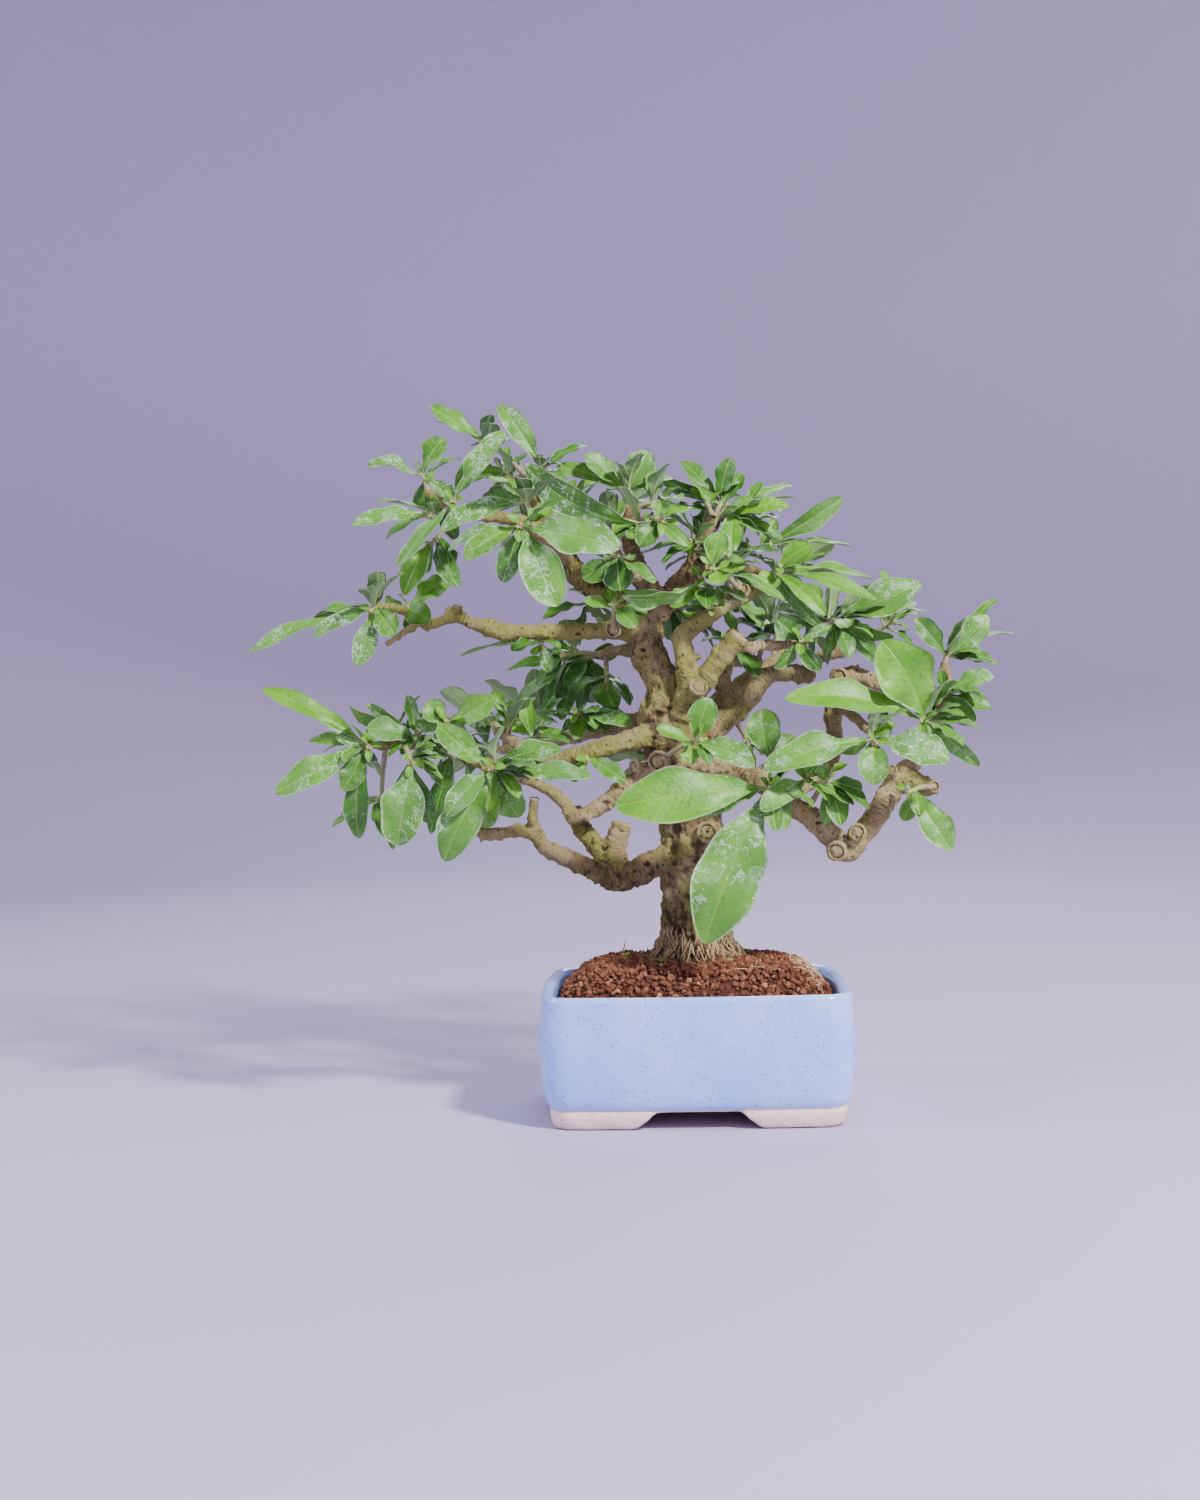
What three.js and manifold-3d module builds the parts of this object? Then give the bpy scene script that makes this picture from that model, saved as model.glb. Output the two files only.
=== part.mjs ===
// Japanese privet bonsai in a glazed pot, in millimetres, with +Z up.
//
// The front of the pot faces -Y. The origin is on the surface that the pot stands on, under the middle of the
// whole plant.

import * as THREE from "three";
import { mergeVertices } from "three/addons/utils/BufferGeometryUtils.js";
import Module from "manifold-3d";

const wasm = await Module();
wasm.setup();

// Driving dimensions

const GAP = 0.3;
const SLIVER = 0.03;
const SEED = 20250;

const POT = {
  width: 130,
  depth: 106,
  height: 55,
  wall: 6,
  corner: 13,
  belly: 1.6,
  floorTop: 13.5,
  glazeBottom: 7.5,
};
const FOOT = { inset: 3, breadth: 13, frontGap: 36, sideGap: 28, splay: 9 };
const DRAIN = { spacing: 58, diameter: 14, meshSize: 24, meshThickness: 1.2, meshCells: 3, meshCell: 5.5 };
const SOIL = { edgeHeight: 51.5, crownHeight: 67, grain: 1.1, rings: 5, around: 40 };
const TRUNK_SOCKET = { x: 1.2, y: 2, halfWidth: 19, halfDepth: 17, bottom: 44, topSpread: 6.5 };

const BLADE_THICKNESS = 1.2;
const SHORT_BLADE = 18;
const LONG_BLADE = 42;
const STEM_RADIUS = { foot: 1.35, heart: 1.0 };
const STEM_SIDES = 4;
const BRANCH_SIDES = 6;
const TWIG_SIDES = 5;
const TWIG_RADIUS = 3.4;
const TRUNK_SIDES = 14;

// Clearance between the middle surfaces of two blades, and from a blade to any wood
const BLADE_CLEARANCE = 1.5;
const SISTER_CLEARANCE = 0.9;
const WOOD_CLEARANCE = 1.3;
const ROOT_ZONE = 7;

// Front view
//
// The tree is measured on an upright sheet through the middle of the pot, as it shows from the front: across
// and up on the sheet from its middle, and behind, the distance from the sheet to the point itself.

const EYE = { x: -14, distance: 754, height: 157 };
const SHEET = { middleX: -39.5, lean: THREE.MathUtils.degToRad(1.1) };

/** The point that shows at (across, up) on the sheet and lies the given distance behind it. */
function seenAt(across, up, behind) {
  const level = across * Math.cos(SHEET.lean) + up * Math.sin(SHEET.lean);
  const rise = up * Math.cos(SHEET.lean) - across * Math.sin(SHEET.lean);
  const reach = (EYE.distance + behind) / EYE.distance;
  const x = EYE.x + (SHEET.middleX + level - EYE.x) * reach;
  return new THREE.Vector3(x, behind, EYE.height + rise * reach);
}

// Wood: each branch is a list of [across, up, behind, radius], and starts inside the wood that it grows from

const TRUNK_LINE = [
  [42, -100, 2, 17.5],
  [42, -90, 2, 18],
  [42, -81, 2, 15.6],
  [42, -66, 1, 14.6],
  [41, -53, 0, 14.4],
  [41, -37, 0, 14],
  [37, -18, 0, 13],
  [32, -2, 0, 11.8],
  [27, 13, -2, 10.4],
  [28, 28, 0, 7.5],
  [21, 44, 2, 8.3],
  [22, 54, 2, 6.3],
  [23, 63, 2, 5.6],
];

const BRANCHES = {
  crownLeft: [[22, 57, 2, 5.6], [9, 66, 4, 6], [-3, 72, 6, 6], [-14, 83, 6, 5], [-22, 97, 4, 4.2],
    [-27, 109, 3, 3.5], [-30, 118, 4, 2.6]],
  crownFront: [[-14, 84, 5, 3.6], [-19, 89, -12, 3], [-27, 95, -30, 2.5], [-33, 98, -42, 2]],
  crownFarLeft: [[-22, 97, 4, 3.4], [-40, 102, -2, 2.9], [-56, 104, -8, 2.5], [-68, 106, -10, 2.2],
    [-76, 114, -5, 1.9]],
  crownMiddle: [[22, 58, 2, 5.4], [24, 67, 0, 5.2], [18, 77, -3, 5], [14, 88, -4, 4.2],
    [12, 98, -4, 3.5], [16, 107, -2, 2.6]],
  crownRight: [[23, 58, 2, 5.4], [35, 72, -2, 5.5], [43, 81, -5, 5.6], [45, 90, -6, 4.8],
    [50, 101, -4, 3.2]],
  frontFork: [[33, 10, -4, 7], [39, 24, -10, 6], [38, 38, -12, 5], [36, 49, -12, 4.6],
    [42, 55, -12, 4.4], [51, 62, -11, 4.2], [60, 67, -9, 4.4], [66, 70, -7, 4.4], [73, 73, -6, 2.8]],
  frontStub: [[39, 21, -10, 5.4], [46, 31, -14, 5], [54, 42, -17, 4.6], [60, 49, -18, 5]],
  frontTwig: [[57, 45, -16, 2.6], [72, 46, -13, 2.4], [88, 47, -11, 2.1], [97, 54, -8, 1.8]],
  rearFork: [[36, 2, 4, 7], [50, 10, 12, 6], [58, 16, 16, 5.6], [64, 21, 18, 4.8], [69, 27, 20, 4.3],
    [74, 33, 22, 4.2], [83, 34, 24, 4], [92, 33, 26, 3.9]],
  rearArm: [[58, 15, 16, 5], [55, 25, 18, 4.3], [54, 33, 20, 4], [58, 40, 24, 3.6], [69, 38, 28, 3.2]],
  rearTwig: [[89, 33, 26, 3], [95, 40, 28, 3], [104, 43, 28, 3.2], [112, 46, 28, 3], [119, 49, 28, 2.2]],
  lowRight: [[36, -5, -3, 7], [57, -9, -12, 5.4], [71, -14, -20, 5], [81, -22, -24, 4.9],
    [93, -30, -26, 4.8], [103, -39, -28, 4.9], [108, -45, -28, 4.6], [114, -38, -27, 4.8],
    [122, -27, -23, 4.8], [128, -17, -18, 5.2], [133, -10, -14, 4.6], [139, -4, -10, 3.4],
    [146, 5, -7, 2.9], [150, 17, -6, 2.7], [152, 30, -4, 2.3], [151, 38, -2, 1.9]],
  lowRightKnob: [[128, -16, -18, 4.6], [136, -14, -17, 5.2], [142, -16, -18, 4.6], [147, -17, -20, 2.6]],
  midRight: [[82, -21, -22, 3.6], [92, -14, -14, 3.2], [101, -7, -8, 3.3], [103, 6, -2, 3.8],
    [102, 15, 2, 4], [104, 24, 4, 4.2], [107, 31, 4, 5.4], [114, 32, 4, 4.4], [122, 30, 3, 4],
    [130, 29, 2, 3.7], [139, 25, 0, 2.8], [147, 23, -5, 2]],
  midRightTwig: [[104, 20, 3, 2.8], [111, 15, -16, 2.2], [118, 8, -34, 1.8]],
  upperLeft: [[20, 52, 2, 5.2], [7, 53, 2, 4.6], [3, 53, 2, 3.8], [-10, 52, 2, 3.7], [-29, 52, 0, 3.7],
    [-44, 52, -2, 3.7], [-49, 54, -3, 4.4], [-57, 56, -4, 2.7], [-64, 59, -6, 2.9], [-70, 57, -7, 2.4],
    [-77, 56, -8, 2.6], [-84, 60, -9, 2.2], [-91, 63, -12, 2], [-99, 64, -16, 1.7]],
  upperLeftStub: [[-64, 58, -6, 2.2], [-63, 63, -6, 2.3]],
  upperLeftDead: [[-80, 57, -8, 1.6], [-88, 51, -9, 1.4], [-94, 47, -10, 1.2]],
  middleLeft: [[26, 8, -4, 6], [13, 4, -8, 4.8], [2, 1, -9, 4.6], [-9, -2, -9, 4.2], [-24, -5, -8, 3.6],
    [-40, -7, -8, 3.2], [-52, -6, -6, 3], [-66, -1, -4, 2.6], [-82, 2, -4, 2.3], [-98, 2, -8, 2.1],
    [-106, 3, -12, 1.7]],
  middleLeftRear: [[-24, -5, -8, 3], [-35, 2, 8, 2.6], [-46, 8, 22, 2.1]],
  loopLeft: [[26, -9, -5, 5], [12, -15, -13, 3.9], [3, -23, -16, 3.9], [-6, -28, -18, 3.2],
    [-12, -30, -18, 3], [-15, -24, -20, 2.9], [-24, -17, -22, 2.7], [-36, -12, -26, 2.4],
    [-44, -9, -30, 2]],
  lowLeft: [[36, -48, -2, 7.4], [24, -50, -6, 6.6], [16, -54, -10, 6.4], [8, -57, -13, 6],
    [0, -54, -15, 5.2], [-11, -49, -16, 4.4], [-24, -43, -17, 3.9], [-29, -37, -18, 3.5],
    [-37, -36, -20, 2.9], [-46, -37, -21, 2.8], [-52, -37, -22, 2.7], [-55, -31, -22, 2.2]],
  lowLeftUpright: [[-28, -38, -18, 3], [-30, -30, -19, 2.5], [-29, -22, -20, 2.2]],
  lowLeftArm: [[7, -53, -12, 5], [-2, -42, -8, 4.6], [-9, -33, -4, 4.2], [-11, -27, -2, 3.4]],
  lowLeftKnob: [[8, -52, -10, 5], [7, -42, -8, 5], [9, -34, -8, 4.6]],
  rearLow: [[38, -20, 6, 6], [42, -16, 28, 4.6], [38, -14, 46, 3.6], [32, -12, 64, 2.5]],
  rearRight: [[38, 8, 8, 5.4], [58, 26, 38, 4], [78, 40, 54, 3.2], [94, 50, 68, 2.3]],
  rearLeft: [[24, 14, 6, 5], [4, 10, 30, 4], [-20, 4, 48, 3.2], [-44, 0, 62, 2.3]],
  rearCrown: [[22, 60, 4, 4.8], [18, 74, 26, 3.8], [4, 88, 46, 3], [-12, 98, 62, 2.3]],
  rearCrownRight: [[42, 79, -2, 4.4], [58, 80, 26, 3.4], [76, 76, 50, 2.3]],
  leftHang: [[21, 42, 4, 4], [10, 44, 20, 2.9], [0, 42, 30, 2.2]],
};

// Round cuts where a branch was taken off: the root and the cut face, [across, up, behind], and the radius
const CUTS = [
  { from: [29, -4, -6], to: [26, -5, -17], radius: 4.2 },
  { from: [25, -8, -8], to: [16, -8, -15], radius: 3.4 },
  { from: [114, -36, -27], to: [113, -36, -34], radius: 3.3 },
  { from: [105, -42, -28], to: [104, -44, -35], radius: 3.8 },
  { from: [129, -12, -18], to: [128, -9, -25], radius: 2 },
  { from: [142, -16, -18], to: [146, -16, -25], radius: 2.2 },
  { from: [107, 31, 4], to: [105, 32, -3], radius: 3.6 },
  { from: [7, 53, 2], to: [6, 53, -5], radius: 3.2 },
  { from: [62, 68, -9], to: [62, 70, -15], radius: 3.2 },
  { from: [40, 22, -10], to: [43, 27, -18], radius: 3.6 },
  { from: [46, -36, -6], to: [47, -36, -15], radius: 4 },
  { from: [18, 76, -3], to: [16, 77, -10], radius: 3 },
];

// Leafy stems
//
// The heart is where the leaves spring from, as [across, up, behind]. A leaf is the way to its tip from the
// heart, [across, up, behind], then its width and the facing of its upper side in degrees: 0 faces up, 90
// faces the front, 180 faces down. A stem grows from the nearest wood, or from its foot where that is given.

const SPRAYS = {
  topArch: {
    heart: [-51, 136, 5],
    leaves: [[-24, 16, -4, 8, 60], [-22, 9, 6, 7, 10], [11, 2, 8, 6, 40]],
  },
  topLong: {
    heart: [-65, 110, -24],
    leaves: [[22, 31, -6, 10, 70], [-25, -28, -6, 7, 45], [8, 20, 8, 6, 60]],
  },
  topLeftStar: {
    heart: [-79, 123, 0],
    leaves: [[10, 15, -5, 10, 75], [-24, 5, -4, 9, 35], [17, 6, 3, 6, 15], [14, -13, 4, 8, 70],
      [1, -17, 6, 10, 80], [6, -2, -6, 6, 80]],
  },
  leftPair: {
    heart: [-75, 104, -14],
    leaves: [[-35, -4, -8, 10, 50], [-24, 6, 4, 7, 5], [-20, -11, 4, 7, 40], [2, 8, -5, 5, 80]],
  },
  leftHanging: {
    heart: [-75, 91, -6],
    foot: [-59, 104, -8],
    leaves: [[-12, -22, -6, 11, 85], [-8, -13, 6, 10, 120], [12, -18, -14, 9, 90]],
  },
  star: {
    heart: [-35, 99, -50],
    leaves: [[44, -9, -8, 17, 65], [16, -36, -6, 17, 90], [-25, -14, -4, 11, 60], [-8, -25, 6, 10, 85],
      [14, 8, 4, 8, 50], [-33, -9, 10, 7, 50]],
  },
  starUpper: {
    heart: [-33, 111, -30],
    leaves: [[-38, -13, -8, 11, 60], [-17, 2, 6, 10, 110], [-9, 9, 8, 6, 40]],
  },
  topSprig: {
    heart: [-44, 124, 12],
    foot: [-28, 112, 4],
    leaves: [[-9, -1, -4, 6, 70], [7, 3, -4, 7, 80], [13, 8, 3, 6, 25], [3, 10, 5, 4, 60]],
  },
  topSickle: {
    heart: [-26, 126, 2],
    foot: [-27, 108, 3],
    leaves: [[-19, 27, 2, 10, 78], [20, 9, 6, 7, 40], [6, -3, 8, 8, 50]],
  },
  crownDark: {
    heart: [20, 100, -15],
    foot: [12, 93, -4],
    leaves: [[-53, 24, -23, 14, 130]],
  },
  crownFan: {
    heart: [10, 115, 3],
    leaves: [[-17, 15, -4, 11, 60], [-29, 10, 5, 8, 60], [11, 17, -2, 13, 85], [22, 5, 4, 7, 40],
      [0, 10, 10, 8, 50]],
  },
  crownPeak: {
    heart: [54, 109, 12],
    leaves: [[-28, 11, -4, 8, 140], [-18, 18, 3, 8, 55], [8, 13, 4, 8, 60], [-14, 6, -8, 6, 80],
      [26, -4, 10, 7, 30]],
  },
  crownBud: {
    heart: [27, 101, -20],
    leaves: [[-10, -11, -4, 10, 88], [12, 5, -2, 7, 35], [1, 9, 4, 8, 70], [12, -11, -5, 6, 80]],
  },
  crownBlades: {
    heart: [45, 75, -26],
    leaves: [[-35, -8, -8, 9, 145], [-14, -12, -4, 8, 60], [-35, -4, 3, 7, 150]],
  },
  neckSprig: {
    heart: [6, 64, -14],
    leaves: [[-13, 2, -2, 6, 65], [10, -10, -3, 8, 80], [15, -3, 4, 7, 50], [-3, 7, 5, 6, 60]],
  },
  neckCup: {
    heart: [6, 86, -18],
    leaves: [[3, -16, -3, 13, 75], [-14, -10, -2, 10, 85], [-10, 4, 6, 7, 40]],
  },
  rightTop: {
    heart: [55, 106, -10],
    foot: [46, 92, -6],
    leaves: [[31, 4, 6, 7, 5], [29, 10, 12, 7, 45], [28, 2, -4, 9, 60], [22, -11, -2, 7, 50],
      [12, 5, -8, 6, 60]],
  },
  rightGrey: {
    heart: [73, 90, 12],
    leaves: [[33, 21, 2, 10, 130], [37, -1, 8, 7, 25], [-13, -2, -6, 6, 40], [4, 11, 4, 7, 60]],
  },
  rightStar: {
    heart: [78, 80, -14],
    leaves: [[15, 10, -4, 11, 70], [41, -5, 6, 8, 30], [43, -15, -5, 8, 45], [21, -21, -8, 8, 60],
      [19, -26, 6, 6, 120], [-6, -9, -4, 10, 80], [1, -13, 4, 7, 80]],
  },
  rightBright: {
    heart: [49, 80, -34],
    leaves: [[4, 16, -2, 10, 80], [15, 2, -3, 8, 65], [4, -7, -4, 9, 85], [32, -15, 4, 8, 40]],
  },
  forkSprig: {
    heart: [49, 63, -26],
    leaves: [[-5, 8, -2, 5, 60], [5, 8, 2, 5, 60], [-9, 1, -3, 5, 70], [12, 2, 3, 5, 10]],
  },
  forkRight: {
    heart: [88, 48, -16],
    leaves: [[-10, 9, -4, 10, 80], [9, -13, -3, 7, 125], [-11, -12, -2, 7, 125], [14, 6, 3, 5, 60],
      [-25, 5, 8, 8, 130]],
  },
  pinkStem: {
    heart: [106, 58, -6],
    leaves: [[-25, 0, -4, 7, 140], [35, 15, -8, 17, 68], [23, -8, -6, 8, 135], [14, -16, 8, 9, 80],
      [16, -20, -5, 8, 60], [-7, -16, -3, 6, 130], [37, 2, 8, 7, 20], [25, 6, 10, 6, 60]],
  },
  farTop: {
    heart: [152, 42, 0],
    leaves: [[-14, 16, -4, 9, 80], [18, 17, -2, 11, 78], [29, 9, 6, 6, 10], [18, 1, 3, 6, 25],
      [20, -3, -5, 7, 45], [22, 24, 12, 7, 15]],
  },
  farMiddle: {
    heart: [150, 25, -10],
    leaves: [[22, 8, -2, 8, 60], [17, -2, 6, 6, 15], [21, -6, -4, 8, 50], [14, -12, -8, 12, 125],
      [-19, 10, -4, 7, 140], [-18, 3, 3, 7, 40], [-8, -5, -6, 7, 60], [-1, 10, -3, 5, 80]],
  },
  farHuge: {
    heart: [142, 13, -26],
    leaves: [[-18, 35, -6, 24, 80], [-60, 11, -10, 15, 55], [6, -8, -3, 9, 80], [24, -20, 14, 7, 120]],
  },
  rightFront: {
    heart: [120, 4, -46],
    leaves: [[-48, -12, -8, 14, 60], [33, -8, -6, 15, 68], [0, -19, -4, 13, 88], [9, 8, 4, 6, 60],
      [-15, -5, 8, 6, 130], [7, 4, -4, 4, 70]],
  },
  lowRightPair: {
    heart: [136, -18, -30],
    leaves: [[18, -26, -6, 13, 80], [4, -10, -8, 7, 88], [-3, -13, 4, 7, 70]],
  },
  lowSprig: {
    heart: [101, -11, -38],
    leaves: [[-2, -22, 3, 7, 110], [5, -22, -5, 9, 88], [14, -7, -4, 8, 60], [-5, 4, -3, 5, 70]],
  },
  lowGiant: {
    heart: [74, -16, -44],
    leaves: [[-67, -8, -10, 23, 68], [-28, -69, -8, 27, 86], [-31, -12, 3, 12, 50]],
  },
  lowLeafy: {
    heart: [91, -12, -40],
    leaves: [[-20, -13, -6, 10, 62], [-6, 7, -2, 4, 60], [4, 6, 2, 4, 60]],
  },
  knuckleSprig: {
    heart: [43, 4, -28],
    leaves: [[5, 19, -3, 12, 88], [-18, 6, -4, 7, 50], [25, -10, -5, 11, 60], [-3, -10, -4, 8, 85],
      [-6, -2, -6, 4, 60]],
  },
  banded: {
    heart: [76, -5, -4],
    leaves: [[-5, 23, -2, 15, 84], [9, 12, 6, 9, 80]],
  },
  farLeft: {
    heart: [-103, 2, -16],
    leaves: [[-47, 25, -4, 9, 60], [-41, -21, -8, 13, 64], [-26, 2, 4, 6, 60], [-14, 4, -5, 7, 60],
      [-11, -20, -3, 11, 80], [-4, -41, 4, 11, 85], [-20, -2, 10, 6, 20]],
  },
  farLeftLow: {
    heart: [-97, -22, 14],
    leaves: [[-22, -12, -2, 6, 25], [-19, -7, 6, 6, 50], [8, -14, 4, 8, 60]],
  },
  leftGiant: {
    heart: [-84, -5, -34],
    leaves: [[-6, -37, -5, 18, 86], [10, -28, 6, 9, 80], [-8, -39, 7, 8, 86]],
  },
  leftGrey: {
    heart: [-81, 7, -10],
    leaves: [[-16, -14, -5, 10, 55], [-22, 3, -8, 11, 62], [-31, 12, 5, 8, 135], [-18, 0, -2, 7, 40],
      [-22, 13, 9, 6, 110], [-4, 17, 12, 6, 110]],
  },
  leftBright: {
    heart: [-68, 12, -20],
    leaves: [[-9, 9, -2, 11, 68], [22, 11, -3, 12, 65], [-14, 0, 4, 8, 130], [-5, 5, 8, 7, 60]],
  },
  leftStar: {
    heart: [-48, -8, -46],
    leaves: [[-24, 19, 3, 11, 66], [-20, -21, -6, 11, 70], [-21, -41, 2, 17, 82], [-2, -19, -5, 10, 86],
      [-3, -27, 6, 10, 80], [31, 8, 3, 12, 50], [44, -3, -4, 11, 48], [27, -4, 8, 7, 20],
      [12, -22, 4, 14, 112], [-15, 5, -6, 8, 50]],
  },
  leftInner: {
    heart: [-68, -2, -8],
    foot: [-59, -3, -5],
    leaves: [[-12, 3, -4, 8, 60], [-2, -15, -3, 9, 80], [-7, -35, -4, 9, 84], [2, -46, 4, 8, 100]],
  },
  leftRear: {
    heart: [-48, 12, 26],
    leaves: [[11, 9, 3, 6, 25], [35, -7, -4, 8, 45], [34, 2, 8, 6, 20], [14, -3, -6, 8, 55],
      [-10, 2, 6, 7, 40]],
  },
  innerLeft: {
    heart: [-6, -4, -14],
    leaves: [[17, -9, -4, 8, 60], [-14, 7, -3, 8, 50], [-6, -10, 4, 5, 60]],
  },
  hanging: {
    heart: [-7, 40, 36],
    leaves: [[15, 4, -5, 9, 70], [6, -10, -6, 8, 82], [-34, -4, 4, 8, 35], [-14, 7, 6, 11, 130],
      [-19, -23, -4, 9, 72], [-11, -27, 4, 8, 82], [-3, -24, -4, 6, 86], [4, -19, 5, 10, 88],
      [14, -22, 3, 13, 105], [-31, -19, 6, 7, 60]],
  },
  hangingLow: {
    heart: [-9, 16, 22],
    leaves: [[-4, -8, -3, 8, 85], [23, -5, -2, 9, 50], [13, -7, 5, 6, 60], [7, -8, -4, 6, 80],
      [-21, 1, 4, 6, 15], [-8, -7, 4, 5, 60]],
  },
  underBranch: {
    heart: [-26, 46, 2],
    leaves: [[-36, -5, 3, 7, 20], [4, -12, 5, 6, 80]],
  },
  tipLeft: {
    heart: [-101, 62, -20],
    leaves: [[-55, -19, 4, 9, 45], [-26, -11, -6, 9, 52], [-29, -4, 8, 8, 30], [-7, -25, -3, 10, 115],
      [10, -11, -5, 11, 84], [3, 11, -2, 7, 62]],
  },
  tipInner: {
    heart: [-85, 64, -6],
    leaves: [[9, -6, -6, 11, 80], [19, 11, -3, 11, 62], [-10, 3, 4, 7, 120], [2, -12, 5, 6, 80]],
  },
};

// Hidden side: [branch, how far along it, number of leaves]
const REAR_SPRAYS = [
  ["rearLow", 1, 6], ["rearRight", 0.7, 6], ["rearRight", 1, 6], ["rearLeft", 0.7, 5], ["rearLeft", 1, 6],
  ["rearCrown", 0.6, 5], ["rearCrown", 1, 6], ["rearCrownRight", 1, 6],
];

// Drawing numbers from the seed, always in the same order

/** A small generator of numbers from 0 to 1. */
function seededDraws(seed) {
  let state = seed;
  return () => {
    state = (state * 16807) % 2147483647;
    return state / 2147483647;
  };
}

// Closed meshes and solids

/** A closed mesh through rings of the same number of points, with a fan on the first and the last ring. */
function loft(rings) {
  const sides = rings[0].length;
  const points = rings.flat();
  const lastRing = (rings.length - 1) * sides;
  const faces = [];
  for (let start = 0; start < lastRing; start += sides) {
    for (let side = 0; side < sides; side += 1) {
      const here = start + side;
      const next = start + ((side + 1) % sides);
      faces.push(here, next, next + sides, here, next + sides, here + sides);
    }
  }
  const firstMiddle = points.push(middleOf(rings[0])) - 1;
  const lastMiddle = points.push(middleOf(rings.at(-1))) - 1;
  for (let side = 0; side < sides; side += 1) {
    const next = (side + 1) % sides;
    faces.push(firstMiddle, next, side, lastMiddle, lastRing + side, lastRing + next);
  }
  return closedGeometry(points, faces);
}

function middleOf(points) {
  const middle = new THREE.Vector3();
  points.forEach((point) => middle.add(point));
  return middle.divideScalar(points.length);
}

function closedGeometry(points, faces) {
  const geometry = new THREE.BufferGeometry().setFromPoints(points);
  geometry.setIndex(faces);
  return geometry;
}

function toSolid(geometry) {
  return new wasm.Manifold(new wasm.Mesh({
    numProp: 3,
    vertProperties: new Float32Array(geometry.attributes.position.array),
    triVerts: new Uint32Array(geometry.index.array),
  }));
}

/** The largest body of a solid, without its sliver faces, as a named mesh. */
function namedMesh(name, solid, material) {
  const bodies = solid.simplify(SLIVER).decompose().sort((one, other) => other.volume() - one.volume());
  const { vertProperties, triVerts } = bodies[0].getMesh();
  const geometry = new THREE.BufferGeometry();
  geometry.setAttribute("position", new THREE.BufferAttribute(vertProperties, 3));
  geometry.setIndex(new THREE.BufferAttribute(triVerts, 1));
  geometry.computeVertexNormals();
  const mesh = new THREE.Mesh(geometry, material);
  mesh.name = name;
  return mesh;
}

function joined(solids) {
  return solids.reduce((whole, solid) => whole.add(solid));
}

/** Rings round a line of points, each square to the line there; ringRadius gives the radius at an angle. */
function ringsAlong(points, sides, ringRadius) {
  let across = new THREE.Vector3(1, 0.2, 0.1);
  return points.map((point, index) => {
    const before = points[Math.max(index - 1, 0)];
    const after = points[Math.min(index + 1, points.length - 1)];
    const along = new THREE.Vector3().subVectors(after, before).normalize();
    across = across.clone().addScaledVector(along, -across.dot(along)).normalize();
    const upward = new THREE.Vector3().crossVectors(along, across);
    return Array.from({ length: sides }, (_, side) => {
      const angle = (2 * Math.PI * side) / sides;
      const radius = ringRadius(index, angle);
      return point.clone()
        .addScaledVector(across, radius * Math.cos(angle))
        .addScaledVector(upward, radius * Math.sin(angle));
    });
  });
}

/** A round limb along [across, up, behind, radius] points, grown by a margin round it and past its end. */
function limb(line, sides, margin) {
  const points = line.map(([across, up, behind]) => seenAt(across, up, behind));
  const [before, end] = points.slice(-2);
  end.addScaledVector(end.clone().sub(before).normalize(), margin);
  return toSolid(loft(ringsAlong(points, sides, (index) => line[index][3] + margin)));
}

// Pot, with its feet and drain holes

/** A rounded rectangle at a height, with its long sides bowed out a little. */
function potRing(inset, z) {
  const halfWidth = POT.width / 2 - inset;
  const halfDepth = POT.depth / 2 - inset;
  const corner = Math.max(POT.corner - inset, 4);
  const arcSteps = 4;
  const ring = [];
  for (let quarter = 0; quarter < 4; quarter += 1) {
    const signX = quarter === 0 || quarter === 3 ? 1 : -1;
    const signY = quarter < 2 ? 1 : -1;
    for (let step = 0; step <= arcSteps; step += 1) {
      const angle = (Math.PI / 2) * (quarter + step / arcSteps);
      const x = signX * (halfWidth - corner) + corner * Math.cos(angle);
      const y = signY * (halfDepth - corner) + corner * Math.sin(angle);
      ring.push(new THREE.Vector3(x, y, z));
    }
    const middleOnY = quarter % 2 === 0;
    ring.push(new THREE.Vector3(
      middleOnY ? 0 : signX * (halfWidth + POT.belly),
      middleOnY ? signY * (halfDepth + POT.belly) : 0,
      z,
    ));
  }
  return ring;
}

/** A prism through the pot along X or Y, with an arched top, that parts two neighbouring feet. */
function footGap(width, alongY) {
  const half = width / 2;
  const top = POT.glazeBottom - GAP;
  const outline = new THREE.Shape([
    new THREE.Vector2(-half - FOOT.splay, -1),
    new THREE.Vector2(half + FOOT.splay, -1),
    new THREE.Vector2(half + FOOT.splay * 0.35, top * 0.55),
    new THREE.Vector2(half, top),
    new THREE.Vector2(-half, top),
    new THREE.Vector2(-half - FOOT.splay * 0.35, top * 0.55),
  ]);
  const length = 2 * POT.width;
  const prism = new THREE.ExtrudeGeometry(outline, { depth: length, bevelEnabled: false });
  prism.translate(0, 0, -length / 2);
  prism.rotateX(Math.PI / 2);
  if (!alongY) prism.rotateZ(Math.PI / 2);
  return toSolid(welded(prism));
}

/** A geometry with its shared corners merged. */
function welded(geometry) {
  geometry.deleteAttribute("normal");
  geometry.deleteAttribute("uv");
  return mergeVertices(geometry, 1e-4);
}

function uprightCylinder(diameter, bottom, top, sides) {
  const cylinder = new THREE.CylinderGeometry(diameter / 2, diameter / 2, top - bottom, sides);
  cylinder.rotateX(Math.PI / 2);
  cylinder.translate(0, 0, (top + bottom) / 2);
  return toSolid(welded(cylinder));
}

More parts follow.
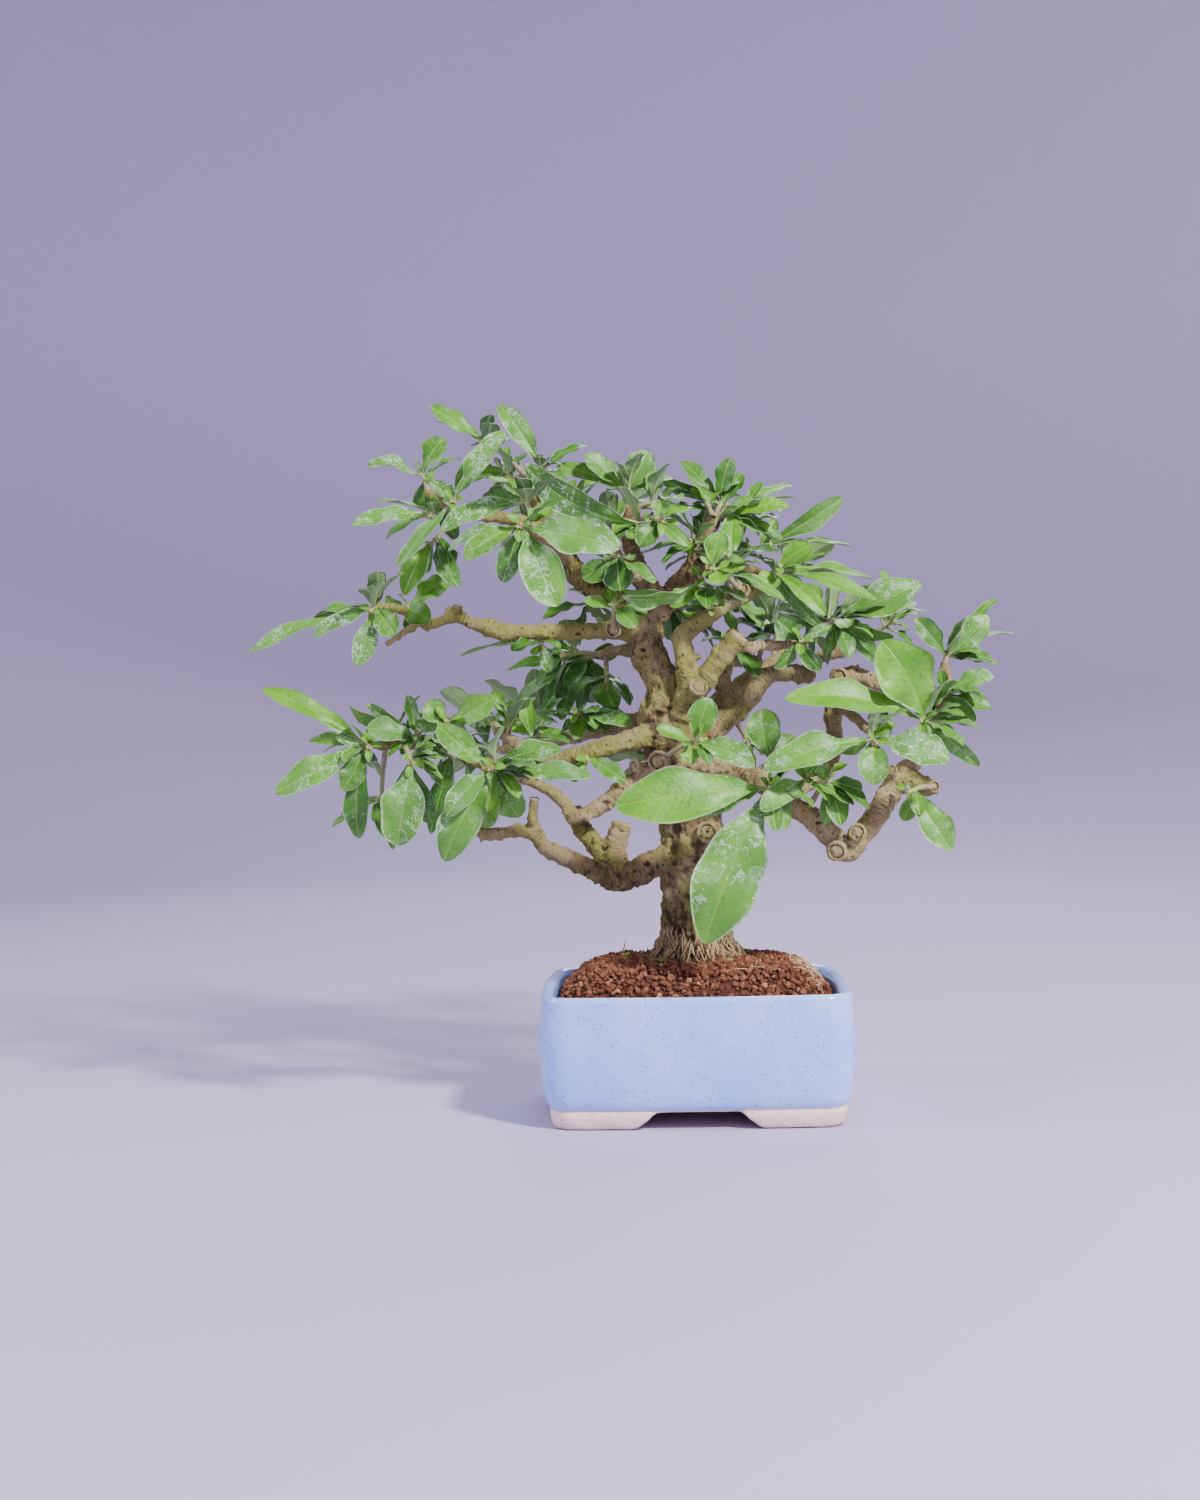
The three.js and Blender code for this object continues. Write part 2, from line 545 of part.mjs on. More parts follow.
function buildPot() {
  const middle = (POT.glazeBottom + POT.height) / 2;
  const shell = toSolid(loft([
    potRing(4.5, POT.glazeBottom),
    potRing(1.2, POT.glazeBottom + 3),
    potRing(-0.8, middle - 8),
    potRing(-0.8, middle + 8),
    potRing(0, POT.height - 2),
    potRing(1.6, POT.height),
    potRing(POT.wall - 1.2, POT.height),
    potRing(POT.wall, POT.height - 2),
    potRing(POT.wall + 3, POT.floorTop),
  ]));
  const footRim = toSolid(loft([
    potRing(FOOT.inset + 4, 0),
    potRing(FOOT.inset + 1.6, 2),
    potRing(FOOT.inset, POT.glazeBottom - 1),
    potRing(FOOT.inset + 2, POT.glazeBottom + 2),
  ]));
  const footHollow = toSolid(loft([
    potRing(FOOT.inset + FOOT.breadth, -1),
    potRing(FOOT.inset + FOOT.breadth, POT.glazeBottom - GAP),
  ]));
  const feet = footRim
    .subtract(footHollow)
    .subtract(footGap(FOOT.frontGap, true))
    .subtract(footGap(FOOT.sideGap, false));
  const drains = [-1, 1].map((side) => uprightCylinder(DRAIN.diameter, 0, POT.floorTop + 5, 16)
    .translate([(side * DRAIN.spacing) / 2, 0, 0]));
  return joined([shell, feet]).subtract(joined(drains));
}

// Drain meshes, on the pot's floor

function boxSolid(width, depth, height, x, y, z) {
  const box = new THREE.BoxGeometry(width, depth, height);
  box.translate(x, y, z);
  return toSolid(welded(box));
}

function buildDrainMesh(side) {
  const { meshSize, meshThickness, meshCells, meshCell } = DRAIN;
  const x = (side * DRAIN.spacing) / 2;
  const z = POT.floorTop + GAP + meshThickness / 2;
  const pitch = meshSize / meshCells;
  const cells = [];
  for (let column = 0; column < meshCells; column += 1) {
    for (let row = 0; row < meshCells; row += 1) {
      const cellX = x + (column + 0.5) * pitch - meshSize / 2;
      const cellY = (row + 0.5) * pitch - meshSize / 2;
      cells.push(boxSolid(meshCell, meshCell, 2 * meshThickness, cellX, cellY, z));
    }
  }
  return boxSolid(meshSize, meshSize, meshThickness, x, 0, z).subtract(joined(cells));
}

// Soil, with its relief of grains and the plain socket of the trunk's base

/** The elliptical ring of the trunk's base, grown by a margin, at a height. */
function socketRing(margin, z) {
  const rise = (z - TRUNK_SOCKET.bottom) / (SOIL.crownHeight - TRUNK_SOCKET.bottom);
  const spread = TRUNK_SOCKET.topSpread * rise;
  return Array.from({ length: SOIL.around }, (_, index) => {
    const angle = (2 * Math.PI * index) / SOIL.around;
    return new THREE.Vector3(
      TRUNK_SOCKET.x + (TRUNK_SOCKET.halfWidth + spread + margin) * Math.cos(angle),
      TRUNK_SOCKET.y + (TRUNK_SOCKET.halfDepth + spread + margin) * Math.sin(angle),
      z,
    );
  });
}

/** The pot's inner outline at a height, clear of its wall, as points at even angles. */
function soilRing(z) {
  const slope = (POT.height - 2 - z) / (POT.height - 2 - POT.floorTop);
  const wall = potRing(POT.wall + 3 * slope + 2 * GAP, z);
  return Array.from({ length: SOIL.around }, (_, index) => {
    const angle = (2 * Math.PI * index) / SOIL.around;
    return crossingAt(wall, angle);
  });
}

/** Where a ray from the middle at an angle meets a closed outline. */
function crossingAt(outline, angle) {
  const ray = new THREE.Vector2(Math.cos(angle), Math.sin(angle));
  for (let index = 0; index < outline.length; index += 1) {
    const start = outline[index];
    const end = outline[(index + 1) % outline.length];
    const startSide = ray.x * start.y - ray.y * start.x;
    const endSide = ray.x * end.y - ray.y * end.x;
    const ahead = ray.x * start.x + ray.y * start.y > 0;
    if (ahead && startSide <= 0 && endSide > 0) {
      return start.clone().lerp(end, startSide / (startSide - endSide));
    }
  }
  return outline[0].clone();
}

function buildSoil(draw) {
  const bottom = POT.floorTop + 2 * GAP + DRAIN.meshThickness;
  const outer = soilRing(SOIL.edgeHeight);
  const inner = socketRing(GAP, SOIL.crownHeight);
  const rings = [soilRing(bottom), outer];
  for (let step = 1; step < SOIL.rings; step += 1) {
    const share = step / SOIL.rings;
    const mound = SOIL.edgeHeight + (SOIL.crownHeight - SOIL.edgeHeight) * Math.sin((share * Math.PI) / 2);
    rings.push(outer.map((point, index) => {
      const grain = SOIL.grain * (2 * draw() - 1);
      const spot = point.clone().lerp(inner[index], share);
      return spot.setZ(mound + grain);
    }));
  }
  rings.push(inner, socketRing(GAP, TRUNK_SOCKET.bottom - GAP));
  return toSolid(loft(rings));
}

// Wood, from the sunk base to the ends of the branches

/** The trunk, with five root ridges that die out a little above the soil. */
function buildTrunk(margin) {
  const base = [TRUNK_SOCKET.bottom, SOIL.crownHeight - 3].map((z) => {
    const ring = socketRing(margin - GAP, z);
    return ring.filter((_, index) => index % 4 === 0);
  });
  const points = TRUNK_LINE.map(([across, up, behind]) => seenAt(across, up, behind));
  const ridges = [0.12, 0.2, 0.16, 0.08];
  const stem = ringsAlong(points, TRUNK_SIDES, (index, angle) => {
    const ridge = (ridges[index] ?? 0.03) * Math.cos(5 * angle + 0.6 * index);
    return TRUNK_LINE[index][3] * (1 + ridge) + margin;
  });
  return [toSolid(loft(base)), toSolid(loft(stem))];
}

/** All the wood, grown by a margin where it serves to cut its neighbours free. */
function buildWood(margin) {
  const branches = Object.values(BRANCHES).map((line) => {
    const isTwig = line[0][3] < TWIG_RADIUS;
    return limb(line, isTwig ? TWIG_SIDES : BRANCH_SIDES, margin);
  });
  const cuts = CUTS.map(({ from, to, radius }) => {
    return limb([[...from, radius], [...to, radius]], BRANCH_SIDES, margin);
  });
  return joined([...buildTrunk(margin), ...branches, ...cuts]);
}

// Leafy stems

/** The stretches of wood that leaves keep clear of, as { from, to, radius }. */
function woodStretches() {
  const lines = [TRUNK_LINE, ...Object.values(BRANCHES)];
  const cutLines = CUTS.map(({ from, to, radius }) => [[...from, radius], [...to, radius]]);
  return [...lines, ...cutLines].flatMap((line) => line.slice(1).map((end, index) => ({
    from: seenAt(...line[index].slice(0, 3)),
    to: seenAt(...end.slice(0, 3)),
    radius: Math.max(line[index][3], end[3]),
  })));
}

function nearestOnStretch(point, { from, to }) {
  const along = to.clone().sub(from);
  const share = point.clone().sub(from).dot(along) / along.lengthSq();
  return from.clone().addScaledVector(along, THREE.MathUtils.clamp(share, 0, 1));
}

/** The point on the middle line of the wood that is nearest to a spray's heart. */
function footOf(heart, stretches) {
  const spots = stretches.map((stretch) => nearestOnStretch(heart, stretch));
  return spots.reduce((best, spot) => (spot.distanceTo(heart) < best.distanceTo(heart) ? spot : best));
}

/** A spray's stem from the wood to its heart, arching up a little on the way. */
function stemRoute(foot, heart) {
  const middle = foot.clone().lerp(heart, 0.55);
  middle.z += 0.06 * foot.distanceTo(heart);
  return [foot, middle, heart];
}

/** Where a leaf's root sits, inside the stem: each next leaf a little further back along it. */
function rootOn(route, order) {
  const [, middle, heart] = route;
  const back = Math.min(1.5 + 0.8 * order, 0.8 * heart.distanceTo(middle));
  return heart.clone().addScaledVector(middle.clone().sub(heart).normalize(), back);
}

// A blade's stations from root to tip, as [share of its length, share of its full width]
const BLADE_STATIONS = {
  small: [[0.45, 0.86], [0.8, 0.88]],
  medium: [[0.3, 0.52], [0.62, 1], [0.87, 0.7]],
  large: [[0.2, 0.3], [0.45, 0.84], [0.7, 1], [0.9, 0.64]],
};

function stationsFor(length) {
  if (length < SHORT_BLADE) return BLADE_STATIONS.small;
  return length < LONG_BLADE ? BLADE_STATIONS.medium : BLADE_STATIONS.large;
}

/**
 * The middle surface of a blade: root, then left, rib and right at each station, then tip.
 *
 * It bends away from its upper side towards the tip, and its two halves fold up a little along the rib.
 */
function bladeSheet({ root, tip, width, facing, bend, fold }) {
  const along = tip.clone().sub(root);
  const length = along.length();
  along.normalize();
  const normal = facing.clone().addScaledVector(along, -facing.dot(along)).normalize();
  const left = new THREE.Vector3().crossVectors(normal, along);
  const points = [root];
  for (const [share, breadth] of stationsFor(length)) {
    const half = (width / 2) * breadth;
    const rise = bend * length * 4 * share * (1 - share);
    const rib = root.clone().addScaledVector(along, share * length).addScaledVector(normal, rise);
    const leftEdge = rib.clone().addScaledVector(normal, fold * half).addScaledVector(left, half);
    const rightEdge = leftEdge.clone().addScaledVector(left, -2 * half);
    points.push(leftEdge, rib, rightEdge);
  }
  points.push(tip);
  return { points, normal };
}

/** The triangles of a sheet of so many points, its upper side first. */
function sheetFaces(count) {
  const last = count - 1;
  const faces = [[0, 2, 1], [0, 3, 2]];
  for (let left = 1; left + 5 < last; left += 3) {
    const [rib, right] = [left + 1, left + 2];
    faces.push([left, rib, rib + 3], [left, rib + 3, left + 3]);
    faces.push([rib, right, right + 3], [rib, right + 3, rib + 3]);
  }
  faces.push([last - 3, last - 2, last], [last - 2, last - 1, last]);
  return faces;
}

/** The sheet's points in order round its margin. */
function marginOf(count) {
  const stations = (count - 2) / 3;
  const rights = Array.from({ length: stations }, (_, index) => 3 + 3 * index);
  const lefts = Array.from({ length: stations }, (_, index) => 1 + 3 * index).reverse();
  return [0, ...rights, count - 1, ...lefts];
}

function bladeSolid(sheet) {
  const { points, normal } = sheet;
  const faces = sheetFaces(points.length);
  const isRib = (index) => index % 3 === 2 && index < points.length - 1;
  const half = BLADE_THICKNESS / 2;
  const upper = points.map((point, index) => {
    return isRib(index) ? point.clone().addScaledVector(normal, half) : point;
  });
  const lowerRibs = points.filter((_, index) => isRib(index))
    .map((point) => point.clone().addScaledVector(normal, -half));
  const lower = (index) => (isRib(index) ? points.length + (index - 2) / 3 : index);
  const underside = faces.map(([one, two, three]) => [lower(one), lower(three), lower(two)]);
  return toSolid(closedGeometry([...upper, ...lowerRibs], [...faces, ...underside].flat()));
}

// Keeping blades clear of each other and of the wood

/** Whether the stretch from start to end passes through the triangle a, b, c. */
function pierces(start, end, a, b, c) {
  const ray = new THREE.Vector3().subVectors(end, start);
  const sideB = new THREE.Vector3().subVectors(b, a);
  const sideC = new THREE.Vector3().subVectors(c, a);
  const across = new THREE.Vector3().crossVectors(ray, sideC);
  const scale = sideB.dot(across);
  if (Math.abs(scale) < 1e-9) return false;
  const from = new THREE.Vector3().subVectors(start, a);
  const shareB = from.dot(across) / scale;
  if (shareB < 0 || shareB > 1) return false;
  const turned = from.cross(sideB);
  const shareC = ray.dot(turned) / scale;
  if (shareC < 0 || shareB + shareC > 1) return false;
  const share = sideC.dot(turned) / scale;
  return share >= 0 && share <= 1;
}

/** The closed slab that reaches a clearance to both sides of a sheet, as triangles of points. */
function slabOf({ points, normal }, reach, skipRoot) {
  const raised = points.map((point) => point.clone().addScaledVector(normal, reach));
  const lowered = points.map((point) => point.clone().addScaledVector(normal, -reach));
  const triangles = [];
  for (const face of sheetFaces(points.length)) {
    if (skipRoot && face.includes(0)) continue;
    triangles.push(face.map((index) => raised[index]), face.map((index) => lowered[index]));
  }
  const margin = marginOf(points.length);
  margin.forEach((here, index) => {
    const next = margin[(index + 1) % margin.length];
    if (skipRoot && (here === 0 || next === 0)) return;
    triangles.push([raised[here], raised[next], lowered[next]], [raised[here], lowered[next], lowered[here]]);
  });
  return triangles;
}

function edgesOf({ points }, skipRoot) {
  const edges = [];
  for (const [one, two, three] of sheetFaces(points.length)) {
    for (const [start, end] of [[one, two], [two, three], [three, one]]) {
      if (start < end && !(skipRoot && start === 0)) edges.push([points[start], points[end]]);
    }
  }
  const margin = marginOf(points.length);
  margin.forEach((here, index) => {
    const next = margin[(index + 1) % margin.length];
    if (!(skipRoot && (here === 0 || next === 0))) edges.push([points[here], points[next]]);
  });
  return edges;
}

function edgesPierce(edges, triangles) {
  return edges.some(([start, end]) => triangles.some(([a, b, c]) => pierces(start, end, a, b, c)));
}

function sheetsMeet(one, other, sisters) {
  const distance = one.middle.distanceTo(other.middle);
  if (distance > one.extent + other.extent + BLADE_CLEARANCE) return false;
  const reach = sisters ? SISTER_CLEARANCE : BLADE_CLEARANCE;
  return edgesPierce(edgesOf(one.sheet, sisters), slabOf(other.sheet, reach, sisters))
    || edgesPierce(edgesOf(other.sheet, sisters), slabOf(one.sheet, reach, sisters));
}

/** Whether a blade comes too close to any stretch of wood, away from its own root. */
function meetsWood({ sheet, middle, extent }, stretches) {
  const root = sheet.points[0];
  const corners = edgesOf(sheet, false).flatMap(([start, end]) => [start, start.clone().lerp(end, 0.5)]);
  const spots = [...corners, sheet.points.at(-1)].filter((spot) => spot.distanceTo(root) > ROOT_ZONE);
  return stretches.some((stretch) => {
    const reach = stretch.radius + WOOD_CLEARANCE;
    if (nearestOnStretch(middle, stretch).distanceTo(middle) > extent + reach) return false;
    return spots.some((spot) => nearestOnStretch(spot, stretch).distanceTo(spot) < reach);
  });
}

function bladeAt(leaf, tip) {
  const sheet = bladeSheet({ ...leaf, tip });
  const middle = leaf.root.clone().lerp(tip, 0.5);
  return { sheet, middle, extent: Math.max(...sheet.points.map((point) => point.distanceTo(middle))) };
}

// How far a tip is moved along the line of sight, nearest first, until its blade is clear
const TIP_MOVES = [0, 4, -4, 8, -8, 12, -12, 16, -16];

/** The first clear way to lay a leaf, or null where none is. */
function clearBlade(leaf, spray, placed, stretches, stems) {
  const others = stems.filter((stem) => stem.spray !== spray);
  for (const move of TIP_MOVES) {
    const blade = bladeAt(leaf, leaf.tipAt(move));
    const blocked = meetsWood(blade, stretches) || meetsWood(blade, others)
      || placed.some((other) => sheetsMeet(blade, other, other.spray === spray));
    if (!blocked) return { ...blade, spray };
  }
  return null;
}

// Sprays

/** The front facing of a leaf's upper side: 0 degrees is up, 90 the front. */
function facingFront(degrees) {
  const angle = THREE.MathUtils.degToRad(degrees);
  return new THREE.Vector3(0, -Math.sin(angle), Math.cos(angle));
}

function bladeHabit(draw) {
  const bend = 0.03 + 0.07 * draw();
  const fold = 0.12 + 0.16 * draw();
  return { bend, fold };
}

/** The sprays that show from the front, leaf by leaf. */
function frontSprays(stretches, draw) {
  return Object.entries(SPRAYS).map(([key, { heart, foot, leaves }]) => {
    const heartPoint = seenAt(...heart);
    const route = stemRoute(foot ? seenAt(...foot) : footOf(heartPoint, stretches), heartPoint);
    return {
      name: `spray_${key.replace(/[A-Z]/g, (letter) => `_${letter.toLowerCase()}`)}`,
      route,
      leaves: leaves.map(([across, up, behind, width, degrees], order) => ({
        root: rootOn(route, order),
        tipAt: (move) => seenAt(heart[0] + across, heart[1] + up, heart[2] + behind + move),
        width,
        facing: facingFront(degrees),
        ...bladeHabit(draw),
      })),
    };
  });
}

/** The point at a share of a branch's length, and the branch's direction there. */
function alongBranch(line, share) {
  const path = new THREE.CurvePath();
  line.slice(1).forEach((end, index) => {
    path.add(new THREE.LineCurve3(seenAt(...line[index].slice(0, 3)), seenAt(...end.slice(0, 3))));
  });
  const place = Math.min(share, 0.999);
  return { point: path.getPointAt(place), direction: path.getTangentAt(place) };
}

const GOLDEN_ANGLE = Math.PI * (3 - Math.sqrt(5));

/** The sprays of the hidden side: leaves spiral round a stem that leans out and up from its branch. */
function rearSprays(draw) {
  return REAR_SPRAYS.map(([branch, share, count], number) => {
    const { point, direction } = alongBranch(BRANCHES[branch], share);
    const lift = share < 1 ? 1.6 : 0.3;
    const outward = direction.clone().add(new THREE.Vector3(0.5 * (draw() - 0.5), 0.25, lift)).normalize();
    const heart = point.clone().addScaledVector(outward, 12 + 6 * draw());
    const route = stemRoute(point, heart);
    const sideways = new THREE.Vector3(0, 0, 1).cross(outward).normalize();
    const upward = outward.clone().cross(sideways);
    const leaves = Array.from({ length: count }, (_, order) => {
      const turn = order * GOLDEN_ANGLE + 0.5 * draw();
      const tilt = THREE.MathUtils.degToRad(45 + 40 * draw());
      const length = 19 + 17 * draw();
      const away = outward.clone().multiplyScalar(Math.cos(tilt))
        .addScaledVector(sideways, Math.sin(tilt) * Math.cos(turn))
        .addScaledVector(upward, Math.sin(tilt) * Math.sin(turn));
      return {
        root: rootOn(route, order),
        tipAt: (move) => heart.clone().addScaledVector(away, length).add(new THREE.Vector3(0, 0, 0.7 * move)),
        width: length * (0.34 + 0.1 * draw()),
        facing: new THREE.Vector3(0.2 * (draw() - 0.5), 0.35, 1).addScaledVector(outward, 0.5).normalize(),
        ...bladeHabit(draw),
      };
    });
    return { name: `spray_rear_${number + 1}`, route, leaves };
  });
}

function stemStretches({ name, route }) {
  return route.slice(1).map((end, index) => {
    return { from: route[index], to: end, radius: STEM_RADIUS.foot, spray: name };
  });
}

/** Every spray's stem joined with the blades that lie clear, cut free of the wood. */
function buildSprays(wood, draw) {
  const stretches = woodStretches();
  const sprays = [...frontSprays(stretches, draw), ...rearSprays(draw)];
  const stems = sprays.flatMap(stemStretches);
  const placed = [];
  return sprays.map(({ name, route, leaves }) => {
    const radii = [STEM_RADIUS.foot, (STEM_RADIUS.foot + STEM_RADIUS.heart) / 2, STEM_RADIUS.heart];
    const stem = toSolid(loft(ringsAlong(route, STEM_SIDES, (index) => radii[index])));
    const blades = leaves.map((leaf) => {
      const blade = clearBlade(leaf, name, placed, stretches, stems);
      if (blade) placed.push(blade);
      return blade;
    });
    const solids = blades.filter(Boolean).map(({ sheet }) => bladeSolid(sheet));
    return { name, solid: joined([stem, ...solids]).subtract(wood) };
  });
}

// Assembly

const MATERIALS = {
  glaze: new THREE.MeshStandardMaterial({ color: 0xa4b9ee, roughness: 0.25, metalness: 0 }),
  net: new THREE.MeshStandardMaterial({ color: 0x2b3a2c, roughness: 0.6, metalness: 0 }),
  soil: new THREE.MeshStandardMaterial({ color: 0x7d4a34, roughness: 0.95, metalness: 0 }),
  bark: new THREE.MeshStandardMaterial({ color: 0x9a8c6a, roughness: 0.85, metalness: 0 }),
  leaf: new THREE.MeshStandardMaterial({ color: 0x5c8f3c, roughness: 0.45, metalness: 0 }),
};

function buildBonsai() {
  const bonsai = new THREE.Group();
  bonsai.add(namedMesh("pot", buildPot(), MATERIALS.glaze));
  bonsai.add(namedMesh("drain_mesh_left", buildDrainMesh(-1), MATERIALS.net));
  bonsai.add(namedMesh("drain_mesh_right", buildDrainMesh(1), MATERIALS.net));
  bonsai.add(namedMesh("soil", buildSoil(seededDraws(SEED)), MATERIALS.soil));
  bonsai.add(namedMesh("trunk", buildWood(0), MATERIALS.bark));
  const clearedWood = buildWood(GAP / Math.cos(Math.PI / BRANCH_SIDES));
  for (const { name, solid } of buildSprays(clearedWood, seededDraws(SEED + 1))) {
    bonsai.add(namedMesh(name, solid, MATERIALS.leaf));
  }
  const box = new THREE.Box3().setFromObject(bonsai);
  const middle = box.getCenter(new THREE.Vector3());
  bonsai.position.set(-middle.x, -middle.y, -box.min.z);
  return bonsai;
}

export default buildBonsai();
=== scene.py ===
"""The looks of a japanese privet bonsai in its glazed pot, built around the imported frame."""

import logging
from dataclasses import dataclass, field
from enum import Enum
from math import cos, hypot, pi, radians, sin, sqrt

import bmesh
import bpy
import numpy as np
from mathutils.bvhtree import BVHTree
from mathutils import Matrix, Vector, noise


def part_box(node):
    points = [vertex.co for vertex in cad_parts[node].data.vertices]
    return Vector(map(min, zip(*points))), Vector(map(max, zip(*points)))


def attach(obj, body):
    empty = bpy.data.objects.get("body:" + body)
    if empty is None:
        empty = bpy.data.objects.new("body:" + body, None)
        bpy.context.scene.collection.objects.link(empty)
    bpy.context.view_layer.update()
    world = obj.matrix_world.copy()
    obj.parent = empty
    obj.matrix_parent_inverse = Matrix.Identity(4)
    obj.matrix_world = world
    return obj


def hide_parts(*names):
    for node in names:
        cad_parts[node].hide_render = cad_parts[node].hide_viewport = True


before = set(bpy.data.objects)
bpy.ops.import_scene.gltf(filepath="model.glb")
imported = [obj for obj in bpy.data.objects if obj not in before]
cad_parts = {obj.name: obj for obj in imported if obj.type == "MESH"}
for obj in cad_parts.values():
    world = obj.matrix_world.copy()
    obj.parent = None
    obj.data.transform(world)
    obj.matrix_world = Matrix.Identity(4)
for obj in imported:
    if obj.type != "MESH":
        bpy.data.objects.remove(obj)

Array = np.ndarray
Faces = list[tuple[int, ...]]
Material = bpy.types.Material
Mesh = bpy.types.Mesh
Node = bpy.types.Node
Piece = bpy.types.Object
Socket = bpy.types.NodeSocket
Tone = tuple[float, float, float]
Tree = bpy.types.NodeTree
Value = Socket | float | tuple[float, ...] | None

LOG = logging.getLogger("bonsai")
MM = 0.001
SEED = 20250


class Slot(Enum):
    """The record's material slots."""

    GLAZE = "glaze"
    NET = "net"
    SOIL = "akadama"
    BARK = "bark"
    LEAF = "leaf"


@dataclass
class Draws:
    """Numbers from 0 to 1, always the same ones for the same seed."""

    state: int

    def __call__(self) -> float:
        """The next number."""
        self.state = (self.state * 16807) % 2147483647
        return self.state / 2147483647

    def between(self, low: float, high: float) -> float:
        """A number between low and high."""
        return low + (high - low) * self()


@dataclass(frozen=True)
class FrontView:
    """The upright sheet through the pot's middle that the tree is measured on, in millimetres.

    Places are [across, up, behind]: across and up as they show on the sheet from the front, and behind,
    the distance from the sheet to the point itself.
    """

    eye_x: float = -14.0
    eye_distance: float = 754.0
    eye_height: float = 157.0
    middle_x: float = -39.5
    lean: float = radians(1.1)
    pan: float = radians(1.94)
    frame_width: float = 1200.0
    focal: float = 1712.0

    def point(self, across: float, up: float, behind: float) -> Array:
        """The point that shows at a place on the sheet.

        Args:
            across: how far right of the sheet's middle it shows.
            up: how far above the sheet's middle it shows.
            behind: how far behind the sheet it lies.

        Returns:
            The point in millimetres, from the ground under the pot's middle.
        """
        level = across * cos(self.lean) + up * sin(self.lean)
        rise = up * cos(self.lean) - across * sin(self.lean)
        reach = (self.eye_distance + behind) / self.eye_distance
        x = self.eye_x + (self.middle_x + level - self.eye_x) * reach
        return np.array([x, behind, self.eye_height + rise * reach])

    def places(self, points: Array) -> Array:
        """Where points show on the sheet, as rows of across, up and behind.

        Args:
            points: rows of x, y and z in millimetres.

        Returns:
            The places, a row for each point.
        """
        reach = (self.eye_distance + points[:, 1]) / self.eye_distance
        level = (points[:, 0] - self.eye_x) / reach + self.eye_x - self.middle_x
        rise = (points[:, 2] - self.eye_height) / reach
        across = level * cos(self.lean) - rise * sin(self.lean)
        up = level * sin(self.lean) + rise * cos(self.lean)
        return np.stack([across, up, points[:, 1]], axis=1)


VIEW = FrontView()


def row_shift() -> Array:
    """The pot's middle on the ground in the row frame, in millimetres."""
    low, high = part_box("pot")
    return np.array([(low.x + high.x) / 2, (low.y + high.y) / 2, 0.0]) / MM


SHIFT = row_shift()


# Mesh helpers


def unit(vector: Array) -> Array:
    """A vector's direction."""
    return vector / max(float(np.linalg.norm(vector)), 1e-9)


@dataclass
class Shape:
    """A mesh in the making: points in millimetres, faces, and values for each point or face."""

    points: list[Array] = field(default_factory=list)
    faces: Faces = field(default_factory=list)
    materials: list[int] = field(default_factory=list)
    values: dict[str, list[Array]] = field(default_factory=dict)
    count: int = 0

    def add(self, points: Array, faces: Faces, material: int = 0, **values: Array) -> None:
        """Adds a patch of points and faces.

        Args:
            points: rows of x, y, z in millimetres.
            faces: rows of indexes into those points.
            material: the material index of all its faces.
            **values: a row of three numbers for each point, by the attribute's name.
        """
        start = self.count
        self.points.append(points)
        self.faces.extend(tuple(start + index for index in face) for face in faces)
        self.materials.extend([material] * len(faces))
        for name, rows in values.items():
            self.values.setdefault(name, []).append(rows)
        self.count += len(points)

    def tube(self, line: Array, radii: Array, sides: int) -> None:
        """Adds a closed round rod along a line."""
        self.add(*lofted(tube_rings(line, radii, sides)))

    def build(self, name: str, materials: list[Material], smooth: bool = True) -> Piece:
        """Makes the Blender object, in metres in the row frame.

        Args:
            name: the object's name.
            materials: its materials in the order of the patches' indexes.
            smooth: whether its faces are shaded smooth.

        Returns:
            The object, in the scene.
        """
        points = (np.concatenate(self.points) + SHIFT) * MM
        mesh = bpy.data.meshes.new(name)
        mesh.from_pydata(points.tolist(), [], self.faces)
        for attribute, rows in self.values.items():
            set_values(mesh, attribute, np.concatenate(rows))
        for material in materials:
            mesh.materials.append(material)
        mesh.polygons.foreach_set("material_index", self.materials)
        shade(mesh, smooth)
        mesh.update()
        piece = bpy.data.objects.new(name, mesh)
        bpy.context.scene.collection.objects.link(piece)
        return piece


def way_round(outward: Array, hint: tuple[float, float, float], angle: float) -> Array:
    """A direction square to outward, at an angle round it from where outward and the hint set out."""
    sideways = unit(np.cross(outward, hint))
    return sideways * cos(angle) + np.cross(outward, sideways) * sin(angle)


def lengths_along(points: Array) -> Array:
    """How far along a line each of its points lies."""
    return np.concatenate([[0], np.cumsum(np.linalg.norm(np.diff(points, axis=0), axis=1))])


def grid_faces(rows: int, columns: int, closed: bool) -> Faces:
    """The quads of a grid of points, row after row.

    Args:
        rows: the number of rows.
        columns: the number of points in a row.
        closed: whether each row is a ring.

    Returns:
        The faces, as indexes.
    """
    faces = []
    for row in range(rows - 1):
        for column in range(columns if closed else columns - 1):
            here = row * columns + column
            beside = row * columns + (column + 1) % columns
            faces.append((here, beside, beside + columns, here + columns))
    return faces


def lofted(rings: Array) -> tuple[Array, Faces]:
    """A closed skin through rings, with a flat fan on the first and last.

    Args:
        rings: rings of points, as [ring, point, xyz].

    Returns:
        The points and the faces.
    """
    count, sides = rings.shape[:2]
    faces = grid_faces(count, sides, True)
    ends = [rings[0].mean(axis=0), rings[-1].mean(axis=0)]
    points = np.concatenate([rings.reshape(-1, 3), ends])
    first, last = count * sides, count * sides + 1
    top = (count - 1) * sides
    for side in range(sides):
        beside = (side + 1) % sides
        faces.append((first, beside, side))
        faces.append((last, top + side, top + beside))
    return points, faces


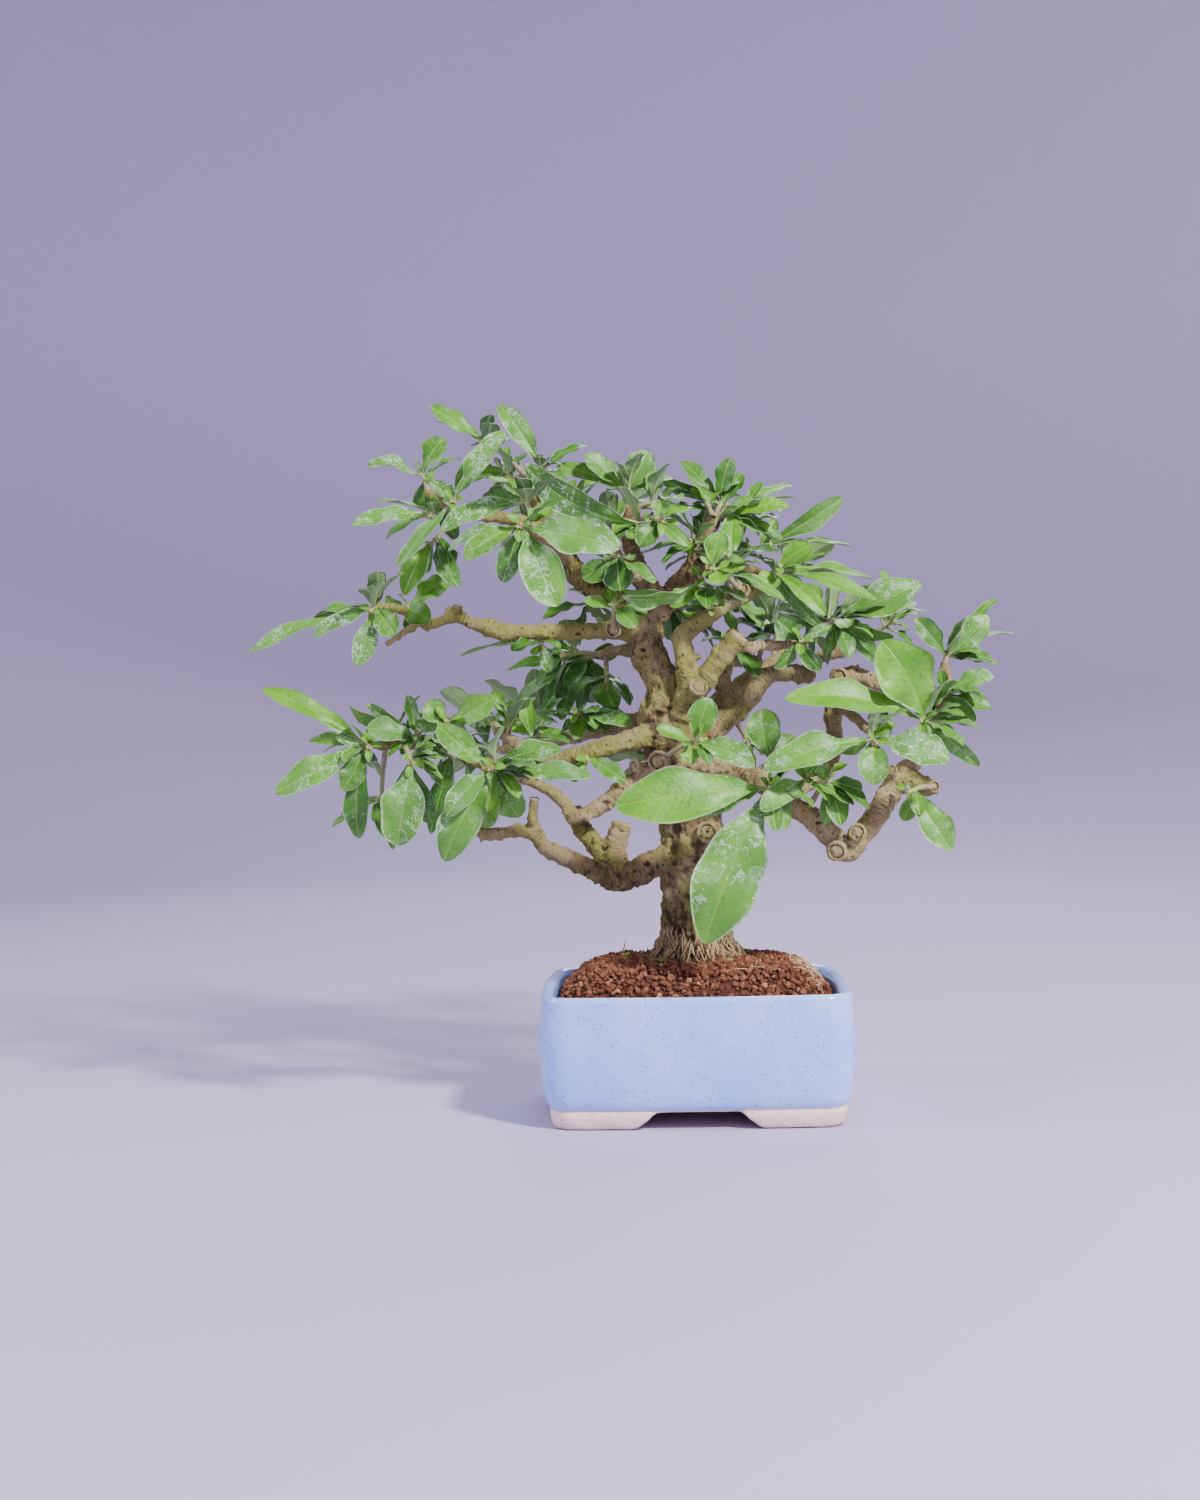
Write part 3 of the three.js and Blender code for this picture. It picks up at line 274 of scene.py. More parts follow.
def smooth_line(points: Array, step: float) -> Array:
    """A smooth line through points, with every column carried along.

    Args:
        points: rows of x, y, z and any further numbers, such as a radius.
        step: about how far apart its points lie.

    Returns:
        The rows of the smooth line.
    """
    padded = np.concatenate([[2 * points[0] - points[1]], points, [2 * points[-1] - points[-2]]])
    rows = []
    for index in range(len(points) - 1):
        before, start, end, after = padded[index:index + 4]
        steps = max(int(round(np.linalg.norm((end - start)[:3]) / step)), 1)
        for share in np.arange(steps) / steps:
            square, cube = share * share, share ** 3
            rows.append(0.5 * (2 * start + (end - before) * share
                               + (2 * before - 5 * start + 4 * end - after) * square
                               + (3 * start - before - 3 * end + after) * cube))
    rows.append(points[-1])
    return np.array(rows)


def tube_rings(line: Array, radii: Array, sides: int) -> Array:
    """Rings round a line.

    Args:
        line: rows of x, y, z.
        radii: the radius at each row, or at each row and side.
        sides: the number of points in a ring.

    Returns:
        The rings, as [ring, point, xyz].
    """
    angles = 2 * pi * np.arange(sides) / sides
    across = np.array([1.0, 0.2, 0.1])
    rings = []
    for index, point in enumerate(line):
        along = unit(line[min(index + 1, len(line) - 1)] - line[max(index - 1, 0)])
        across = unit(across - along * across.dot(along))
        upward = np.cross(along, across)
        radius = np.broadcast_to(radii[index], (sides,))
        beside, above = np.outer(radius * np.cos(angles), across), np.outer(radius * np.sin(angles), upward)
        rings.append(point + beside + above)
    return np.array(rings)


def noise_at(points: Array, scale: float | Array, offset: float = 0.0) -> Array:
    """Smooth noise from -1 to 1 at each point, with features as wide as 1 / scale millimetres."""
    spots = points * scale + offset
    return np.array([noise.noise(spot) for spot in spots])


def keep_modifiers(piece: Piece) -> None:
    """Applies all modifiers of a piece to its mesh.

    Args:
        piece: the piece.
    """
    depsgraph = bpy.context.evaluated_depsgraph_get()
    mesh = bpy.data.meshes.new_from_object(piece.evaluated_get(depsgraph))
    old = piece.data
    piece.modifiers.clear()
    piece.data = mesh
    mesh.name = old.name
    bpy.data.meshes.remove(old)


def even_out(piece: Piece, cell: float) -> None:
    """Joins a piece's parts to one even skin of small cells, given in millimetres, and softens it.

    Args:
        piece: the piece.
        cell: the width of a cell.
    """
    remesh = piece.modifiers.new("even", "REMESH")
    remesh.mode = "VOXEL"
    remesh.voxel_size = cell * MM
    soften = piece.modifiers.new("soften", "SMOOTH")
    soften.iterations = 3
    keep_modifiers(piece)


def shade(mesh: Mesh, smooth: bool = True) -> None:
    """Shades all faces of a mesh smooth or flat."""
    mesh.polygons.foreach_set("use_smooth", [smooth] * len(mesh.polygons))


def mesh_points(mesh: Mesh) -> Array:
    """A mesh's points in millimetres from the ground under the pot's middle.

    Args:
        mesh: the mesh, in the row frame.

    Returns:
        Rows of x, y and z.
    """
    flat = np.zeros(len(mesh.vertices) * 3, np.float32)
    mesh.vertices.foreach_get("co", flat)
    return flat.reshape(-1, 3).astype(float) / MM - SHIFT


def mesh_normals(mesh: Mesh) -> Array:
    """A mesh's normals at its points.

    Args:
        mesh: the mesh.

    Returns:
        Rows of x, y and z.
    """
    flat = np.zeros(len(mesh.vertices) * 3, np.float32)
    mesh.vertices.foreach_get("normal", flat)
    return flat.reshape(-1, 3).astype(float)


def set_points(mesh: Mesh, points: Array) -> None:
    """Puts a mesh's points at places given in millimetres from the ground under the pot's middle."""
    mesh.vertices.foreach_set("co", ((points + SHIFT) * MM).astype(np.float32).ravel())
    mesh.update()


def set_values(mesh: Mesh, name: str, rows: Array) -> None:
    """Gives a mesh's points an attribute of three numbers each."""
    layer = mesh.attributes.new(name, "FLOAT_VECTOR", "POINT")
    layer.data.foreach_set("vector", rows.astype(np.float32).ravel())


def finished(piece: Piece, slot: Slot, *nodes: str) -> Piece:
    """Ties a piece to the frame and reports it.

    Args:
        piece: the piece, in place.
        slot: the record's material slot; not used.
        *nodes: the CAD nodes that it stands for.

    Returns:
        The piece.
    """
    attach(piece, "root")
    if nodes:
        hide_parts(*nodes)
    LOG.info("%s: %d points", piece.name, len(piece.data.vertices))
    return piece


# The tree, measured from the front, in millimetres

# The trunk's middle line: across, up, behind and radius
TRUNK_LINE = [
    (42, -100, 2, 17.5), (42, -90, 2, 18), (42, -81, 2, 15.6), (42, -66, 1, 14.6), (41, -53, 0, 14.4),
    (41, -37, 0, 14), (37, -18, 0, 13), (32, -2, 0, 11.8), (27, 13, -2, 10.4), (28, 28, 0, 7.5),
    (21, 44, 2, 8.3), (22, 54, 2, 6.3), (23, 63, 2, 5.6),
]

# Each branch: across, up, behind and radius, from inside the wood that it grows from to its end
BRANCHES = {
    "crown_left": [(22, 57, 2, 5.6), (9, 66, 4, 6), (-3, 72, 6, 6), (-14, 83, 6, 5), (-22, 97, 4, 4.2),
        (-27, 109, 3, 3.5), (-30, 118, 4, 2.6)],
    "crown_front": [(-14, 84, 5, 3.6), (-19, 89, -12, 3), (-27, 95, -30, 2.5), (-33, 98, -42, 2)],
    "crown_far_left": [(-22, 97, 4, 3.4), (-40, 102, -2, 2.9), (-56, 104, -8, 2.5), (-68, 106, -10, 2.2),
        (-76, 114, -5, 1.9)],
    "crown_middle": [(22, 58, 2, 5.4), (24, 67, 0, 5.2), (18, 77, -3, 5), (14, 88, -4, 4.2),
        (12, 98, -4, 3.5), (16, 107, -2, 2.6)],
    "crown_right": [(23, 58, 2, 5.4), (35, 72, -2, 5.5), (43, 81, -5, 5.6), (45, 90, -6, 4.8),
        (50, 101, -4, 3.2)],
    "front_fork": [(33, 10, -4, 7), (39, 24, -10, 6), (38, 38, -12, 5), (36, 49, -12, 4.6),
        (42, 55, -12, 4.4), (51, 62, -11, 4.2), (60, 67, -9, 4.4), (66, 70, -7, 4.4), (73, 73, -6, 2.8)],
    "front_stub": [(39, 21, -10, 5.4), (46, 31, -14, 5), (54, 42, -17, 4.6), (60, 49, -18, 5)],
    "front_twig": [(57, 45, -16, 2.6), (72, 46, -13, 2.4), (88, 47, -11, 2.1), (97, 54, -8, 1.8)],
    "rear_fork": [(36, 2, 4, 7), (50, 10, 12, 6), (58, 16, 16, 5.6), (64, 21, 18, 4.8), (69, 27, 20, 4.3),
        (74, 33, 22, 4.2), (83, 34, 24, 4), (92, 33, 26, 3.9)],
    "rear_arm": [(58, 15, 16, 5), (55, 25, 18, 4.3), (54, 33, 20, 4), (58, 40, 24, 3.6), (69, 38, 28, 3.2)],
    "rear_twig": [(89, 33, 26, 3), (95, 40, 28, 3), (104, 43, 28, 3.2), (112, 46, 28, 3),
        (119, 49, 28, 2.2)],
    "low_right": [(36, -5, -3, 7), (57, -9, -12, 5.4), (71, -14, -20, 5), (81, -22, -24, 4.9),
        (93, -30, -26, 4.8), (103, -39, -28, 4.9), (108, -45, -28, 4.6), (114, -38, -27, 4.8),
        (122, -27, -23, 4.8), (128, -17, -18, 5.2), (133, -10, -14, 4.6), (139, -4, -10, 3.4),
        (146, 5, -7, 2.9), (150, 17, -6, 2.7), (152, 30, -4, 2.3), (151, 38, -2, 1.9)],
    "low_right_knob": [(128, -16, -18, 4.6), (136, -14, -17, 5.2), (142, -16, -18, 4.6),
        (147, -17, -20, 2.6)],
    "mid_right": [(82, -21, -22, 3.6), (92, -14, -14, 3.2), (101, -7, -8, 3.3), (103, 6, -2, 3.8),
        (102, 15, 2, 4), (104, 24, 4, 4.2), (107, 31, 4, 5.4), (114, 32, 4, 4.4), (122, 30, 3, 4),
        (130, 29, 2, 3.7), (139, 25, 0, 2.8), (147, 23, -5, 2)],
    "mid_right_twig": [(104, 20, 3, 2.8), (111, 15, -16, 2.2), (118, 8, -34, 1.8)],
    "upper_left": [(20, 52, 2, 5.2), (7, 53, 2, 4.6), (3, 53, 2, 3.8), (-10, 52, 2, 3.7), (-29, 52, 0, 3.7),
        (-44, 52, -2, 3.7), (-49, 54, -3, 4.4), (-57, 56, -4, 2.7), (-64, 59, -6, 2.9), (-70, 57, -7, 2.4),
        (-77, 56, -8, 2.6), (-84, 60, -9, 2.2), (-91, 63, -12, 2), (-99, 64, -16, 1.7)],
    "upper_left_stub": [(-64, 58, -6, 2.2), (-63, 63, -6, 2.3)],
    "upper_left_dead": [(-80, 57, -8, 1.6), (-88, 51, -9, 1.4), (-94, 47, -10, 1.2)],
    "middle_left": [(26, 8, -4, 6), (13, 4, -8, 4.8), (2, 1, -9, 4.6), (-9, -2, -9, 4.2),
        (-24, -5, -8, 3.6), (-40, -7, -8, 3.2), (-52, -6, -6, 3), (-66, -1, -4, 2.6), (-82, 2, -4, 2.3),
        (-98, 2, -8, 2.1), (-106, 3, -12, 1.7)],
    "middle_left_rear": [(-24, -5, -8, 3), (-35, 2, 8, 2.6), (-46, 8, 22, 2.1)],
    "loop_left": [(26, -9, -5, 5), (12, -15, -13, 3.9), (3, -23, -16, 3.9), (-6, -28, -18, 3.2),
        (-12, -30, -18, 3), (-15, -24, -20, 2.9), (-24, -17, -22, 2.7), (-36, -12, -26, 2.4),
        (-44, -9, -30, 2)],
    "low_left": [(36, -48, -2, 7.4), (24, -50, -6, 6.6), (16, -54, -10, 6.4), (8, -57, -13, 6),
        (0, -54, -15, 5.2), (-11, -49, -16, 4.4), (-24, -43, -17, 3.9), (-29, -37, -18, 3.5),
        (-37, -36, -20, 2.9), (-46, -37, -21, 2.8), (-52, -37, -22, 2.7), (-55, -31, -22, 2.2)],
    "low_left_upright": [(-28, -38, -18, 3), (-30, -30, -19, 2.5), (-29, -22, -20, 2.2)],
    "low_left_arm": [(7, -53, -12, 5), (-2, -42, -8, 4.6), (-9, -33, -4, 4.2), (-11, -27, -2, 3.4)],
    "low_left_knob": [(8, -52, -10, 5), (7, -42, -8, 5), (9, -34, -8, 4.6)],
    "rear_low": [(38, -20, 6, 6), (42, -16, 28, 4.6), (38, -14, 46, 3.6), (32, -12, 64, 2.5)],
    "rear_right": [(38, 8, 8, 5.4), (58, 26, 38, 4), (78, 40, 54, 3.2), (94, 50, 68, 2.3)],
    "rear_left": [(24, 14, 6, 5), (4, 10, 30, 4), (-20, 4, 48, 3.2), (-44, 0, 62, 2.3)],
    "rear_crown": [(22, 60, 4, 4.8), (18, 74, 26, 3.8), (4, 88, 46, 3), (-12, 98, 62, 2.3)],
    "rear_crown_right": [(42, 79, -2, 4.4), (58, 80, 26, 3.4), (76, 76, 50, 2.3)],
    "left_hang": [(21, 42, 4, 4), (10, 44, 20, 2.9), (0, 42, 30, 2.2)],
}

# Round cuts: the root and the cut face, each across, up and behind, and the radius
CUTS = [
    ((29, -4, -6), (26, -5, -17), 4.2),
    ((25, -8, -8), (16, -8, -15), 3.4),
    ((114, -36, -27), (113, -36, -34), 3.3),
    ((105, -42, -28), (104, -44, -35), 3.8),
    ((129, -12, -18), (128, -9, -25), 2),
    ((142, -16, -18), (146, -16, -25), 2.2),
    ((107, 31, 4), (105, 32, -3), 3.6),
    ((7, 53, 2), (6, 53, -5), 3.2),
    ((62, 68, -9), (62, 70, -15), 3.2),
    ((40, 22, -10), (43, 27, -18), 3.6),
    ((46, -36, -6), (47, -36, -15), 4),
    ((18, 76, -3), (16, 77, -10), 3),
]

# Leafy stems: the heart, the foot where it isn't the nearest wood, and the leaves. A leaf is the way to its
# tip from the heart, its width, and the facing of its upper side in degrees: 0 up, 90 front, 180 down
SPRAYS = {
    "top_arch": ((-51, 136, 5), None, [(-24, 16, -4, 8, 60), (-22, 9, 6, 7, 10), (11, 2, 8, 6, 40)]),
    "top_long": ((-65, 110, -24), None, [(22, 31, -6, 10, 70), (-25, -28, -6, 7, 45), (8, 20, 8, 6, 60)]),
    "top_left_star": ((-79, 123, 0), None, [(10, 15, -5, 10, 75), (-24, 5, -4, 9, 35), (17, 6, 3, 6, 15),
        (14, -13, 4, 8, 70), (1, -17, 6, 10, 80), (6, -2, -6, 6, 80)]),
    "left_pair": ((-75, 104, -14), None, [(-35, -4, -8, 10, 50), (-24, 6, 4, 7, 5), (-20, -11, 4, 7, 40),
        (2, 8, -5, 5, 80)]),
    "left_hanging": ((-75, 91, -6), (-59, 104, -8), [(-12, -22, -6, 11, 85), (-8, -13, 6, 10, 120),
        (12, -18, -14, 9, 90)]),
    "star": ((-35, 99, -50), None, [(44, -9, -8, 17, 65), (16, -36, -6, 17, 90), (-25, -14, -4, 11, 60),
        (-8, -25, 6, 10, 85), (14, 8, 4, 8, 50), (-33, -9, 10, 7, 50)]),
    "star_upper": ((-33, 111, -30), None, [(-38, -13, -8, 11, 60), (-17, 2, 6, 10, 110),
        (-9, 9, 8, 6, 40)]),
    "top_sprig": ((-44, 124, 12), (-28, 112, 4), [(-9, -1, -4, 6, 70), (7, 3, -4, 7, 80), (13, 8, 3, 6, 25),
        (3, 10, 5, 4, 60)]),
    "top_sickle": ((-26, 126, 2), (-27, 108, 3), [(-19, 27, 2, 10, 78), (20, 9, 6, 7, 40),
        (6, -3, 8, 8, 50)]),
    "crown_dark": ((20, 100, -15), (12, 93, -4), [(-53, 24, -23, 14, 130)]),
    "crown_fan": ((10, 115, 3), None, [(-17, 15, -4, 11, 60), (-29, 10, 5, 8, 60), (11, 17, -2, 13, 85),
        (22, 5, 4, 7, 40), (0, 10, 10, 8, 50)]),
    "crown_peak": ((54, 109, 12), None, [(-28, 11, -4, 8, 140), (-18, 18, 3, 8, 55), (8, 13, 4, 8, 60),
        (-14, 6, -8, 6, 80), (26, -4, 10, 7, 30)]),
    "crown_bud": ((27, 101, -20), None, [(-10, -11, -4, 10, 88), (12, 5, -2, 7, 35), (1, 9, 4, 8, 70),
        (12, -11, -5, 6, 80)]),
    "crown_blades": ((45, 75, -26), None, [(-35, -8, -8, 9, 145), (-14, -12, -4, 8, 60),
        (-35, -4, 3, 7, 150)]),
    "neck_sprig": ((6, 64, -14), None, [(-13, 2, -2, 6, 65), (10, -10, -3, 8, 80), (15, -3, 4, 7, 50),
        (-3, 7, 5, 6, 60)]),
    "neck_cup": ((6, 86, -18), None, [(3, -16, -3, 13, 75), (-14, -10, -2, 10, 85), (-10, 4, 6, 7, 40)]),
    "right_top": ((55, 106, -10), (46, 92, -6), [(31, 4, 6, 7, 5), (29, 10, 12, 7, 45), (28, 2, -4, 9, 60),
        (22, -11, -2, 7, 50), (12, 5, -8, 6, 60)]),
    "right_grey": ((73, 90, 12), None, [(33, 21, 2, 10, 130), (37, -1, 8, 7, 25), (-13, -2, -6, 6, 40),
        (4, 11, 4, 7, 60)]),
    "right_star": ((78, 80, -14), None, [(15, 10, -4, 11, 70), (41, -5, 6, 8, 30), (43, -15, -5, 8, 45),
        (21, -21, -8, 8, 60), (19, -26, 6, 6, 120), (-6, -9, -4, 10, 80), (1, -13, 4, 7, 80)]),
    "right_bright": ((49, 80, -34), None, [(4, 16, -2, 10, 80), (15, 2, -3, 8, 65), (4, -7, -4, 9, 85),
        (32, -15, 4, 8, 40)]),
    "fork_sprig": ((49, 63, -26), None, [(-5, 8, -2, 5, 60), (5, 8, 2, 5, 60), (-9, 1, -3, 5, 70),
        (12, 2, 3, 5, 10)]),
    "fork_right": ((88, 48, -16), None, [(-10, 9, -4, 10, 80), (9, -13, -3, 7, 125), (-11, -12, -2, 7, 125),
        (14, 6, 3, 5, 60), (-25, 5, 8, 8, 130)]),
    "pink_stem": ((106, 58, -6), None, [(-25, 0, -4, 7, 140), (35, 15, -8, 17, 68), (23, -8, -6, 8, 135),
        (14, -16, 8, 9, 80), (16, -20, -5, 8, 60), (-7, -16, -3, 6, 130), (37, 2, 8, 7, 20),
        (25, 6, 10, 6, 60)]),
    "far_top": ((152, 42, 0), None, [(-14, 16, -4, 9, 80), (18, 17, -2, 11, 78), (29, 9, 6, 6, 10),
        (18, 1, 3, 6, 25), (20, -3, -5, 7, 45), (22, 24, 12, 7, 15)]),
    "far_middle": ((150, 25, -10), None, [(22, 8, -2, 8, 60), (17, -2, 6, 6, 15), (21, -6, -4, 8, 50),
        (14, -12, -8, 12, 125), (-19, 10, -4, 7, 140), (-18, 3, 3, 7, 40), (-8, -5, -6, 7, 60),
        (-1, 10, -3, 5, 80)]),
    "far_huge": ((142, 13, -26), None, [(-18, 35, -6, 24, 80), (-60, 11, -10, 15, 55), (6, -8, -3, 9, 80),
        (24, -20, 14, 7, 120)]),
    "right_front": ((120, 4, -46), None, [(-48, -12, -8, 14, 60), (33, -8, -6, 15, 68),
        (0, -19, -4, 13, 88), (9, 8, 4, 6, 60), (-15, -5, 8, 6, 130), (7, 4, -4, 4, 70)]),
    "low_right_pair": ((136, -18, -30), None, [(18, -26, -6, 13, 80), (4, -10, -8, 7, 88),
        (-3, -13, 4, 7, 70)]),
    "low_sprig": ((101, -11, -38), None, [(-2, -22, 3, 7, 110), (5, -22, -5, 9, 88), (14, -7, -4, 8, 60),
        (-5, 4, -3, 5, 70)]),
    "low_giant": ((74, -16, -44), None, [(-67, -8, -10, 23, 68), (-28, -69, -8, 27, 86),
        (-31, -12, 3, 12, 50)]),
    "low_leafy": ((91, -12, -40), None, [(-20, -13, -6, 10, 62), (-6, 7, -2, 4, 60), (4, 6, 2, 4, 60)]),
    "knuckle_sprig": ((43, 4, -28), None, [(5, 19, -3, 12, 88), (-18, 6, -4, 7, 50), (25, -10, -5, 11, 60),
        (-3, -10, -4, 8, 85), (-6, -2, -6, 4, 60)]),
    "banded": ((76, -5, -4), None, [(-5, 23, -2, 15, 84), (9, 12, 6, 9, 80)]),
    "far_left": ((-103, 2, -16), None, [(-47, 25, -4, 9, 60), (-41, -21, -8, 13, 64), (-26, 2, 4, 6, 60),
        (-14, 4, -5, 7, 60), (-11, -20, -3, 11, 80), (-4, -41, 4, 11, 85), (-20, -2, 10, 6, 20)]),
    "far_left_low": ((-97, -22, 14), None, [(-22, -12, -2, 6, 25), (-19, -7, 6, 6, 50),
        (8, -14, 4, 8, 60)]),
    "left_giant": ((-84, -5, -34), None, [(-6, -37, -5, 18, 86), (10, -28, 6, 9, 80), (-8, -39, 7, 8, 86)]),
    "left_grey": ((-81, 7, -10), None, [(-16, -14, -5, 10, 55), (-22, 3, -8, 11, 62), (-31, 12, 5, 8, 135),
        (-18, 0, -2, 7, 40), (-22, 13, 9, 6, 110), (-4, 17, 12, 6, 110)]),
    "left_bright": ((-68, 12, -20), None, [(-9, 9, -2, 11, 68), (22, 11, -3, 12, 65), (-14, 0, 4, 8, 130),
        (-5, 5, 8, 7, 60)]),
    "left_star": ((-48, -8, -46), None, [(-24, 19, 3, 11, 66), (-20, -21, -6, 11, 70),
        (-21, -41, 2, 17, 82), (-2, -19, -5, 10, 86), (-3, -27, 6, 10, 80), (31, 8, 3, 12, 50),
        (44, -3, -4, 11, 48), (27, -4, 8, 7, 20), (12, -22, 4, 14, 112), (-15, 5, -6, 8, 50)]),
    "left_inner": ((-68, -2, -8), (-59, -3, -5), [(-12, 3, -4, 8, 60), (-2, -15, -3, 9, 80),
        (-7, -35, -4, 9, 84), (2, -46, 4, 8, 100)]),
    "left_rear": ((-48, 12, 26), None, [(11, 9, 3, 6, 25), (35, -7, -4, 8, 45), (34, 2, 8, 6, 20),
        (14, -3, -6, 8, 55), (-10, 2, 6, 7, 40)]),
    "inner_left": ((-6, -4, -14), None, [(17, -9, -4, 8, 60), (-14, 7, -3, 8, 50), (-6, -10, 4, 5, 60)]),
    "hanging": ((-7, 40, 36), None, [(15, 4, -5, 9, 70), (6, -10, -6, 8, 82), (-34, -4, 4, 8, 35),
        (-14, 7, 6, 11, 130), (-19, -23, -4, 9, 72), (-11, -27, 4, 8, 82), (-3, -24, -4, 6, 86),
        (4, -19, 5, 10, 88), (14, -22, 3, 13, 105), (-31, -19, 6, 7, 60)]),
    "hanging_low": ((-9, 16, 22), None, [(-4, -8, -3, 8, 85), (23, -5, -2, 9, 50), (13, -7, 5, 6, 60),
        (7, -8, -4, 6, 80), (-21, 1, 4, 6, 15), (-8, -7, 4, 5, 60)]),
    "under_branch": ((-26, 46, 2), None, [(-36, -5, 3, 7, 20), (4, -12, 5, 6, 80)]),
    "tip_left": ((-101, 62, -20), None, [(-55, -19, 4, 9, 45), (-26, -11, -6, 9, 52), (-29, -4, 8, 8, 30),
        (-7, -25, -3, 10, 115), (10, -11, -5, 11, 84), (3, 11, -2, 7, 62)]),
    "tip_inner": ((-85, 64, -6), None, [(9, -6, -6, 11, 80), (19, 11, -3, 11, 62), (-10, 3, 4, 7, 120),
        (2, -12, 5, 6, 80)]),
}

# Hidden side: the branch, how far along it, and the number of leaves
REAR_SPRAYS = [
    ("rear_low", 1, 6), ("rear_right", 0.7, 6), ("rear_right", 1, 6), ("rear_left", 0.7, 5),
    ("rear_left", 1, 6), ("rear_crown", 0.6, 5), ("rear_crown", 1, 6), ("rear_crown_right", 1, 6),
]


# Shader effects that several finishes share


def group_socket(tree: Tree, name: str, kind: str, is_input: bool, value: float | None = None) -> None:
    """Adds a named socket to a node group.

    Args:
        tree: the group.
        name: the socket's name.
        kind: Float, Vector or Color.
        is_input: whether it is an input.
        value: a number's default.
    """
    way = "INPUT" if is_input else "OUTPUT"
    socket = tree.interface.new_socket(name, in_out=way, socket_type=f"NodeSocket{kind}")
    if value is not None:
        socket.default_value = value


@dataclass
class Nodes:
    """A node tree with short calls for adding and joining nodes."""

    tree: Tree

    def add(self, kind: str, **settings: object) -> Node:
        """Adds a node and sets its properties.

        Args:
            kind: the node's type after ShaderNode, or a full group type.
            **settings: its properties.

        Returns:
            The node.
        """
        node = self.tree.nodes.new(kind if kind.startswith("NodeGroup") else f"ShaderNode{kind}")
        for name, value in settings.items():
            setattr(node, name, value)
        return node

    def put(self, target: Socket, value: Value) -> None:
        """Sets a socket to a number, a colour or another node's output.

        Args:
            target: the socket.
            value: what it takes; None leaves it as it is.
        """
        if isinstance(value, Socket):
            self.tree.links.new(value, target)
        elif value is not None:
            target.default_value = (*value, 1.0) if isinstance(value, tuple) else value

    def fill(self, node: Node, **values: Value) -> Node:
        """Sets a node's inputs by name, with _ in the place of a space.

        Args:
            node: the node.
            **values: what its inputs take.

        Returns:
            The node.
        """
        for name, value in values.items():
            self.put(node.inputs[name.replace("_", " ")], value)
        return node

    def shader(self) -> bpy.types.NodeInputs:
        """The inputs of the material's Principled shader."""
        return self.tree.nodes["Principled BSDF"].inputs

    def paint(self, tone: Value) -> None:
        """Gives the shader its base colour."""
        self.put(self.shader()["Base Color"], tone)

    def relief(self, height: Value, strength: float, distance: float) -> None:
        """Gives the shader a normal that a height in metres bends."""
        node = self.fill(self.add("Bump"), Strength=strength, Distance=distance, Height=height)
        self.put(self.shader()["Normal"], node.outputs["Normal"])

    def math(self, operation: str, one: Value, other: Value = None, clamp: bool = False) -> Socket:
        """The result of a sum on one or two values.

        Args:
            operation: the sum's name in Blender.
            one: the first value.
            other: the second value, if any.
            clamp: whether it is kept from 0 to 1.

        Returns:
            The result.
        """
        node = self.add("Math", operation=operation, use_clamp=clamp)
        self.put(node.inputs[0], one)
        self.put(node.inputs[1], other)
        return node.outputs[0]

    def times(self, one: Value, other: Value, clamp: bool = False) -> Socket:
        """One value times another."""
        return self.math("MULTIPLY", one, other, clamp)

    def plus(self, one: Value, other: Value) -> Socket:
        """One value and another."""
        return self.math("ADD", one, other)

    def minus(self, one: Value, other: Value) -> Socket:
        """One value without another."""
        return self.math("SUBTRACT", one, other)

    def larger(self, one: Value, other: Value) -> Socket:
        """The larger of two values."""
        return self.math("MAXIMUM", one, other)

    def size_of(self, value: Value) -> Socket:
        """A value without its sign."""
        return self.math("ABSOLUTE", value)

    def sine(self, value: Value) -> Socket:
        """The sine of a value."""
        return self.math("SINE", value)

    def ramp(self, value: Value, low: float, high: float, start: float = 0.0, end: float = 1.0) -> Socket:
        """A value's smooth way from start at low to end at high.

        Args:
            value: the value.
            low: where the way starts.
            high: where it ends.
            start: what it gives up to low.
            end: what it gives from high on.

        Returns:
            The result.
        """
        node = self.add("MapRange", interpolation_type="SMOOTHSTEP")
        self.fill(node, From_Min=low, From_Max=high, To_Min=start, To_Max=end, Value=value)
        return node.outputs["Result"]

    def noise(self, scale: float, detail: float = 4.0, roughness: float = 0.55,
              vector: Value = None) -> Socket:
        """Fractal noise from 0 to 1, at the place on the object or at a vector.

        Args:
            scale: features in a metre.
            detail: how many finer layers it has.
            roughness: how strong they are.
            vector: where it is read, if not in place.

        Returns:
            The noise.
        """
        node = self.fill(self.add("TexNoise"), Vector=vector or self.place(), Scale=scale, Detail=detail,
                         Roughness=roughness)
        return node.outputs["Fac"]

    def mixed(self, share: Value, one: Value, other: Value) -> Socket:
        """A mix of two colours."""
        return self.fill(self.add("Mix", data_type="RGBA"), Factor=share, A=one, B=other).outputs["Result"]

    def place(self) -> Socket:
        """The place on the object in metres."""
        return self.add("TexCoord").outputs["Object"]

    def parts(self, name: str) -> tuple[Socket, ...]:
        """The three numbers of a mesh attribute.

        Args:
            name: the attribute's name.

        Returns:
            Its x, y and z.
        """
        attribute = self.add("Attribute", attribute_name=name)
        split = self.add("SeparateXYZ")
        self.put(split.inputs[0], attribute.outputs["Vector"])
        return tuple(split.outputs)


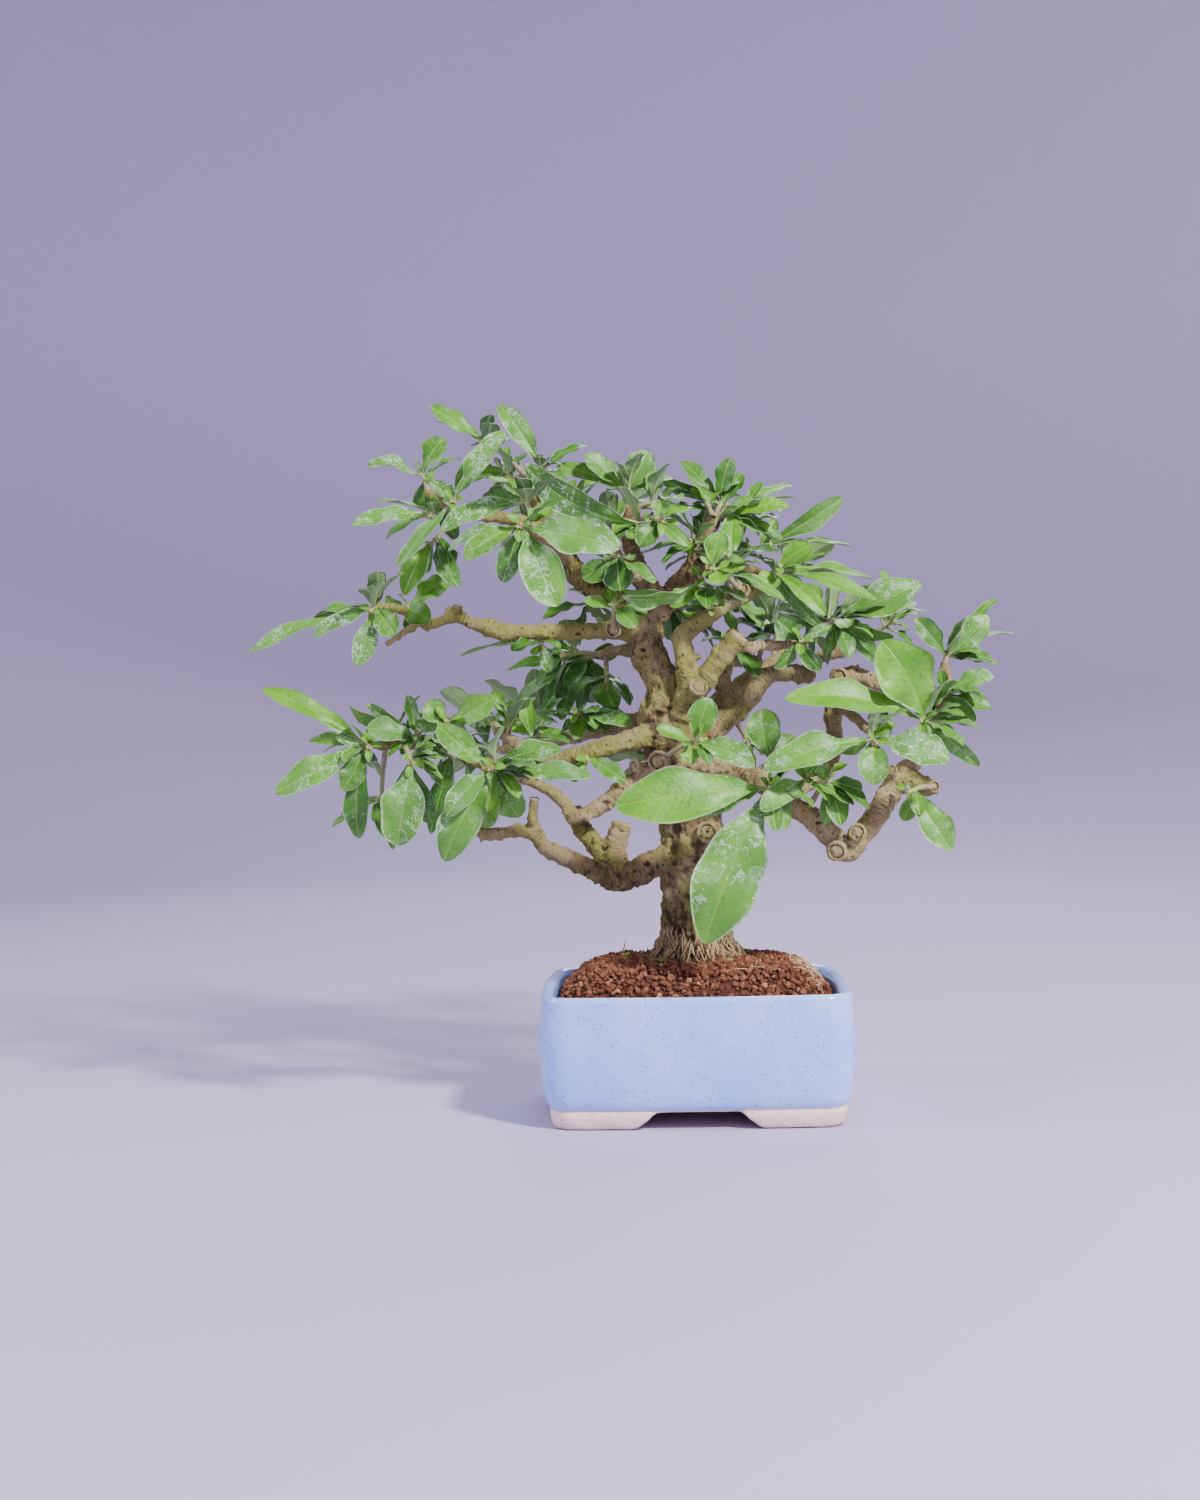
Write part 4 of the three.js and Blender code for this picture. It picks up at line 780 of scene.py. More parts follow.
def speckle_group() -> Tree:
    """The group that scatters small round specks: Vector and Scale in, Mask out.

    Returns:
        The group.
    """
    tree = bpy.data.node_groups.new("Specks", "ShaderNodeTree")
    group_socket(tree, "Vector", "Vector", True)
    for name, value in (("Scale", 500.0), ("Size", 0.12), ("Share", 0.3)):
        group_socket(tree, name, "Float", True, value)
    group_socket(tree, "Mask", "Float", False)
    nodes = Nodes(tree)
    inside, outside = nodes.add("NodeGroupInput"), nodes.add("NodeGroupOutput")
    cells = nodes.add("TexVoronoi", feature="F1")
    nodes.fill(cells, Vector=inside.outputs["Vector"], Scale=inside.outputs["Scale"])
    near = nodes.math("LESS_THAN", cells.outputs["Distance"], inside.outputs["Size"])
    split = nodes.add("SeparateColor")
    nodes.put(split.inputs[0], cells.outputs["Color"])
    chosen = nodes.math("LESS_THAN", split.outputs[0], inside.outputs["Share"])
    nodes.put(outside.inputs["Mask"], nodes.times(near, chosen))
    return tree


def drift_group() -> Tree:
    """The group that lays a slow and a fine drift of colour over a base: Colour out, Height out.

    Returns:
        The group.
    """
    tree = bpy.data.node_groups.new("ColourDrift", "ShaderNodeTree")
    group_socket(tree, "Vector", "Vector", True)
    for name in ("Base", "Slow", "Fine"):
        group_socket(tree, name, "Color", True)
    group_socket(tree, "Slow Scale", "Float", True, 60.0)
    group_socket(tree, "Fine Scale", "Float", True, 600.0)
    group_socket(tree, "Colour", "Color", False)
    group_socket(tree, "Height", "Float", False)
    nodes = Nodes(tree)
    inside, outside = nodes.add("NodeGroupInput"), nodes.add("NodeGroupOutput")
    slow, fine = nodes.add("TexNoise"), nodes.add("TexNoise")
    for texture, name in ((slow, "Slow Scale"), (fine, "Fine Scale")):
        nodes.fill(texture, Vector=inside.outputs["Vector"], Scale=inside.outputs[name], Detail=5.0)
    broad, small = nodes.ramp(slow.outputs["Fac"], 0.38, 0.66), nodes.ramp(fine.outputs["Fac"], 0.5, 0.78)
    first = nodes.mixed(broad, inside.outputs["Base"], inside.outputs["Slow"])
    second = nodes.mixed(small, first, inside.outputs["Fine"])
    nodes.put(outside.inputs["Colour"], second)
    nodes.put(outside.inputs["Height"], fine.outputs["Fac"])
    return tree


SPECKS = speckle_group()
DRIFT = drift_group()


@dataclass(frozen=True)
class Finish:
    """A surface's plain values; each finish below adds what it has of its own."""

    name: str
    roughness: float = 0.6
    specular: float = 0.5
    coat: float = 0.0

    def material(self) -> Material:
        """A new material whose Principled shader is dressed by the finish.

        Returns:
            The material.
        """
        material = bpy.data.materials.new(self.name)
        material.use_nodes = True
        nodes = Nodes(material.node_tree)
        sockets = nodes.shader()
        sockets["Roughness"].default_value = self.roughness
        sockets["Specular IOR Level"].default_value = self.specular
        sockets["Coat Weight"].default_value = self.coat
        self.dress(nodes)
        return material

    def dress(self, nodes: Nodes) -> None:
        """Joins the finish's own nodes to the shader."""

    def drift(self, nodes: Nodes, base: Tone, slow: Tone, fine: Tone, slow_scale: float,
              fine_scale: float) -> Node:
        """Places the colour drift group with this finish's colours.

        Args:
            nodes: the material's nodes.
            base: the main colour.
            slow: the colour of the broad patches.
            fine: the colour of the fine ones.
            slow_scale: the broad patches' scale in cycles per metre.
            fine_scale: the fine ones' scale.

        Returns:
            The group node.
        """
        return nodes.fill(nodes.add("Group", node_tree=DRIFT), Vector=nodes.place(), Base=base, Slow=slow,
                          Fine=fine, Slow_Scale=slow_scale, Fine_Scale=fine_scale)

    def drifted(self, nodes: Nodes, tones: tuple[Tone, ...], slow_scale: float, fine_scale: float,
                strength: float, distance: float) -> None:
        """Dresses the whole shader in the drift: its colour, and its height as a faint grain.

        Args:
            nodes: the material's nodes.
            tones: the main colour, the broad patches' and the fine ones'.
            slow_scale: the broad patches' scale in cycles per metre.
            fine_scale: the fine ones' scale.
            strength: how strong the grain is.
            distance: how high it is, in metres.
        """
        drift = self.drift(nodes, *tones, slow_scale, fine_scale)
        nodes.paint(drift.outputs["Colour"])
        nodes.relief(drift.outputs["Height"], strength, distance)

    def specks(self, nodes: Nodes, scale: float, size: float, share: float) -> Socket:
        """Places the speck group and gives its mask.

        Args:
            nodes: the material's nodes.
            scale: specks in a metre.
            size: a speck's size in its cell.
            share: the share of cells that have one.

        Returns:
            The mask, 1 on a speck.
        """
        group = nodes.add("Group", node_tree=SPECKS)
        nodes.fill(group, Vector=nodes.place(), Scale=scale, Size=size, Share=share)
        return group.outputs["Mask"]


# Pot


@dataclass(frozen=True)
class BlueGlaze(Finish):
    """Light blue glaze, thin and buff along the rim's lip and over the lowest edge."""

    name: str = "blue_glaze"
    roughness: float = 0.22
    specular: float = 0.55
    coat: float = 0.35

    def dress(self, nodes: Nodes) -> None:
        """The glaze, worn thin by the attribute glaze: x is how thin it lies there.

        Args:
            nodes: the material's nodes.
        """
        drift = self.drift(nodes, (0.30, 0.46, 1.0), (0.39, 0.54, 1.0), (0.20, 0.33, 0.92),
                           45.0, 700.0)
        thin, _, _ = nodes.parts("glaze")
        ragged = nodes.plus(thin, nodes.times(nodes.noise(160.0), 0.7))
        under = nodes.add("SeparateXYZ")
        nodes.put(under.inputs[0], nodes.place())
        bare = nodes.ramp(under.outputs[2], 0.0082, 0.0090, 1.0, 0.0)
        worn = nodes.larger(bare, nodes.ramp(nodes.minus(ragged, 0.35), 0.25, 0.62))
        glazed = nodes.mixed(worn, drift.outputs["Colour"], (0.62, 0.47, 0.38))
        dark = nodes.mixed(self.specks(nodes, 430.0, 0.15, 0.26), glazed, (0.10, 0.15, 0.40))
        pale = nodes.mixed(self.specks(nodes, 260.0, 0.08, 0.10), dark, (0.70, 0.72, 0.90))
        nodes.paint(pale)
        nodes.put(nodes.shader()["Roughness"], nodes.ramp(drift.outputs["Height"], 0.3, 0.8, 0.16, 0.30))
        height = nodes.noise(110.0, 2.0)
        nodes.relief(height, 0.12, 0.0012)


@dataclass(frozen=True)
class BareClay(Finish):
    """Unglazed, pinkish cream fired clay with small chips and brown grains."""

    name: str = "bare_clay"
    roughness: float = 0.85
    specular: float = 0.25

    def dress(self, nodes: Nodes) -> None:
        """The clay.

        Args:
            nodes: the material's nodes.
        """
        drift = self.drift(nodes, (0.78, 0.60, 0.52), (0.86, 0.70, 0.62), (0.60, 0.40, 0.33),
                           90.0, 900.0)
        specks = self.specks(nodes, 420.0, 0.16, 0.16)
        nodes.paint(nodes.mixed(specks, drift.outputs["Colour"], (0.26, 0.17, 0.14)))
        nodes.relief(nodes.noise(900.0, 6.0), 0.35, 0.0006)


@dataclass
class Pot:
    """The fired pot: glazed body with two drain holes, and bare feet that wrap its corners."""

    width: float = 130.0
    depth: float = 106.0
    corner: float = 13.0
    belly: float = 1.6
    glaze_bottom: float = 7.5
    drain_spacing: float = 58.0
    drain_diameter: float = 14.0
    arc_steps: int = 14
    side_steps: int = 16
    profile: tuple[tuple[float, float], ...] = (
        (12.0, 7.3), (6.4, 7.3), (5.0, 7.5), (3.7, 8.2), (2.4, 9.6), (1.3, 12.0), (0.5, 16.0), (-0.3, 22.0),
        (-0.7, 30.0), (-0.7, 38.0), (-0.3, 45.5), (0.2, 50.5), (0.2, 52.4), (0.35, 53.8), (1.0, 54.7),
        (2.1, 55.05), (3.4, 55.0), (4.6, 54.6), (5.5, 53.7), (6.0, 52.3), (6.6, 47.0), (7.6, 34.0),
        (8.5, 20.0), (9.2, 15.5), (11.0, 13.9), (14.0, 13.5))
    foot_profile: tuple[tuple[float, float], ...] = (
        (7.0, 0.0), (5.0, 0.5), (4.2, 1.8), (3.5, 4.0), (3.1, 6.2), (3.3, 7.6), (4.8, 9.2))
    foot_breadth: float = 13.0
    foot_cell: float = 1.0
    front_gap: float = 36.0
    side_gap: float = 28.0
    splay: float = 9.0

    def ring(self, inset: float, height: float) -> Array:
        """The pot's rounded outline, with its sides bowed out, at an inset and a height.

        Args:
            inset: how far inside the pot's widest outline it runs.
            height: its height.

        Returns:
            A ring of points.
        """
        half_width = self.width / 2 - inset
        half_depth = self.depth / 2 - inset
        corner = max(self.corner - inset, 4.0)
        rows = []
        for quarter in range(4):
            sign_x = 1 if quarter in (0, 3) else -1
            sign_y = 1 if quarter < 2 else -1
            centre = np.array([sign_x * (half_width - corner), sign_y * (half_depth - corner)])
            for step in range(self.arc_steps + 1):
                angle = pi / 2 * (quarter + step / self.arc_steps)
                rows.append(centre + corner * np.array([cos(angle), sin(angle)]))
            along_x = quarter % 2 == 0
            start = rows[-1]
            end = start * np.array([-1, 1]) if along_x else start * np.array([1, -1])
            outward = np.array([0, sign_y]) if along_x else np.array([sign_x, 0])
            for step in range(1, self.side_steps):
                share = step / self.side_steps
                rows.append(start + (end - start) * share + outward * self.belly * sin(pi * share))
        flat = np.array(rows)
        return np.column_stack([flat, np.full(len(flat), height)])

    def body_mesh(self) -> Piece:
        """The glazed body, uneven as a hand-finished one is, still without its drain holes.

        Returns:
            The body, still without its holes.
        """
        profile = smooth_line(np.array([(inset, height, 0.0) for inset, height in self.profile]), 1.6)
        rings = np.array([self.ring(inset, height) for inset, height, _ in profile])
        points, faces = lofted(rings)
        swell = noise_at(points, 0.018)
        points = points * (1 + 0.0022 * swell[:, None] * np.array([1.0, 1.0, 0.0]))
        thin = np.zeros((len(points), 3))
        lip = np.exp(-((points[:, 2] - 54.5) / 1.0) ** 2)
        foot_edge = np.clip((11.2 - points[:, 2]) / 2.4, 0.0, 1.0)
        thin[:, 0] = np.maximum(0.85 * lip, foot_edge)
        shape = Shape()
        shape.add(points, faces, glaze=thin)
        return shape.build("pot_body", [BlueGlaze().material()])

    def cutter(self, points: Array, faces: Faces) -> Piece:
        """A plain solid that is only there to cut with.

        Args:
            points: its points.
            faces: its faces.

        Returns:
            The solid.
        """
        shape = Shape()
        shape.add(points, faces)
        return shape.build("cutter", [], smooth=False)

    def cut(self, piece: Piece, cutters: list[Piece]) -> None:
        """Cuts solids out of a piece and deletes them.

        Args:
            piece: the piece.
            cutters: the solids.
        """
        for cutter in cutters:
            modifier = piece.modifiers.new("cut", "BOOLEAN")
            modifier.operation = "DIFFERENCE"
            modifier.solver = "EXACT"
            modifier.object = cutter
        keep_modifiers(piece)
        for cutter in cutters:
            bpy.data.objects.remove(cutter)

    def drain_cutter(self, side: int) -> Piece:
        """The round drain hole on one side.

        Args:
            side: -1 for the left hole and 1 for the right one.

        Returns:
            The solid to cut with.
        """
        middle = np.array([side * self.drain_spacing / 2, 0.0, 0.0])
        line = np.array([middle + (0, 0, -1.0), middle + (0, 0, 20.0)])
        rings = tube_rings(line, np.full(2, self.drain_diameter / 2), 32)
        return self.cutter(*lofted(rings))

    def gap_cutter(self, width: float, along_y: bool) -> Piece:
        """The gap between two feet, splayed at its foot and rounded where it meets the pot.

        Args:
            width: the gap's width where it meets the pot.
            along_y: whether it runs from front to back.

        Returns:
            The solid to cut with.
        """
        top = self.glaze_bottom
        half = width / 2
        left = np.array([(-half - self.splay, -1.0, 0.0), (-half - self.splay * 0.72, 1.6, 0.0),
                         (-half - self.splay * 0.32, top * 0.55, 0.0), (-half - 1.0, top * 0.85, 0.0),
                         (-half + 2.0, top, 0.0)])
        side = smooth_line(left, 1.0)[:, :2]
        outline = np.concatenate([side, side[::-1] * (-1, 1)])
        reach = self.width
        if along_y:
            rings = [[(x, y, z) for x, z in outline] for y in (-reach, reach)]
        else:
            rings = [[(x, y, z) for y, z in outline] for x in (reach, -reach)]
        return self.cutter(*lofted(np.array(rings)))

    def feet_mesh(self) -> Piece:
        """The four feet, cut from one foot rim, softened and slightly uneven.

        Returns:
            The feet as one piece.
        """
        profile = smooth_line(np.array([(inset, height, 0.0) for inset, height in self.foot_profile]), 1.0)
        outside = np.array([self.ring(inset, height) for inset, height, _ in profile])
        shape = Shape()
        shape.add(*lofted(outside))
        feet = shape.build("pot_feet", [BareClay().material()])
        inner = 3.0 + self.foot_breadth
        hollow = self.cutter(*lofted(np.array([self.ring(inner, z) for z in (-1.0, 20.0)])))
        self.cut(feet, [hollow, self.gap_cutter(self.front_gap, True), self.gap_cutter(self.side_gap, False)])
        even_out(feet, self.foot_cell)
        points, normals = mesh_points(feet.data), mesh_normals(feet.data)
        chips = noise_at(points, 0.16) * 0.22 + noise_at(points, 0.5) * 0.1
        moved = points + normals * chips[:, None]
        moved[:, 2] = np.maximum(moved[:, 2], 0.0)
        set_points(feet.data, moved)
        shade(feet.data)
        return feet

    def build(self) -> None:
        """Makes the pot's body and feet in place of the CAD pot."""
        body = self.body_mesh()
        self.cut(body, [self.drain_cutter(-1), self.drain_cutter(1)])
        finished(body, Slot.GLAZE, "pot")
        finished(self.feet_mesh(), Slot.GLAZE, "pot")


@dataclass(frozen=True)
class PlasticNet(Finish):
    """Moulded green-black plastic net."""

    name: str = "plastic_net"
    roughness: float = 0.55

    def dress(self, nodes: Nodes) -> None:
        """The net's plastic, a little dusty."""
        tones = ((0.02, 0.035, 0.022), (0.03, 0.05, 0.03), (0.12, 0.08, 0.05))
        self.drifted(nodes, tones, 120.0, 1200.0, 0.2, 0.0002)


def dress_drain_meshes() -> None:
    """Gives the two drain meshes on the pot's floor their plastic."""
    plastic = PlasticNet().material()
    for name in ("drain_mesh_left", "drain_mesh_right"):
        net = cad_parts[name]
        net.data.materials.clear()
        net.data.materials.append(plastic)
        LOG.info("%s: dressed", name)


# Soil


@dataclass(frozen=True)
class BakedClay(Finish):
    """Red-brown baked clay grains, each of its own shade."""

    name: str = "baked_clay"
    roughness: float = 0.92
    specular: float = 0.2

    def dress(self, nodes: Nodes) -> None:
        """The grains, by their look attribute: x is how light, y how yellow, z how much painted shade a grain
        takes for lying deep.

        Args:
            nodes: the material's nodes.
        """
        light, yellow, deep = nodes.parts("grain_look")
        red = self.drift(nodes, (0.105, 0.032, 0.017), (0.145, 0.048, 0.025), (0.045, 0.014, 0.009), 300.0,
                         1600.0)
        lit = nodes.mixed(light, red.outputs["Colour"], (0.30, 0.125, 0.07))
        warm = nodes.mixed(yellow, lit, (0.55, 0.32, 0.15))
        # z darkens the grains that lie deep: painted shade
        nodes.paint(nodes.mixed(deep, warm, (0.05, 0.02, 0.014)))
        nodes.relief(nodes.noise(2200.0, 6.0, 0.7), 0.6, 0.0005)


@dataclass(frozen=True)
class DryFibre(Finish):
    """Straw-coloured root fibres."""

    name: str = "dry_fibre"
    roughness: float = 0.7
    tone: float = 1.0

    def dress(self, nodes: Nodes) -> None:
        """The fibres.

        Args:
            nodes: the material's nodes.
        """
        tones = ((0.58, 0.40, 0.19), (0.70, 0.52, 0.28), (0.30, 0.17, 0.08))
        tones = tuple(tuple(self.tone * part for part in tone) for tone in tones)
        self.drifted(nodes, tones, 150.0, 1500.0, 0.3, 0.0003)


@dataclass(frozen=True)
class Moss(Finish):
    """Small bright moss leaves."""

    name: str = "moss"
    roughness: float = 0.75

    def dress(self, nodes: Nodes) -> None:
        """The moss."""
        tones = ((0.13, 0.26, 0.03), (0.22, 0.36, 0.06), (0.07, 0.15, 0.02))
        self.drifted(nodes, tones, 300.0, 2000.0, 0.3, 0.0003)


@dataclass
class ClayFilling:
    """The mounded filling of baked clay grains, with dry fibres, moss and a dead twig on it."""

    draw: Draws = field(default_factory=lambda: Draws(SEED + 11))
    half_width: float = 58.6
    half_depth: float = 46.6
    corner: float = 9.0
    edge_height: float = 51.5
    crown_height: float = 65.0
    middle: tuple[float, float] = (1.2, 2.0)
    base_radius: float = 17.0
    spacing: float = 1.95
    grain: tuple[float, float] = (0.7, 1.35)
    kept_share: tuple[float, float] = (0.62, 0.74)
    fibre_tries: int = 46
    crowded_tries: int = 30

    def ground(self, x: float, y: float) -> float:
        """The mound's height at one place."""
        return float(self.height(np.array([x]), np.array([y]))[0])

    def height(self, x: Array, y: Array) -> Array:
        """The mound's height at places, flat towards its foot at the pot's wall.

        Args:
            x: the places' x.
            y: their y.

        Returns:
            Their heights.
        """
        share_x = np.abs(x) / self.half_width
        share_y = np.abs(y) / self.half_depth
        edge = (share_x ** 4 + share_y ** 4) ** 0.25
        rise = np.clip(1 - edge, 0, 1)
        shoulder = np.sin(np.clip(rise / 0.3, 0, 1) * pi / 2)
        swell = 0.72 * shoulder + 0.28 * np.sin(np.clip(rise * 1.2, 0, 1) * pi / 2)
        mound = self.edge_height + (self.crown_height - self.edge_height) * swell
        places = zip(np.ravel(x), np.ravel(y))
        lumps = [noise.noise(Vector((across * 0.09, back * 0.09, 4.0))) for across, back in places]
        return mound + (0.8 * np.array(lumps)).reshape(np.shape(mound))

    def inside(self, x: float, y: float, margin: float) -> bool:
        """Whether a place is inside the filling's rounded outline.

        Args:
            x: the place's x.
            y: its y.
            margin: how far inside it has to be.

        Returns:
            Whether it is.
        """
        past_x = max(abs(x) - (self.half_width - self.corner), 0.0)
        past_y = max(abs(y) - (self.half_depth - self.corner), 0.0)
        return hypot(past_x, past_y) < self.corner - margin

    def bed(self) -> Piece:
        """The closed bed that the loose grains lie on.

        Returns:
            The bed.
        """
        around, rings = 120, 26
        angles = 2 * pi * np.arange(around) / around
        wide, deep = np.abs(np.cos(angles) / self.half_width), np.abs(np.sin(angles) / self.half_depth)
        square = (wide ** 7 + deep ** 7) ** (-1 / 7)
        loops = []
        for inset, drop in ((4.0, -33.0), (0.6, -4.0)):
            x, y = (square - inset) * np.cos(angles), (square - inset) * np.sin(angles)
            loops.append(np.stack([x, y, np.full(around, self.edge_height + drop)], axis=1))
        for ring in range(rings):
            share = 1 - ring / rings
            x, y = (square - 0.6) * share * np.cos(angles), (square - 0.6) * share * np.sin(angles)
            loops.append(np.stack([x, y, self.height(x, y) - 1.1], axis=1))
        shape = Shape()
        points, faces = lofted(np.array(loops))
        # the bed is painted dark, as the shade deep under the grains
        shape.add(points, faces, grain_look=np.tile([0.0, 0.0, 0.75], (len(points), 1)))
        return shape.build("soil_bed", [BakedClay().material()])

    def ball(self, fineness: int) -> tuple[Array, Faces]:
        """The points and faces of a ball that each grain is shaped from, 1 coarse and 2 fine.

        Args:
            fineness: how often its faces are split.

        Returns:
            The points and the faces.
        """
        mesh = bmesh.new()
        bmesh.ops.create_icosphere(mesh, subdivisions=fineness, radius=1.0)
        points = np.array([vertex.co[:] for vertex in mesh.verts])
        faces = [tuple(vertex.index for vertex in face.verts) for face in mesh.faces]
        mesh.free()
        return points, faces

    def add_grain(self, shape: Shape, ball: tuple[Array, Faces], spot: Array,
                  radius: float, deep: float) -> None:
        """Adds one crumbled grain.

        Args:
            shape: the shape of all the grains.
            ball: the ball's points and faces.
            spot: its middle.
            radius: its mean radius.
            deep: how much painted shade it takes for lying between its neighbours.
        """
        draw = self.draw
        points, faces = ball
        angle = 6.3 * draw()
        axis = Vector((draw() - 0.5, draw() - 0.5, draw() - 0.4)).normalized()
        turn = np.array(Matrix.Rotation(angle, 3, axis))
        lumps = np.array([noise.noise(Vector(point * 1.6 + spot * 0.9)) for point in points])
        stretch = np.array([draw.between(0.8, 1.25), draw.between(0.8, 1.2), draw.between(0.7, 1.0)])
        shaped = (points * stretch * (1 + 0.75 * lumps)[:, None]) @ turn.T
        yellow = draw.between(0.4, 0.8) if draw() > 0.965 else 0.1 * draw()
        look = np.tile([draw() ** 2.2 * 0.8, yellow, deep], (len(points), 1))
        shape.add(spot + shaped * radius, faces, grain_look=look)

    def grains(self, name: str, front: bool) -> Piece:
        """The loose grains of the front or the rear half, two deep where they show.

        Args:
            name: the piece's name.
            front: whether it is the front half.

        Returns:
            The grains.
        """
        balls = (self.ball(1), self.ball(2))
        shape = Shape()
        columns = int(2 * self.half_width / self.spacing)
        rows = int(2 * self.half_depth / self.spacing)
        for layer, drop in ((0, -1.1), (1, 0.0)):
            for row in range(rows + 1):
                for column in range(columns + 1):
                    x = -self.half_width + (column + 0.5 * layer + 0.8 * (self.draw() - 0.5)) * self.spacing
                    y = -self.half_depth + (row + 0.5 * layer + 0.8 * (self.draw() - 0.5)) * self.spacing
                    radius = self.draw.between(*self.grain)
                    lift, gap = self.draw() - 0.4, self.draw()
                    from_middle = hypot((x - self.middle[0]) / 1.08, y - self.middle[1])
                    if (y < 2.0) != front or from_middle < self.base_radius or not self.inside(x, y, 1.0):
                        continue
                    if gap > self.kept_share[layer]:
                        continue
                    z = self.ground(x, y) + drop + lift * 0.9
                    # the lower layer takes painted shade, the upper none
                    self.add_grain(shape, balls[layer], np.array([x, y, z]), radius, (0.5, 0.0)[layer])
        return shape.build(name, [BakedClay().material()], smooth=False)

    def litter(self) -> Piece:
        """Dry root fibres that arch out of the grains, thickest at the right edge, and a dead twig.

        Returns:
            The fibres.
        """
        shape = Shape()
        draw = self.draw
        for number in range(self.fibre_tries):
            crowded = number < self.crowded_tries
            x = draw.between(43.0, 56.0) if crowded else draw.between(-54.0, 54.0)
            y = draw.between(-30.0, 10.0) if crowded else draw.between(-43.0, 40.0)
            angle = 6.3 * draw()
            length = draw.between(4.0, 15.0)
            height = draw.between(0.3, 2.4)
            bow = draw.between(-2.5, 2.5)
            from_middle = hypot(x - self.middle[0], y - self.middle[1])
            if from_middle < self.base_radius + 3 or not self.inside(x, y, 2.0):
                continue
            rows = []
            for share in (0.0, 0.3, 0.65, 1.0):
                ahead = length * (share - 0.5)
                aside = bow * sin(pi * share)
                place_x = x + ahead * cos(angle) - aside * sin(angle)
                place_y = y + ahead * sin(angle) + aside * cos(angle)
                place_x = float(np.clip(place_x, -self.half_width + 2, self.half_width - 2))
                place_y = float(np.clip(place_y, -self.half_depth + 2, self.half_depth - 2))
                ground = self.ground(place_x, place_y)
                rows.append([place_x, place_y, ground + 0.6 + height * sin(pi * share)])
            line = smooth_line(np.array(rows), 1.2)
            radii = np.linspace(0.21, 0.09, len(line)) * draw.between(0.7, 1.3)
            shape.tube(line, radii, 5)
        return shape.build("dry_fibres", [DryFibre().material()])

    def dead_twig(self) -> Piece:
        """The thin dark twig that stands in the soil left of the trunk, and two lying ones.

        Returns:
            The twigs.
        """
        shape = Shape()
        ways = [
            [(-31.0, 6.0, -1.0), (-31.6, 6.0, 2.5), (-30.8, 5.6, 5.0), (-30.0, 5.2, 8.2)],
            [(-24.0, 0.0, 0.4), (-22.0, 0.0, 1.6), (-20.0, -0.4, 1.0), (-18.5, -1.0, 1.4)],
            [(22.0, -30.0, 0.4), (26.0, -31.0, 1.0), (30.0, -30.5, 0.5), (33.0, -32.0, 0.6)],
        ]
        for way in ways:
            rows = np.array(way)
            rows[:, 2] += self.height(rows[:, 0], rows[:, 1])
            line = smooth_line(rows, 0.9)
            shape.tube(line, np.linspace(0.5, 0.2, len(line)), 6)
        return shape.build("dead_twigs", [Bark("twig_bark").material()])

    def moss(self) -> Piece:
        """Tufts of moss by the trunk's foot and here and there between grains.

        Returns:
            The tufts.
        """
        shape = Shape()
        draw = self.draw
        tufts = [(-14.0, -18.0, 16), (-17.0, -15.0, 8), (16.0, -19.0, 5), (-30.0, 12.0, 8), (24.0, 20.0, 9)]
        for x, y, count in tufts:
            for _ in range(count):
                spot_x, spot_y = x + 3.2 * (draw() - 0.5), y + 2.6 * (draw() - 0.5)
                ground = self.ground(spot_x, spot_y) + 0.4
                for _ in range(5):
                    lean = np.array([draw() - 0.5, draw() - 0.5, 0.9])
                    foot = np.array([spot_x, spot_y, ground])
                    line = smooth_line(np.array([foot, foot + lean * 0.8, foot + lean * 1.7]), 0.6)
                    radii = 0.3 * np.sin(np.linspace(0.3, 1, len(line)) * pi) + 0.04
                    shape.tube(line, radii, 4)
        return shape.build("moss_tufts", [Moss().material()])

    def build(self) -> None:
        """Makes the filling in place of the CAD soil."""
        pieces = [self.bed(), self.grains("soil_grains_front", True), self.grains("soil_grains_rear", False)]
        for piece in [*pieces, self.litter(), self.dead_twig(), self.moss()]:
            finished(piece, Slot.SOIL, "soil")


# Wood


